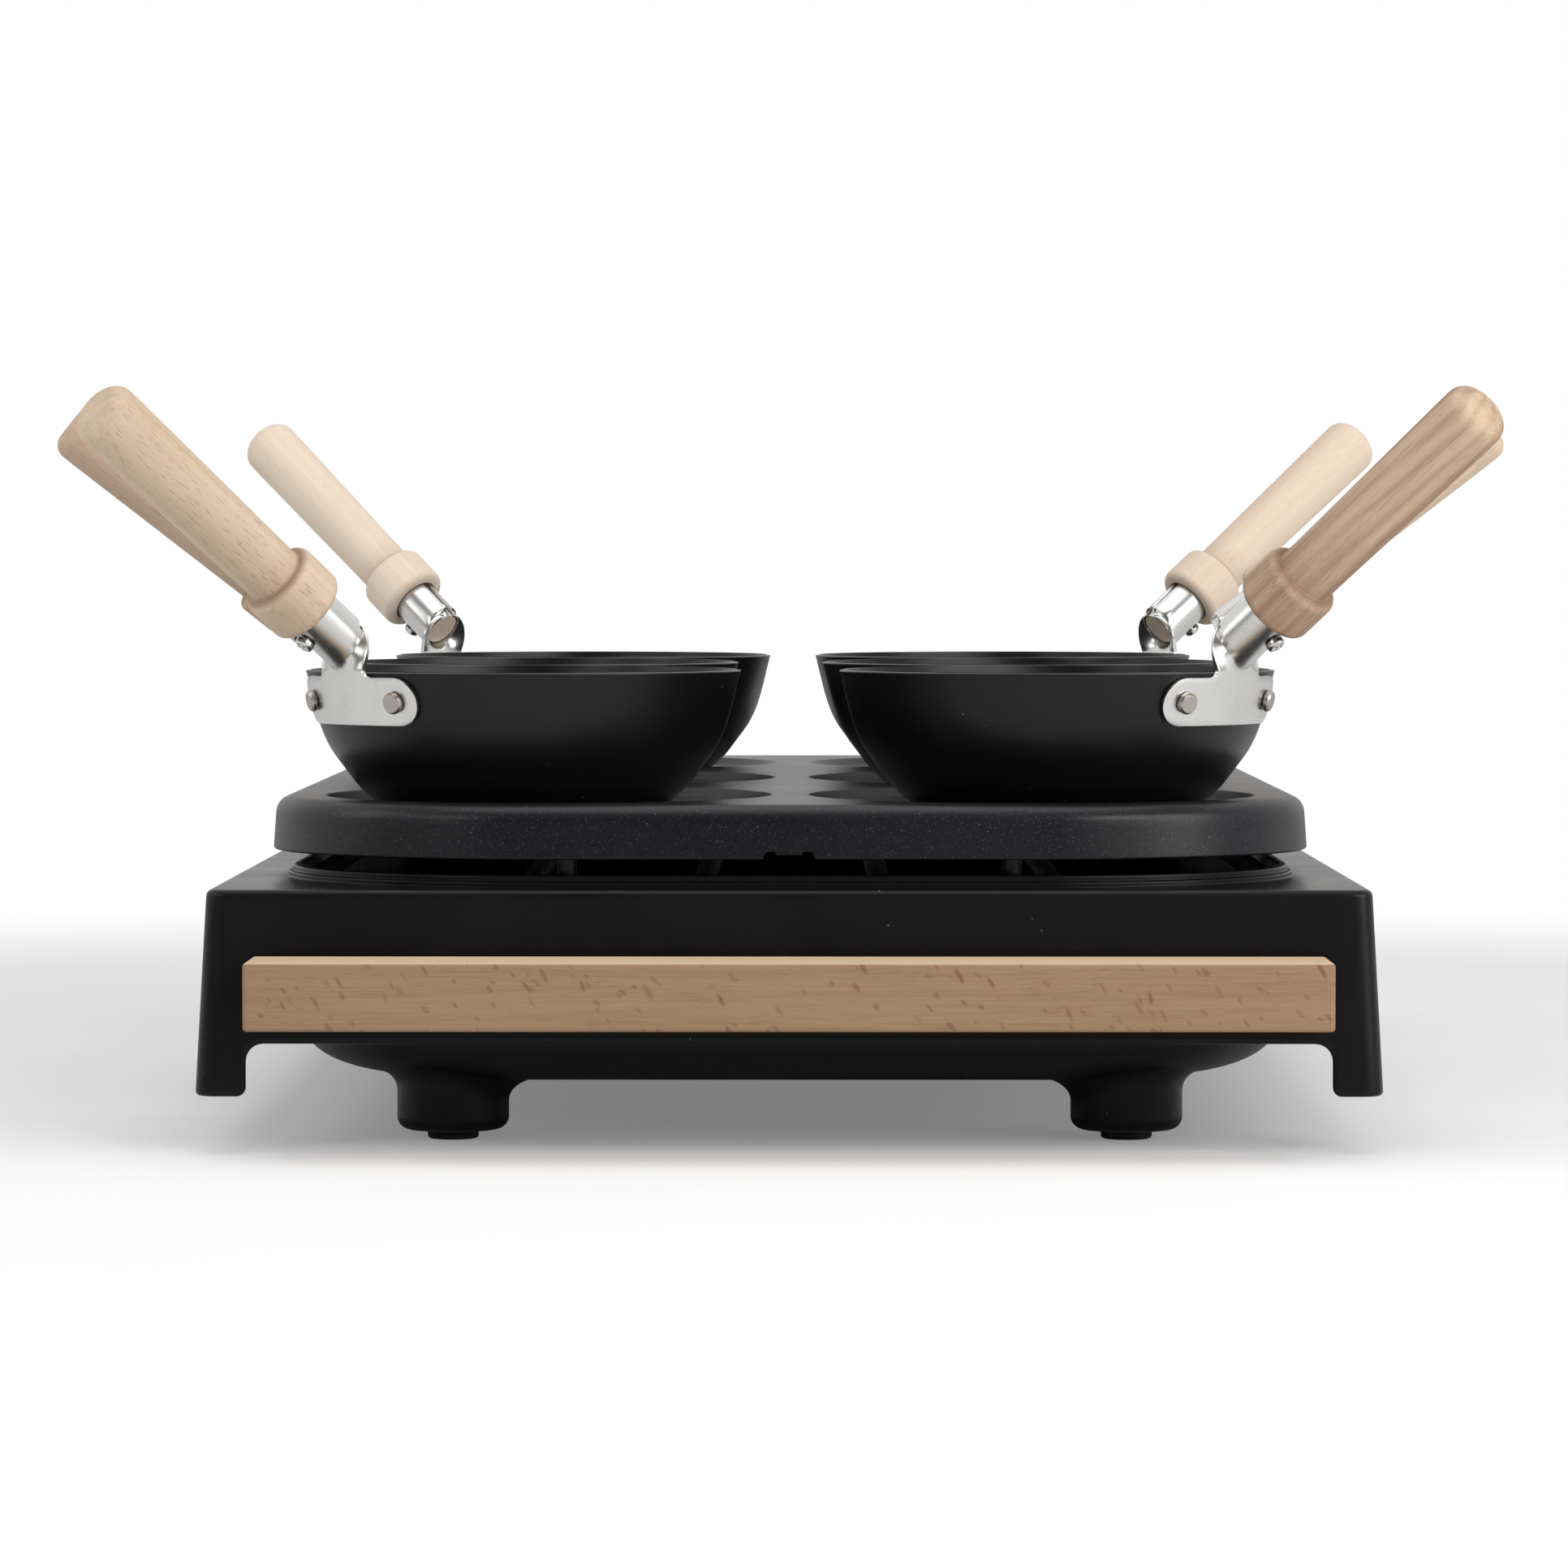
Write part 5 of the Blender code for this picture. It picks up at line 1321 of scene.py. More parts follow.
@dataclass
class Housing(SubAssembly):
    """Flared black shell with four legs, a beaded opening and holes for the fittings."""

    corner: float = 0.0055
    edge_round: float = 0.0018
    leg_width: float = 0.0134
    leg_round: float = 0.0024
    leg_fillet: float = 0.0045
    leg_inset: float = 0.0004
    gusset: float = 0.0030
    lip_outer: float = 0.0013
    lip_inner: float = 0.0008
    bead_profile: tuple = (
        (0.0, 0.0), (0.0, 0.0016), (0.0014, 0.0016),
        (0.0014, 0.0033), (0.0036, 0.0033), (0.0050, 0.0),
    )
    bead_radii: tuple = (0.0003, 0.00045, 0.00025, 0.0006, 0.0007, 0.0002)
    bead_run: float = 0.0012
    ledge: float = 0.0130
    ledge_round: float = 0.0006
    hole_corner: float = 0.0016
    hole_play: float = 0.0003
    lens_hole: float = 0.0031
    cut: tuple = (-0.006, 0.004)

    def _edge_path(self, count: int, half_low: float) -> tuple[Array, Array, Array, Array]:
        """Lower edge along one straight: leg, rounded inner corner, fillet, skirt.

        Args:
            count: Columns inside the straight.
            half_low: Distance from the middle to the corner's tangent at the leg's bottom.

        Returns:
            Distance from the corner tangent and height; the normal into the wall; whether the
            distance is from the far corner; and the column's place in its leg from 0 to 1, or
            more than 1 outside the legs.
        """
        z0, z1 = LEVELS.leg_bottom, LEVELS.skirt_bottom
        foot = self.leg_width - self.corner
        corners = [(0.0, z0), (foot, z0), (foot, z1), (half_low, z1)]
        line = rounded(corners, [self.leg_round, self.leg_fillet], 6)[1:-1]
        spare = count - 2 * len(line)
        middle = np.linspace(line[-1, 0], half_low * 2 - line[-1, 0], spare + 2)[1:-1]
        normal = left_of(unit_tangent(line))
        flat = np.stack([middle, np.full(spare, z1)], axis=1)
        places = np.vstack([line, flat, line[::-1]])
        normals = np.vstack([normal, np.tile((0.0, 1.0), (spare, 1)), normal[::-1]])
        mirrored = np.arange(count) >= count - len(line)
        inside = int((line[:, 0] < foot + 1e-6).sum())
        order = np.arange(len(line)) / (inside - 1)
        legs = np.concatenate([order, np.full(spare, 2.0), order[::-1]])
        return places, normals, mirrored, legs

    def _wall_rows(self, columns: Columns, outer: bool) -> Array:
        """Rows of the outer or inner wall from the lip to the top, as full arrays.

        A lip point (inset e, lift h) lies h along the edge's normal from the lower edge path.
        A column climbs first to a level just above the skirt's edge, where the columns of a
        leg are spread evenly over its width, and then to even places along the top.

        Args:
            columns: The columns round the wall.
            outer: Whether it is the outer wall.

        Returns:
            The grid.
        """
        wall = LEVELS.wall
        z_top = LEVELS.deck - (self.edge_round * 1.6 if outer else wall)
        z_mid = LEVELS.skirt_bottom + self.gusset
        foot = self.leg_width - self.corner
        radius = self.lip_outer if outer else self.lip_inner
        angle = np.linspace(0.0, math.pi / 2, 6)
        lip_in = radius * (1 - np.sin(angle))
        lip_up = radius * (1 - np.cos(angle))
        inset = lip_in if outer else wall - lip_in
        climbs = np.array(((0.08, 0.0), (1.0, 0.0), (1.0, 0.4), (1.0, 0.85), (1.0, 1.0)))
        insets = np.append(inset, np.full(len(climbs), 0.0 if outer else wall))[:, None]
        lifts = np.append(lip_up, np.full(len(climbs), radius))[:, None]
        first, second = np.vstack([np.zeros((len(angle), 2)), climbs]).T[:, :, None]
        share = np.zeros((len(insets), len(columns.corner)))
        height = LEVELS.leg_bottom + lifts + 0.0 * share
        height = height + (z_mid - height) * first + (z_top - z_mid) * second
        for q in range(4):
            half = LEVELS.half_y if q % 2 == 0 else LEVELS.half_x
            chosen = (columns.corner == q) & (columns.share > 0.0)
            count = int(chosen.sum())
            low = half(LEVELS.leg_bottom)
            places, normals, mirrored, legs = self._edge_path(count, low - self.corner)
            u = places[None, :, 0] + lifts * normals[None, :, 0]
            z = places[None, :, 1] + lifts * normals[None, :, 1]
            t = (half(z) - low + u) / (2 * (half(z) - self.corner))
            drift = half(z_mid) - low
            spread = self.leg_inset + (foot + drift - self.leg_inset) * legs
            u_mid = np.where(legs <= 1.0, spread, places[:, 0] + drift)
            t_mid = (u_mid / (2 * (half(z_mid) - self.corner)))[None]
            t = t + (t_mid - t) * first
            t = np.where(mirrored[None], 1 - t, t)
            top = ((np.arange(count) + 1) / (count + 1))[None]
            share[:, chosen] = t + (top - t) * second
            height[:, chosen] = z + (z_mid - z) * first + (z_top - z_mid) * second
        hx = LEVELS.half_x(height) - insets
        hy = LEVELS.half_y(height) - insets
        return columns.points(hx, hy, self.corner - insets + 0.0 * height, height, share)

    def mesh(self) -> Mesh:
        """Builds the shell as one closed grid, then cuts the three fitting holes.

        Returns:
            The finished mesh.
        """
        outer = Columns.make(12, 61, 55)
        bead = Columns.make(36, 37, 31)
        deck = LEVELS.deck
        under = deck - LEVELS.wall
        low = self.edge_round * 1.6
        corners = [(-low * LEVELS.draft, deck - low), (0.0, deck), (self.edge_round * 2.2, deck)]
        edge = rounded(corners, [self.edge_round], 7)
        top_rows = outer.inset(LEVELS.deck_half_x, LEVELS.deck_half_y, self.corner, edge[1:])
        steps = [(d, deck + h) for d, h in self.bead_profile]
        ledge = [(self.ledge, deck), (self.ledge, under), (self.ledge - 0.002, under)]
        radii = [*self.bead_radii, self.ledge_round, self.ledge_round]
        line = rounded([(-self.bead_run, deck), *steps, *ledge], radii, 4)
        rings = bead.inset(*LEVELS.bead, line)
        rings = np.roll(rings, -12, axis=1)
        plan = (LEVELS.half_x(under), LEVELS.half_y(under), self.corner)
        under_rows = outer.inset(*plan, np.array([(LEVELS.wall * 1.8, under)]))
        walls_out = self._wall_rows(outer, True)
        walls_in = self._wall_rows(outer, False)[::-1]
        rows = np.concatenate([walls_out, top_rows, rings, under_rows, walls_in])
        shell = Shell()
        shell.grid(rows, close_rows=True)
        return carved(welded(shell.mesh("housing")), self._holes())

    def _holes(self) -> list[Mesh]:
        """Cutters for the inlet, the switch and the lens, through the right wall.

        Returns:
            The closed cutters.
        """
        sizes = np.array([(0.0, z) for z in self.cut])
        tools = []
        for fitting in Fitting:
            size = fitting.value
            shrink = self.hole_play - size.body_rim
            plan = (size.width / 2 + shrink, size.tall / 2 + shrink, self.hole_corner)
            rows = Columns.make(3, 0, 0).inset(*plan, sizes)
            tools.append(solid("cutter", placed(capped(rows), side_frame(size.y))))
        hole = lathe(sizes + (self.lens_hole, 0.0), 32)
        tools.append(solid("cutter", placed(capped(hole), side_frame(LEVELS.pilot_y))))
        return tools

    def build(self) -> None:
        """Builds the housing and puts it in place of its CAD node."""
        show("housing_shell", self.mesh(), "housing", self.finishes.housing, sharp=40.0)


@dataclass(frozen=True)
class FittingSize:
    """Place and sizes of a rectangular fitting of the right wall, in metres."""

    y: float
    width: float
    tall: float
    rim: float
    body_rim: float
    depth: float
    back: float


class Fitting(Enum):
    """The rectangular fittings of the right wall."""

    INLET = FittingSize(0.118, 0.031, 0.022, 0.0034, 0.0016, 0.0125, 0.0014)
    SWITCH = FittingSize(0.062, 0.017, 0.025, 0.0032, 0.0016, 0.0110, 0.0012)


@dataclass
class SideFittings(SubAssembly):
    """Power inlet with three blades, rocker switch and pilot lens in the right wall."""

    flange: float = 0.0016
    corner: float = 0.0016
    soft: float = 0.0005
    pin: tuple = (0.0020, 0.0040, 0.0085)
    pins: tuple = ((-0.0065, -0.0017), (0.0, 0.0017), (0.0065, -0.0017))
    pin_root: float = 0.0008
    pivot_depth: float = 0.0030
    crown: float = 0.0042
    dip: float = 0.0016
    key_round: float = 0.0004
    key_tilt: float = math.radians(7.0)
    trunnion: float = 0.0012
    trunnion_proud: float = 0.0005
    lens: tuple = (
        (0.0, -0.005), (0.0028, -0.005), (0.0028, 0.0003), (0.0038, 0.0003), (0.0038, 0.0013),
        (0.0028, 0.0013), (0.0016, 0.0025), (0.0, 0.0027),
    )
    lens_radii: tuple = (0.0003, 0.0, 0.0002, 0.0003, 0.0002, 0.0008)

    def _body(self, size: FittingSize) -> Array:
        """Flanged box with a recess: rings from its back round its rim to the recess floor.

        Args:
            size: The fitting's sizes.

        Returns:
            The grid, with a pole at each end.
        """
        gap, face = LEVELS.gap, LEVELS.gap + self.flange
        half_x, half_y, floor = size.width / 2, size.tall / 2, size.back - size.depth
        profile = rounded(
            [(half_x, -size.depth), (size.body_rim, -size.depth), (size.body_rim, gap),
             (0.0, gap), (0.0, face), (size.rim, face), (size.rim, floor), (half_y, floor)],
            [0.0005, 0.0, 0.0003, self.soft, 0.0004, 0.0004], 4,
        )
        narrow = min(half_x, half_y)
        d = np.minimum(profile[:, 0], narrow - 0.0004)
        corner = np.minimum(np.clip(self.corner - d, 0.0005, None), narrow - d)
        return capped(Columns.make(6, 1, 1).points(half_x - d, half_y - d, corner, profile[:, 1]))

    def _pin(self) -> Array:
        """One blade with a rounded tip, standing on the recess floor.

        Returns:
            The grid, with a pole at each end.
        """
        thick, wide, tall = self.pin
        size = Fitting.INLET.value
        floor = size.back - size.depth
        corners = [(0.0, floor - self.pin_root), (0.0, floor + tall)]
        profile = rounded([*corners, (thick / 2 - 0.0001, floor + tall)], [0.0007], 5)
        d = profile[:, 0]
        corner = np.clip(0.0004 - d, 0.00005, None)
        rows = Columns.make(4, 1, 1).points(thick / 2 - d, wide / 2 - d, corner, profile[:, 1])
        return capped(rows)

    def build(self) -> None:
        """Builds the inlet, the switch and the lens."""
        size = Fitting.INLET.value
        shell = Shell()
        shell.grid(self._body(size))
        for x, y in self.pins:
            shell.grid(self._pin() + np.array((x, y, 0.0)), slot=1)
        mesh = shell.mesh("power_inlet")
        mesh.transform(side_frame(size.y))
        show("inlet_socket", mesh, "power_inlet", self.finishes.fitting, self.finishes.steel)
        self._switch()
        lens = placed(lathe(rounded(self.lens, self.lens_radii, 5), 48), side_frame(LEVELS.pilot_y))
        show("pilot_lens", solid("pilot_lens", lens), "indicator_lens", self.finishes.lens)

    def _switch(self) -> None:
        """Builds the switch body and its rocker, which rests with its upper end in.

        The rocker's section is an arc of one radius about its pivot, cut off by its floor,
        with two flat wings that meet at a dip in its crown.
        """
        size = Fitting.SWITCH.value
        place = side_frame(size.y)
        mesh = solid("switch_body", self._body(size))
        mesh.transform(place)
        show("switch_frame", mesh, "switch_body", self.finishes.fitting)
        reach = size.tall / 2 - size.rim - LEVELS.gap
        half = size.width / 2 - size.rim - LEVELS.gap
        start = math.asin(self.crown / reach)
        angle = start - (math.pi + 2 * start) * np.linspace(0.0, 1.0, 32)
        floor = -(size.depth - size.back) / 2
        arc = np.stack([reach * np.cos(angle), np.maximum(reach * np.sin(angle), floor)], axis=1)
        corners = np.vstack([[(0.0, self.crown - self.dip)], arc])
        radii = [self.key_round, *[0.0] * (len(corners) - 3), self.key_round]
        section = rounded([*corners, corners[0]], radii, 4)[:-1]
        depth = LEVELS.gap + self.flange - self.pivot_depth
        pivot = place @ Matrix.Translation((0.0, 0.0, depth))
        pivot = pivot @ Matrix.Rotation(self.key_tilt, 4, "X")
        end = half + self.trunnion_proud
        pin = [(0.0, -end), (self.trunnion, -end), (self.trunnion, end), (0.0, end)]
        pin = lathe(rounded(pin, [0.0003, 0.0003], 3), 24)
        pin = placed(pin, pivot @ Matrix.Rotation(math.pi / 2, 4, "Y"))
        key = placed(prism(section[::-1], half, self.key_round), pivot)
        key = solid("rocker_key", key, pin)
        show("rocker_key", key, "switch_rocker", self.finishes.fitting, body="rocker")


@dataclass
class BottomTub(SubAssembly):
    """Basin with an elliptical floor edge, a screwed flange and four flared foot columns."""

    inset: float = 0.00385
    wall: float = 0.0020
    bottom: float = 0.0163
    across: float = 0.0240
    up: float = 0.0120
    flange: float = 0.0090
    flange_corner: float = 0.0250
    flange_round: float = 0.0004
    rings: tuple = (0.003, 0.002, 0.004)
    past: float = 0.002
    foot_radius: float = 0.01485
    foot_round: float = 0.0034
    foot_straight: float = 0.0060
    foot_flare: float = 0.0100
    flare_shape: tuple = (0.82, 0.46)
    foot_drop: float = 0.0062
    foot_lap: tuple = (0.00004, 0.0015)
    pad_radius: float = 0.0068
    pad_proud: float = 0.0025
    pad_recess: float = 0.0020
    screw: tuple = (0.0032, 0.0022)
    shank: tuple = ((0.0, -0.0098), (0.0015, -0.0083), (0.0015, 0.0002), (0.0, 0.0002))

    @property
    def plan(self) -> tuple[float, float, float]:
        """Half width, half length and corner radius of the basin."""
        return tuple(v - self.inset for v in LEVELS.bead)

    def _basin(self, wall: float, top: float, flange: bool) -> Mesh:
        """A closed solid of the basin's outside or of its cavity.

        Its profile runs from the flat floor up the wall by a quarter ellipse, inset by the
        wall, and on round the flange. Rings a little inside each bend keep the flats flat.

        Args:
            wall: How far the solid is inset.
            top: The height of its top.
            flange: Whether it has the flange.

        Returns:
            The mesh.
        """
        angle = np.linspace(0.0, math.pi / 2, 13)
        inset = wall + (self.across - wall) * (1 - np.sin(angle))
        z = self.bottom + wall + (self.up - wall) * (1 - np.cos(angle))
        line = np.stack([inset, z], axis=1)
        floor_ring, wall_ring, run = self.rings
        ends = [(wall, z[-1] + wall_ring), (wall, top)]
        line = np.vstack([[(inset[0] + floor_ring, z[0])], line, ends])
        columns = Columns.make(30, 12, 8)
        rows = [columns.inset(*self.plan, line)]
        if flange:
            half_x, half_y, _ = self.plan
            high, radii = top + self.wall, [self.flange_round] * 2
            edge = rounded([(run, top), (0.0, top), (0.0, high), (run, high)], radii, 3)
            wide = (half_x + self.flange, half_y + self.flange, self.flange_corner)
            rows.append(columns.inset(*wide, edge))
        return solid("tub_solid", capped(np.concatenate(rows)))

    def _under(self, x: Array, y: Array) -> Array:
        """Height of the basin's underside over a point.

        With d the distance in from the basin's rounded outline, the height is the bottom plus
        up (1 - sqrt(1 - ((across - d) / across)^2)) where d is less than across.

        Args:
            x: Places across.
            y: Places along.

        Returns:
            The heights.
        """
        half_x, half_y, radius = self.plan
        dx = np.abs(x) - (half_x - radius)
        dy = np.abs(y) - (half_y - radius)
        outside = np.hypot(np.maximum(dx, 0.0), np.maximum(dy, 0.0))
        depth = radius - outside - np.minimum(np.maximum(dx, dy), 0.0)
        share = np.clip((self.across - depth) / self.across, 0.0, 0.995)
        return self.bottom + self.up * (1 - np.sqrt(1 - share**2))

    def _column(self, x: float, y: float) -> Mesh:
        """One foot column, rounded at its lower end, with a fillet up to the basin.

        The fillet is a quarter ellipse of one drop; it reaches farthest on the inner side, least
        on the outer side, and its upper end takes the basin's height there.

        Args:
            x: The column's place across.
            y: Its place along.

        Returns:
            The closed mesh.
        """
        angle = turns(96)
        outward = np.cos(angle - math.atan2(y, x))
        even, less = self.flare_shape
        sunk, lid = self.foot_lap
        flare = self.foot_flare * (even - less * outward)
        a = np.linspace(math.pi / 2, 0.0, 14)[:, None]
        edge = self.foot_radius + flare
        top = self._under(x + edge * np.cos(angle), y + edge * np.sin(angle)) + sunk
        reach = self.foot_radius + flare * (1 - np.sin(a))
        height = top - self.foot_drop * (1 - np.cos(a))
        low = [(0.0, self.pad_proud), (self.foot_radius, self.pad_proud)]
        low = rounded([*low, (self.foot_radius, self.foot_straight)], [self.foot_round], 8)
        level = 0.0 * angle
        reach = np.concatenate([low[:, :1] + level, reach, 0.94 * edge, level])
        crown = level + self.bottom + self.up
        height = np.concatenate([low[:, 1:] + level, height, top + lid, crown])
        points = np.stack([reach * np.cos(angle), reach * np.sin(angle), height], axis=-1)
        return solid("foot_column", points + np.array((x, y, 0.0)))

    def build(self) -> None:
        """Builds the basin, its pads and its screws."""
        bottom = LEVELS.flange_top - self.wall
        corners = [(sx, sy) for sy in (-1, 1) for sx in (-1, 1)]
        columns = [self._column(sx * LEVELS.foot_x, sy * LEVELS.foot_y) for sx, sy in corners]
        basin = carved(self._basin(0.0, bottom, True), columns, "UNION")
        cavity = self._basin(self.wall, LEVELS.flange_top + self.past, False)
        basin = carved(basin, [cavity])
        show("tub_basin", basin, "bottom_tub", self.finishes.tub, sharp=34.0)
        top, wide = self.pad_proud + self.pad_recess - LEVELS.gap, self.pad_radius
        pad = rounded([(0.0, 0.0), (wide, 0.0), (wide, top), (0.0, top)], [0.0009, 0.0004], 5)
        pad = lathe(pad, 56)
        head = screw_head(*self.screw, 0.0)
        shank = lathe(rounded(self.shank, [0.0002, 0.0], 3), 24)
        names = [f"{r}_{s}" for r in ("front", "rear") for s in ("left", "right")]
        for name, (sx, sy) in zip(names, corners):
            mesh = solid("pad", pad + np.array((sx * LEVELS.foot_x, sy * LEVELS.foot_y, 0.0)))
            show(f"{name}_pad", mesh, f"foot_pad_{name}", self.finishes.rubber)
            boss = (sx * LEVELS.boss_x, sy * LEVELS.boss_y, bottom - LEVELS.gap)
            place = Matrix.Translation(boss) @ Matrix.Rotation(math.pi, 4, "X")
            place = place @ Matrix.Rotation(0.4 * sx + sy, 4, "Z")
            mesh = solid("tub_screw", placed(head, place), placed(shank, place))
            show(f"{name}_tub_screw", mesh, f"tub_screw_{name}", self.finishes.steel)


@dataclass
class EndBars(SubAssembly):
    """The beech bars across the two ends, with softly rounded edges."""

    half: float = 0.1387
    bottom: float = 0.0338
    height: float = 0.0176
    reach: float = 0.0277
    edge: float = 0.0011

    def build(self) -> None:
        """Builds both bars, their backs against the leaning end walls."""
        top = self.bottom + self.height
        end = LEVELS.deck_half_y + self.reach
        back_low, back_top = (LEVELS.half_y(z) + LEVELS.gap for z in (self.bottom, top))
        corners = [(back_low, self.bottom), (end, self.bottom), (end, top), (back_top, top)]
        rear = closed_rounded(corners, self.edge, 5)
        front = (rear * np.array((-1.0, 1.0)))[::-1]
        for name, section in (("front", front), ("rear", rear)):
            mesh = solid("wood_bar", prism(section, self.half, self.edge))
            show(f"{name}_bar", mesh, f"{name}_wood_bar", self.finishes.bar)


@dataclass
class HeatDeck(SubAssembly):
    """Reflector tray, heating element and what is fixed to them."""

    sheet: float = 0.0008
    flange_bottom: float = 0.0687
    floor_bottom: float = 0.0442
    wall_inset: float = 0.0133
    edge_inset: float = 0.0053
    floor_round: float = 0.0060
    edge_radii: tuple = (0.0004, 0.0002, 0.0002, 0.0010)
    floor_run: float = 0.05
    radius: float = 0.00325
    hole_play: float = 0.0003
    cut: float = 0.003
    pitch: float = 0.050
    straight: float = 0.120
    bend: float = 0.012
    height: float = 0.0610
    tail: float = 0.012

    def _tray(self) -> Mesh:
        """The tray as one closed grid: outside up, round the flange, inside down.

        Returns:
            The mesh, with its two holes for the element's tails.
        """
        floor, ledge, top = self.floor_bottom, self.flange_bottom, self.flange_bottom + self.sheet
        outer, inner, edge = self.wall_inset, self.wall_inset + self.sheet, self.edge_inset
        profile = rounded(
            [(self.floor_run, floor), (outer, floor), (outer, ledge), (edge, ledge), (edge, top),
             (inner, top), (inner, floor + self.sheet), (self.floor_run, floor + self.sheet)],
            [self.floor_round, *self.edge_radii, self.floor_round - self.sheet], 6,
        )
        grid = Columns.make(32, 12, 8).inset(*LEVELS.bead, profile)
        wide, low, high = self.radius + self.hole_play, floor - self.cut, floor + self.cut
        hole = lathe(np.array([(0.0, low), (wide, low), (wide, high), (0.0, high)]), 32)
        spots = [(sign * 1.5 * self.pitch, self.straight + self.bend, 0.0) for sign in (-1, 1)]
        tools = [solid("tail_hole", hole + np.array(spot)) for spot in spots]
        return carved(solid("tray", capped(grid)), tools)

    def _path(self) -> Array:
        """Centre line: a turned-down tail, four runs joined by three half circles, a tail.

        Returns:
            The points, at most a hundred and fiftieth of the length apart.
        """
        lines = (np.arange(4) - 1.5) * self.pitch
        angle = np.linspace(0.0, math.pi / 2, 10)
        tail_y = self.straight + self.bend * np.cos(angle)
        tail_z = self.height - self.bend * (1 - np.sin(angle))
        low = (lines[0], self.straight + self.bend, self.floor_bottom - self.tail)
        head = np.vstack([[low], np.stack([np.full(10, lines[0]), tail_y, tail_z], axis=1)])
        parts = [head]
        turn = np.linspace(0.0, math.pi, 25)
        for run in range(3):
            side = -1 if run % 2 == 0 else 1
            x = lines[run] + self.pitch / 2 * (1 - np.cos(turn))
            y = side * (self.straight + self.pitch / 2 * np.sin(turn))
            parts.append(np.stack([x, y, np.full(25, self.height)], axis=1))
        path = np.vstack([*parts, head[::-1] * np.array((-1.0, 1.0, 1.0))])
        place = np.append(0.0, np.cumsum(np.linalg.norm(np.diff(path, axis=0), axis=1)))
        fine = np.unique(np.concatenate([place, np.linspace(0.0, place[-1], 150)]))
        fine = fine[np.append(True, np.diff(fine) > 1e-4)]
        return np.stack([np.interp(fine, place, path[:, i]) for i in range(3)], axis=1)

    def build(self) -> None:
        """Builds the tray and the element, and dresses the pieces that stay."""
        show("tray_pan", self._tray(), "reflector_tray", self.finishes.shade_dark_sheet, sharp=40.0)
        rod = solid("element_rod", tube(self._path(), self.radius, 24))
        show("element_rod", rod, "heating_element", self.finishes.sheath, sharp=60.0)
        dress(self.finishes.shade_dark_sheet, "element_support_front", "element_support_rear")
        dress(self.finishes.sheath, "thermal_cutout")
        dress(self.finishes.ceramic, "terminal_block")


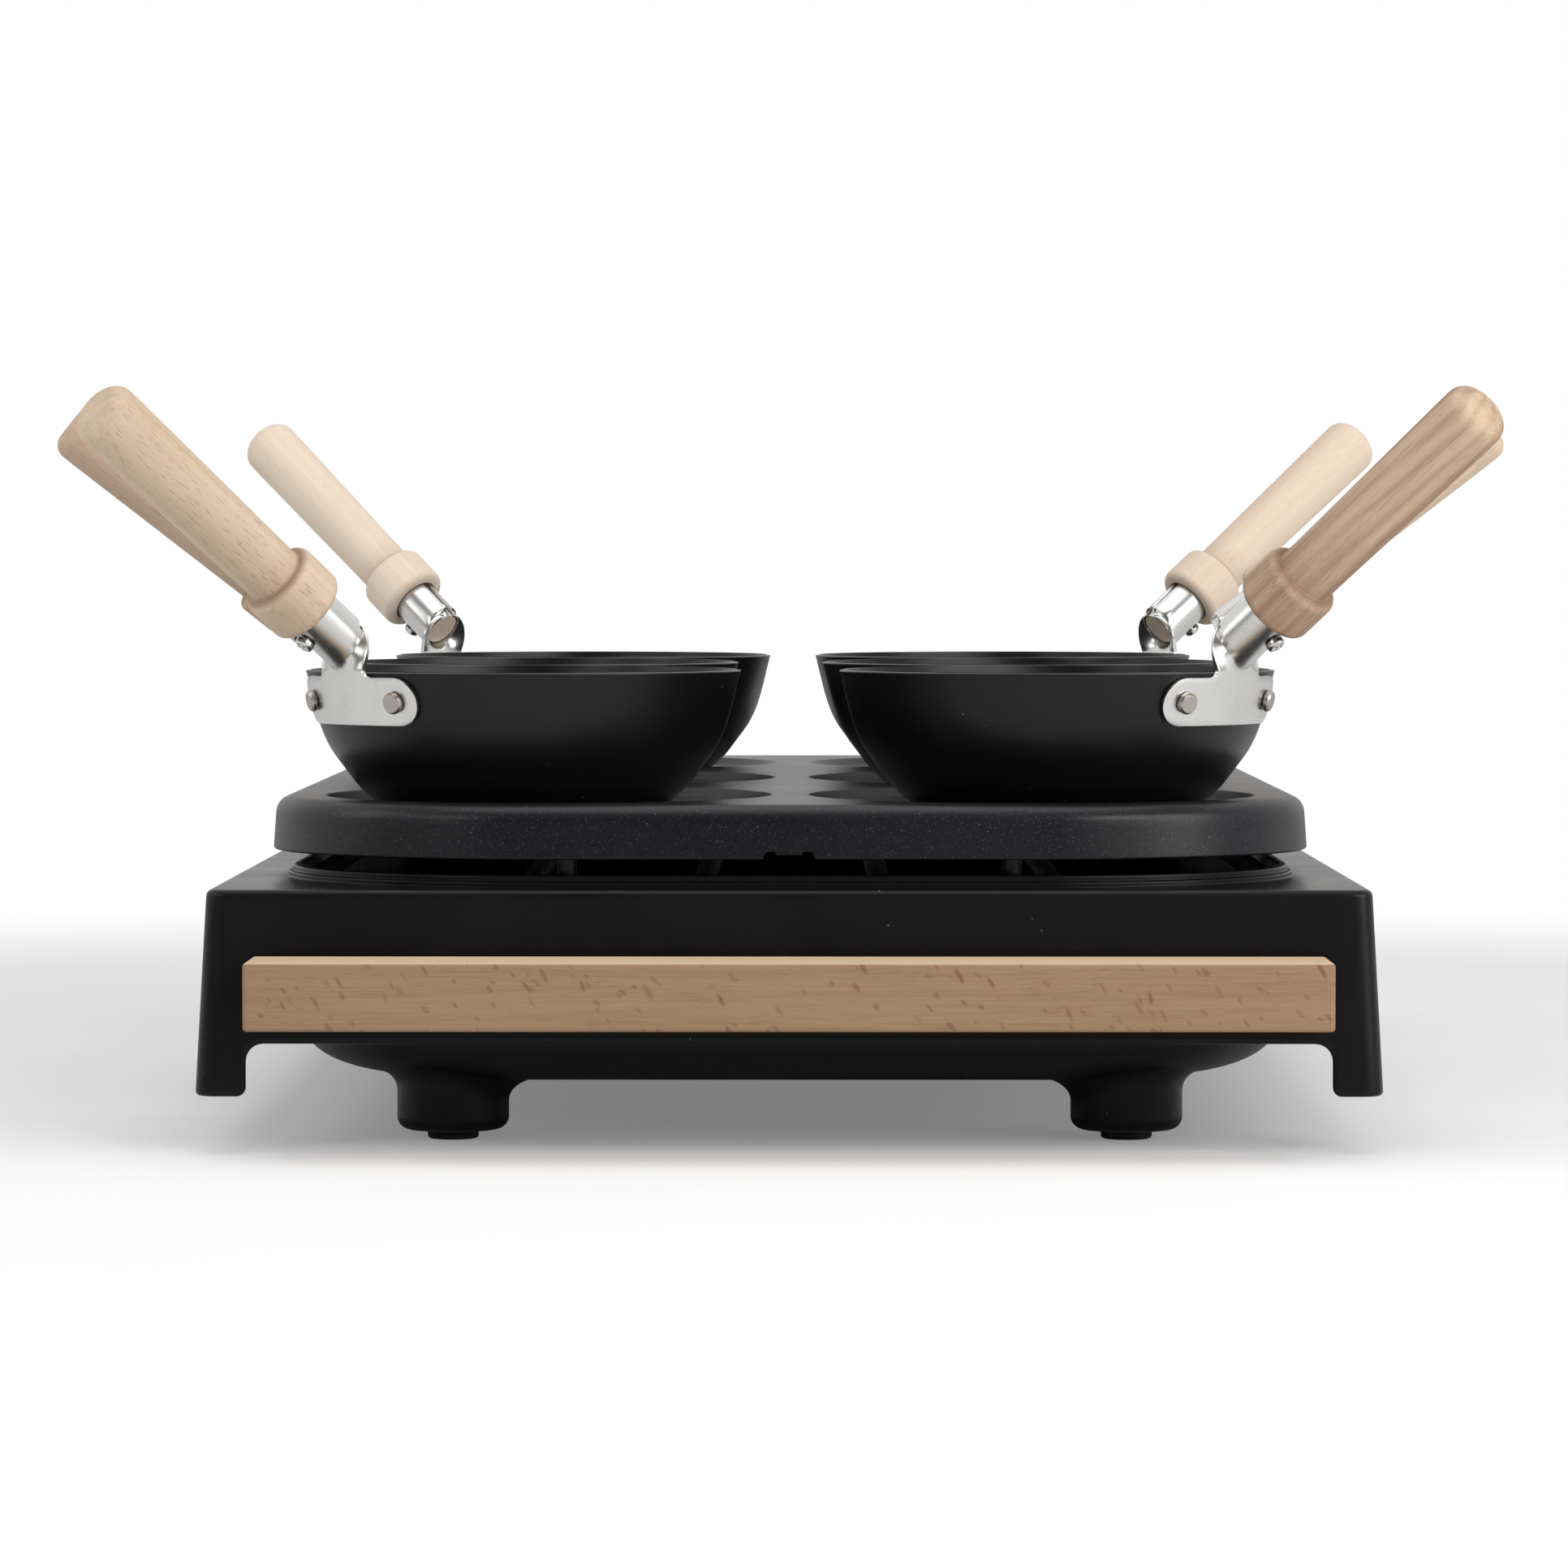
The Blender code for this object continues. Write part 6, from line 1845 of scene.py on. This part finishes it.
@dataclass
class GriddlePlate(SubAssembly):
    """Cast plate: drafted skirt, rounded top edge, six moulds, lugs and an end notch."""

    side_overhang: float = 0.0039
    end_overhang: float = 0.00335
    corner: float = 0.072
    draft: float = math.tan(math.radians(4.0))
    edge_round: float = 0.0046
    edge_run: float = 0.0078
    skirt_radii: tuple = (0.0010, 0.0005, 0.0006)
    skin: float = 0.0070
    rim_wall: float = 0.0045
    rim_run: float = 0.004
    mould_radius: float = 0.0600
    mould_wall: float = 0.0032
    mould_edge: float = 0.0003
    mould_radii: tuple = (0.0012, 0.0045)
    collar: float = 0.0014
    lug_bottom: float = 0.0698
    lug_radii: tuple = (0.0025, 0.0030)
    lug_root: float = 0.001
    lug_round: float = 0.0005
    lug_along: float = 0.058
    lug_inset: float = 0.012
    notch: tuple = (0.0139, 0.0120, 0.0021)
    notch_lump: tuple = (0.0070, 0.0008)
    notch_round: float = 0.00018
    past: tuple = (0.002, 0.003)

    @property
    def plan(self) -> tuple[float, float]:
        """Half width and half length over the lower edge."""
        half_x, half_y, _ = LEVELS.bead
        return half_x + self.side_overhang, half_y + self.end_overhang

    def _top(self, shell: Shell, outer: Array, holes: list[Array], z: float) -> None:
        """Fills the flat top between the outer ring and the six mould rings.

        A constrained triangulation of all the rings gives triangles inside the outer ring;
        those whose middle lies inside a mould are left out.

        Args:
            shell: The shell to add to.
            outer: The ring round the top.
            holes: The rings of the moulds.
            z: The height of the top.
        """
        loops = [outer, *holes]
        flat = np.concatenate([loop[:, :2] for loop in loops])
        edges, start = [], 0
        for loop in loops:
            index = np.arange(start, start + len(loop))
            edges.append(np.stack([index, np.roll(index, -1)], axis=1))
            start += len(loop)
        pairs = [tuple(pair) for pair in np.concatenate(edges).tolist()]
        made = delaunay_2d_cdt([Vector(p) for p in flat.tolist()], pairs, [], 1, 1e-7)
        points = np.array([tuple(v) for v in made[0]])
        faces = np.array([f for f in made[2] if len(f) == 3])
        middles = points[faces].mean(axis=1)
        reach = self.mould_radius + self.collar * 0.98
        inside = np.zeros(len(faces), bool)
        for x, y in self._places():
            inside |= np.hypot(middles[:, 0] - x, middles[:, 1] - y) < reach
        a, b, c = (points[faces[:, i]] for i in range(3))
        area = (b[:, 0] - a[:, 0]) * (c[:, 1] - a[:, 1]) - (b[:, 1] - a[:, 1]) * (c[:, 0] - a[:, 0])
        faces = np.where(area[:, None] > 0, faces, faces[:, ::-1])[~inside]
        first = shell.add(np.column_stack([points, np.full(len(points), z)]))
        shell.face(faces + first)

    @staticmethod
    def _places() -> list[tuple[float, float]]:
        """Middles of the six moulds."""
        x, y = LEVELS.mould_x, LEVELS.mould_y
        return [(side.value * x, row.value * y) for row in Row for side in Side]

    def mesh(self) -> Mesh:
        """Builds the plate as one closed shell and cuts its two end notches.

        Returns:
            The finished mesh.
        """
        low, top, floor = LEVELS.plate_bottom, LEVELS.plate_top, LEVELS.mould_floor
        under = top - self.skin
        lean = (top - low) * self.draft
        rim, reach = self.rim_wall, self.mould_radius
        half_x, half_y = self.plan
        profile = rounded(
            [(rim + self.rim_run, under), (rim, under), (rim, low), (0.0, low), (lean, top),
             (lean + self.edge_run, top)],
            [*self.skirt_radii, self.edge_round], 8,
        )
        grid = Columns.make(36, 17, 11).inset(half_x, half_y, self.corner, profile)
        shell = Shell()
        shell.grid(capped(grid)[:-1])
        bowl = rounded(
            [(reach + self.collar, top), (reach + self.mould_edge, top),
             (reach - self.mould_wall, floor), (0.0, floor)],
            self.mould_radii, 8,
        )
        dish = lathe(bowl, 112)
        holes = []
        for x, y in self._places():
            spot = dish + np.array((x, y, 0.0))
            shell.grid(spot)
            holes.append(spot[0, ::-1])
        self._top(shell, grid[-1], holes, top)
        narrow, wide = self.lug_radii
        root = under + self.lug_root
        lug = [(0.0, self.lug_bottom), (narrow, self.lug_bottom), (wide, root), (0.0, root)]
        lug = lathe(rounded(lug, [self.lug_round, 0.0], 4), 28)
        inset = self.lug_inset
        for x, y in ((self.lug_along, half_y - inset), (half_x - inset, self.lug_along)):
            for sx, sy in product((-1, 1), repeat=2):
                shell.grid(lug + np.array((sx * x, sy * y, 0.0)), slot=1)
        return carved(welded(shell.mesh("plate")), [self._notch(sign) for sign in (-1, 1)])

    def _notch(self, sign: int) -> Mesh:
        """Cutter of the small stepped notch in one end's lower edge.

        Args:
            sign: -1 for the front end, 1 for the rear one.

        Returns:
            The closed cutter.
        """
        width, top_width, height = self.notch
        lump_width, lump = self.notch_lump
        low, end = LEVELS.plate_bottom, self.plan[1]
        high, wide = low + height, width / 2
        lump_x = lump_width / 2
        past, below = self.past
        side = [(top_width / 2, high), (lump_x, high), (lump_x, high - lump)]
        corners = [(-wide, low - below), (wide, low - below), (wide, low), *side]
        corners += [*((-x, z) for x, z in reversed(side)), (-wide, low)]
        x, z = closed_rounded(corners, self.notch_round, 3).T
        reaches = (end - self.rim_wall - past, end + past)
        rows = np.stack([np.stack([x, np.full(len(x), sign * y), z], axis=1) for y in reaches])
        return solid("notch", capped(rows[:, ::-1] if sign > 0 else rows))

    def build(self) -> None:
        """Builds the plate and puts it in place of its CAD node."""
        looks = (self.finishes.cast, self.finishes.tub)
        show("plate_casting", self.mesh(), "griddle_plate", *looks, body="griddle", sharp=32.0)


@dataclass
class MiniWok(SubAssembly):
    """One mini wok: pan, sheet bracket with rolled ferrule, handle, two rivets and a screw."""

    row: Row
    side: Side
    shift: float
    degrees: float
    radius: float = 0.0588
    height: float = 0.0363
    wall: float = 0.0014
    foot: float = 0.0392
    foot_rings: tuple = (0.003, 0.0003)
    foot_round: float = 0.0020
    shares: tuple = ((0.24, 0.10), (0.48, 0.28), (0.69, 0.43), (0.82, 0.59))
    rim_ring: float = 0.00018
    play: float = 0.0163
    sheet: float = 0.0012
    sheet_soft: float = 0.00022
    plate_height: float = 0.0126
    plate_drop: float = 0.0012
    half_span: float = 0.0252
    half_neck: float = 0.0092
    flare: float = 0.0030
    rise: float = 0.0012
    bend: float = 0.0020
    ferrule_radius: float = 0.0071
    ferrule_length: float = 0.0206
    mouth: float = 0.0028
    half_wrap: float = math.radians(170.0)
    tilt: float = math.radians(38.6)
    rivet_offset: float = 0.0184
    rivet_play: float = 0.0002
    rivet_tail: tuple = ((0.0, -0.0009), (0.0027, -0.0009), (0.0027, 0.0), (0.0016, 0.0))
    rivet_head: tuple = (
        (0.0016, 0.0), (0.0029, 0.0), (0.0029, 0.0010), (0.0024, 0.0016), (0.0, 0.0016),
    )
    rivet_radii: tuple = (0.0004, 0.0, 0.0, 0.0, 0.0002, 0.0002, 0.00025)
    screw: tuple = (0.0025, 0.0017)
    screw_back: float = 0.0045
    shank: tuple = (0.0012, 0.0022, 0.0034, 0.0005)
    handle_length: float = 0.0842
    neck: float = 0.0081
    grip: tuple = (0.0082, 0.0089)
    collar_radius: float = 0.0109
    collar_length: float = 0.0140
    seat: float = 0.0035
    tenon_fit: float = 0.985
    tenon_start: float = 0.0004
    turned_radii: tuple = (0.0003, 0.0, 0.0, 0.0004, 0.0024, 0.0024, 0.0007)
    tip_round: float = 0.0044
    crease: float = 0.0009

    @property
    def name(self) -> str:
        """The wok's name, such as front_left."""
        return f"{self.row.name.lower()}_{self.side.name.lower()}"

    @property
    def place(self) -> Matrix:
        """The wok's place.

        Returns:
            Its frame: the middle of its foot, with X along its handle.
        """
        x = self.side.value * (LEVELS.mould_x + self.shift * self.play)
        turn = self.side.value * math.radians(self.degrees) - math.pi / 2
        spot = Matrix.Translation((x, self.row.value * LEVELS.mould_y, LEVELS.pan_bottom))
        return spot @ Matrix.Rotation(turn, 4, "Z")

    @property
    def handle_start(self) -> float:
        """Where the handle's collar begins along the ferrule's axis."""
        return self.ferrule_length - self.seat + LEVELS.gap

    def _show(
        self, piece: str, mesh: Mesh, node: str, *looks: Material, sharp: float = 38.0
    ) -> None:
        """Shows one piece of the wok in place of one of its CAD nodes.

        Args:
            piece: The piece's name without the wok's.
            mesh: Its mesh.
            node: The CAD node's name without the wok's.
            looks: Its materials.
            sharp: Angle in degrees past which an edge is sharp.
        """
        body = f"{self.name}_wok"
        show(f"{self.name}_{piece}", mesh, f"{body}_{node}", *looks, body=body, sharp=sharp)

    def _outline(self) -> Array:
        """Corner points of the outer wall.

        Returns:
            Rows of (radius, height), from foot to rim.
        """
        run = self.radius - self.foot
        inner = [(self.foot + run * a, self.height * b) for a, b in self.shares]
        return np.array([(self.foot, 0.0), *inner, (self.radius, self.height)])

    def _wall_radius(self, z: Any) -> Any:
        """Outer radius at a height, straight on above the rim.

        Args:
            z: The height or heights.

        Returns:
            The radius at each.
        """
        line = self._outline()
        slope = (line[-1, 0] - line[-2, 0]) / (line[-1, 1] - line[-2, 1])
        beyond = np.maximum(z - line[-1, 1], 0.0) * slope
        return np.interp(z, line[:, 1], line[:, 0]) + beyond

    @property
    def lean(self) -> float:
        """Lean of the upper wall from the vertical."""
        run, rise = np.diff(self._outline()[-2:], axis=0)[0]
        return math.atan2(run, rise)

    def pan(self) -> None:
        """Turns the pan: outer curve up to a flat rim with round edges, then the inner curve.

        A point of the rim's cap at angle a from its outer edge lies sign(cos a) |cos a|^0.45
        half walls across from the rim's middle and 0.4 (sin a)^0.6 half walls above it.
        """
        corners = self._outline()
        corners[1:-1] = (corners[:-2] + 4 * corners[1:-1] + corners[2:]) / 6
        outer = smooth_line(corners, 7)
        start = [*((self.foot - run, 0.0) for run in self.foot_rings), *outer[4:8:3]]
        foot = rounded(start, [self.foot_round, 0.0], 6)[:-1]
        last = outer[-1] - outer[-2]
        near = outer[-1] - last * (self.rim_ring / float(np.hypot(*last)))
        outer = np.vstack([foot, outer[8:-1], near, outer[-1]])
        inner = offset_line(outer, self.wall)
        angle = np.linspace(0.0, math.pi, 13)[1:-1, None]
        reach = np.sign(np.cos(angle)) * np.abs(np.cos(angle)) ** 0.45
        rim = (outer[-1] + inner[-1]) / 2
        along = (outer[-1] - inner[-1]) / 2
        up = np.array((-along[1], along[0]))
        cap = rim + reach * along + np.sin(angle) ** 0.6 * up * 0.4
        lift = self.height - cap[:, 1].max()
        inner[inner[:, 1] < self.wall, 1] = self.wall
        cap[:, 1] += lift
        outer[-1, 1] += lift
        inner[-1, 1] += lift
        shell = Shell()
        shell.grid(lathe(np.vstack([[(0.0, 0.0)], outer, cap[:3]]), 160))
        shell.grid(lathe(np.vstack([cap[2:], inner[::-1], [(0.0, self.wall)]]), 160), slot=1)
        mesh = welded(shell.mesh("pan"))
        mesh.transform(self.place)
        looks = (self.finishes.wok_outside, self.finishes.wok_inside)
        self._show("pan_body", mesh, "pan", *looks, sharp=50.0)

    def _neck_line(self) -> tuple[Array, Array, Array]:
        """The neck's first and last point and its last heading, in the plane of the handle.

        Returns:
            Where the strip leaves the plate and where its bend ends, as (x, z), and the unit
            vector along the ferrule.
        """
        z = self.height - self.plate_drop + self.rise
        first = np.array((float(self._wall_radius(z)) + LEVELS.gap, z))
        wall = math.pi / 2 - self.lean
        along = np.array((math.cos(self.tilt), math.sin(self.tilt)))
        bend = np.array((math.sin(wall) - along[1], along[0] - math.cos(wall))) * self.bend
        return first, first + bend, along

    def _axis(self) -> Matrix:
        """The ferrule's place on the wok.

        Returns:
            The frame of its mouth: Z out along the handle, X down and outwards.
        """
        _, end, along = self._neck_line()
        inner = self.ferrule_radius - self.sheet
        spot = Matrix.Translation((end[0] - inner * along[1], 0.0, end[1] + inner * along[0]))
        return spot @ Matrix.Rotation(math.pi / 2 - self.tilt, 4, "Y")

    def _plate_rows(self) -> Array:
        """The wrapped plate between its lower and upper edge, with rounded ends.

        A column at arc length s stands at angle s / r on the wall's cone. Its height runs from
        the middle minus to plus the spread sqrt(h^2 - b^2), where b is how far s lies beyond
        the straight part; towards the neck the upper edge climbs by an ellipse.

        Returns:
            The grid.
        """
        half = self.plate_height / 2
        middle = self.height - self.plate_drop - half
        end = self.half_span - half
        foot = self.half_neck + self.flare
        arc = end + half * np.sin(np.linspace(math.pi / 2, 0.0, 14))
        arc[0] -= 2e-5
        climb = foot - self.flare * (1 - np.cos(np.linspace(0.0, math.pi / 2, 8)))[1:-1]
        side = np.concatenate([arc, np.linspace(end, foot, 7)[1:], climb])
        neck = np.linspace(self.half_neck, -self.half_neck, 33)
        s = np.concatenate([side, neck, -side[::-1]])
        beyond = np.maximum(np.abs(s) - end, 0.0)
        spread = np.sqrt(np.maximum(half**2 - beyond**2, 1e-12))
        share = np.clip((foot - np.abs(s)) / self.flare, 0.0, 1.0)
        high = middle + spread + self.rise * (1 - np.sqrt(1 - share**2))
        low = middle - spread
        z = low + (high - low) * np.linspace(0.0, 1.0, 9)[:, None]
        radius = self._wall_radius(z) + LEVELS.gap
        angle = s / radius
        return np.stack([radius * np.cos(angle), radius * np.sin(angle), z], axis=-1)

    def _neck_rows(self) -> Array:
        """The neck and the ferrule, closing from a strip into a rolled tube.

        The strip's middle runs along a cubic curve from the plate's heading to the ferrule's,
        then straight. With e = t^2 (3 - 2 t), its curvature grows from the wall's to the tube's
        by e, and its half width from the neck's to the full wrap's by t^2.2. At a station with
        place (x, z), heading and radius r the strip is an arc about an axis above it:
        (x - rise sin heading, r sin a, z + rise cos heading), with rise r (1 - cos a) and a
        from wrap to -wrap.

        Returns:
            The grid.
        """
        first, end, along = self._neck_line()
        wall = math.pi / 2 - self.lean
        inner = self.ferrule_radius - self.sheet
        last = end + self.mouth * along
        chord = float(np.linalg.norm(last - first)) * 1.1
        t = np.linspace(0.0, 1.0, 23)[1:, None]
        curve = first * (2 * t**3 - 3 * t**2 + 1) + last * (3 * t**2 - 2 * t**3)
        curve = curve + np.array((math.cos(wall), math.sin(wall))) * chord * (t**3 - 2 * t**2 + t)
        curve = curve + along * chord * (t**3 - t**2)
        run = np.linspace(0.0, self.ferrule_length - self.mouth, 8)[1:, None]
        path = np.vstack([first, curve, last + run * along])
        way = np.gradient(path, axis=0)[1:]
        heading = np.arctan2(way[:, 1], way[:, 0])
        heading[len(t) - 1 :] = self.tilt
        t = np.append(t[:, 0], np.ones(len(run)))
        curl = 1 / first[0] + (1 / inner - 1 / first[0]) * t**2 * (3 - 2 * t)
        half = self.half_neck + (self.half_wrap * inner - self.half_neck) * t**2.2
        angle = (half * curl)[:, None] * np.linspace(1.0, -1.0, 33)[None]
        radius = (1 / curl)[:, None]
        rise = radius * (1 - np.cos(angle))
        x = path[1:, :1] - rise * np.sin(heading)[:, None]
        z = path[1:, 1:] + rise * np.cos(heading)[:, None]
        return np.stack([x, radius * np.sin(angle), z], axis=-1)

    def bracket(self) -> None:
        """Builds the bracket's sheet and gives it its thickness and soft edges."""
        plate, neck = self._plate_rows()[:, ::-1], self._neck_rows()[:, ::-1]
        shell = Shell()
        index = shell.grid(plate, around=False)
        first = (index.shape[1] - neck.shape[1]) // 2
        join = index[-1, first : first + neck.shape[1]]
        added = shell.add(neck) + np.arange(neck.shape[0] * neck.shape[1])
        rows = np.vstack([join, added.reshape(neck.shape[:2])])
        quads = np.stack([rows[:-1, :-1], rows[:-1, 1:], rows[1:, 1:], rows[1:, :-1]], axis=-1)
        shell.face(quads.reshape(-1, 4))
        thick = {
            "thickness": self.sheet, "offset": 1.0,
            "use_even_offset": True, "use_quality_normals": True,
        }
        soft = {
            "width": self.sheet_soft, "segments": 2, "use_clamp_overlap": True,
            "limit_method": "ANGLE", "angle_limit": math.radians(50),
        }
        mesh = baked(welded(shell.mesh("bracket"), 4e-5), [("SOLIDIFY", thick), ("BEVEL", soft)])
        mesh.transform(self.place)
        self._show("bracket_sheet", mesh, "bracket", self.finishes.steel, sharp=42.0)

    def fasteners(self) -> None:
        """Builds the two rivets and the screw under the ferrule."""
        seat = 2 * LEVELS.gap + self.sheet
        inside = -self.wall - LEVELS.gap - self.rivet_play
        tail = [(r, inside + z) for r, z in self.rivet_tail]
        head = [(r, seat + z) for r, z in self.rivet_head]
        rivet = lathe(rounded([*tail, *head], self.rivet_radii, 4), 40)
        z = self.height - self.plate_drop - self.plate_height / 2
        radius = float(self._wall_radius(z))
        tip = Matrix.Rotation(math.pi / 2 + self.lean, 4, "Y")
        for letter, sign in zip("ab", (-1, 1)):
            turn = Matrix.Rotation(sign * self.rivet_offset / radius, 4, "Z")
            place = self.place @ turn @ (Matrix.Translation((radius, 0.0, z)) @ tip)
            mesh = solid("rivet", placed(rivet, place))
            self._show(f"rivet_{letter}_pin", mesh, f"rivet_{letter}", self.finishes.rivet)
        crown = screw_head(*self.screw, self.ferrule_radius + LEVELS.gap)
        spot = Matrix.Translation((0.0, 0.0, self.handle_start - self.screw_back))
        place = self.place @ self._axis() @ spot @ Matrix.Rotation(math.pi / 2, 4, "Y")
        wide, end, shoulder, lap = self.shank
        top = self.ferrule_radius + lap
        shank = lathe(np.array([(0.0, end), (wide, shoulder), (wide, top), (0.0, top)]), 24)
        mesh = solid("screw", placed(crown, place), placed(shank, place))
        self._show("ferrule_screw", mesh, "screw", self.finishes.steel)

    def handle(self) -> None:
        """Turns the handle: tenon, seat groove, rounded collar, and a grip that swells.

        The grain gets another place in the timber for each handle. The painted shade falls off
        from the collar's end as the bell curve exp(-(d / width)^2).
        """
        start = self.handle_start
        seat, tip = start + self.seat, start + self.handle_length
        shoulder = start + self.collar_length
        groove = self.ferrule_radius + LEVELS.gap
        tenon = (self.ferrule_radius - self.sheet) * self.tenon_fit - LEVELS.gap
        low = self.mouth + self.tenon_start
        thin, thick = self.grip
        along = np.linspace(shoulder, tip, 9)[1:-1]
        swell = np.linspace(thin, thick, len(along))
        corners = [
            (0.0, low), (tenon, low), (tenon, seat), (groove, seat), (groove, start),
            (self.collar_radius, start), (self.collar_radius, shoulder), (self.neck, shoulder),
            *zip(swell, along), (thick, tip), (0.0, tip),
        ]
        radii = [*self.turned_radii, *[0.0] * len(along), self.tip_round]
        mesh = solid("handle", lathe(rounded(corners, radii, 9), 80))
        row, side = self.row.value, self.side.value
        seed = np.array((0.031 * row + 0.11, 0.027 * side + 0.05, 0.07 * row))
        points = read_points(mesh)
        apart = np.abs(points[:, 2] - shoulder)
        keep_grain(mesh, points + seed, np.exp(-((apart / self.crease) ** 2)))
        mesh.transform(self.place @ self._axis())
        self._show("grip", mesh, "handle", self.finishes.handle(self.row, self.side), sharp=44.0)

    def build(self) -> None:
        """Builds every piece of the wok."""
        for piece in (self.pan, self.bracket, self.fasteners, self.handle):
            piece()


# ---- studio


@dataclass
class Studio:
    """Pale floor, soft lights, a plain world, and the camera at the photograph's angle."""

    focal_pixels: float = 7344.0
    image_pixels: float = 1932.0
    sensor: float = 36.0
    place: tuple = (0.0058, -1.7446, 0.1527)
    pitch: float = math.radians(2.12)
    yaw: float = math.radians(0.265)
    floor_radii: tuple = (0.0, 0.4, 1.0, 3.0, 12.0)
    aim: tuple = (0.0, 0.0, 0.08)
    lamps: tuple = (
        ("right_softbox", (1.45, -0.9, 0.6), (0.8, 0.8), 13.0),
        ("left_softbox", (-1.5, -0.3, 0.8), (0.7, 0.9), 4.5),
        ("front_right_softbox", (0.85, -1.4, 0.78), (0.7, 0.5), 9.5),
        ("front_left_softbox", (-1.05, -1.25, 0.78), (0.7, 0.5), 4.5),
        ("top_softbox", (0.0, -0.3, 1.7), (1.4, 1.4), 10.0),
    )

    def _camera(self) -> None:
        """The camera worked out from the photograph."""
        data = bpy.data.cameras.new("camera")
        data.sensor_width = self.sensor
        data.lens = self.focal_pixels / self.image_pixels * self.sensor
        data.clip_start = 0.01
        camera = linked("camera", data)
        camera.location = self.place
        camera.rotation_euler = (math.pi / 2 - self.pitch, 0.0, self.yaw)
        bpy.context.scene.camera = camera

    def _floor(self) -> None:
        """A wide pale floor that turns white far from the grill for the camera; near the grill a
        fifth of it glows white for the camera, a painted light that lifts the grill's shadow.
        """
        rings = np.array([(radius, 0.0) for radius in self.floor_radii])
        floor = linked("floor", solid("floor", lathe(rings, 48)))
        made = bpy.data.materials.new("pale_floor")
        net = Net(made)
        spot = net.place()
        length = net.node("ShaderNodeVectorMath", {"operation": "LENGTH"}, {0: spot}, "Value")
        # Painted light: for the camera at least a fifth of the floor, shadow included, is white
        # glow, which lifts the grill's shadow; far out it turns wholly white.
        share = length.band(0.42, 0.95).most(0.2) * net.ray("Camera")
        tone = net.mix(net.noise(spot, 9.0, 3.0), (0.80, 0.80, 0.80), (0.83, 0.83, 0.83))
        diffuse = net.node("ShaderNodeBsdfDiffuse", {}, {"Color": tone})
        white = net.node("ShaderNodeEmission", {}, {"Color": (1, 1, 1, 1), "Strength": 1.0})
        mixed = net.node("ShaderNodeMixShader", {}, {0: share, 1: diffuse, 2: white})
        net.node("ShaderNodeOutputMaterial", {}, {"Surface": mixed})
        floor.data.materials.append(made)

    def _world(self) -> None:
        """White to the camera; to gloss bright behind and beside, dark on the camera's side."""
        world = bpy.data.worlds.new("studio")
        bpy.context.scene.world = world
        net = Net(world)
        way = net.node("ShaderNodeTexCoord", {}, {}, "Generated")
        depth, height = net.first(way, "Y"), net.first(way, "Z")
        bright = depth.band(-0.50, 0.40) * 0.95 + height.band(0.35, 0.95) * 0.35 + 0.02
        camera = net.ray("Camera")
        gloss = net.ray("Glossy").most(net.ray("Transmission"))
        strength = camera + (1 - camera) * (gloss * bright + (1 - gloss) * 0.46)
        shade = net.node("ShaderNodeBackground", {}, {"Color": (1, 1, 1, 1), "Strength": strength})
        net.node("ShaderNodeOutputWorld", {}, {"Surface": shade})

    def _lights(self) -> None:
        """Soft area lights that look at the grill."""
        for name, place, size, watts in self.lamps:
            data = bpy.data.lights.new(name, "AREA")
            data.shape = "RECTANGLE"
            data.size, data.size_y = size
            data.energy = watts
            lamp = linked(name, data)
            lamp.location = place
            way = Vector(self.aim) - Vector(place)
            lamp.rotation_euler = way.to_track_quat("-Z", "Y").to_euler()

    def build(self) -> None:
        """Sets the whole studio and the plain view transform."""
        self._camera()
        self._floor()
        self._world()
        self._lights()
        bpy.context.scene.view_settings.view_transform = "Standard"


def main() -> None:
    """Builds the studio, then the grill sub-assembly by sub-assembly."""
    logging.basicConfig(level=logging.INFO, format="%(name)s: %(message)s")
    finishes = Finishes()
    Studio().build()
    for piece in (Housing, BottomTub, EndBars, HeatDeck, SideFittings, GriddlePlate):
        piece(finishes).build()
    woks = (
        MiniWok(finishes, Row.FRONT, Side.LEFT, 0.42, 51.2),
        MiniWok(finishes, Row.FRONT, Side.RIGHT, 0.42, 51.5),
        MiniWok(finishes, Row.MIDDLE, Side.LEFT, 0.56, 81.0),
        MiniWok(finishes, Row.MIDDLE, Side.RIGHT, 0.15, 84.5),
        MiniWok(finishes, Row.REAR, Side.LEFT, 0.04, 127.3),
        MiniWok(finishes, Row.REAR, Side.RIGHT, 0.03, 120.0),
    )
    for wok in woks:
        wok.build()


if __name__ == "__main__":
    main()
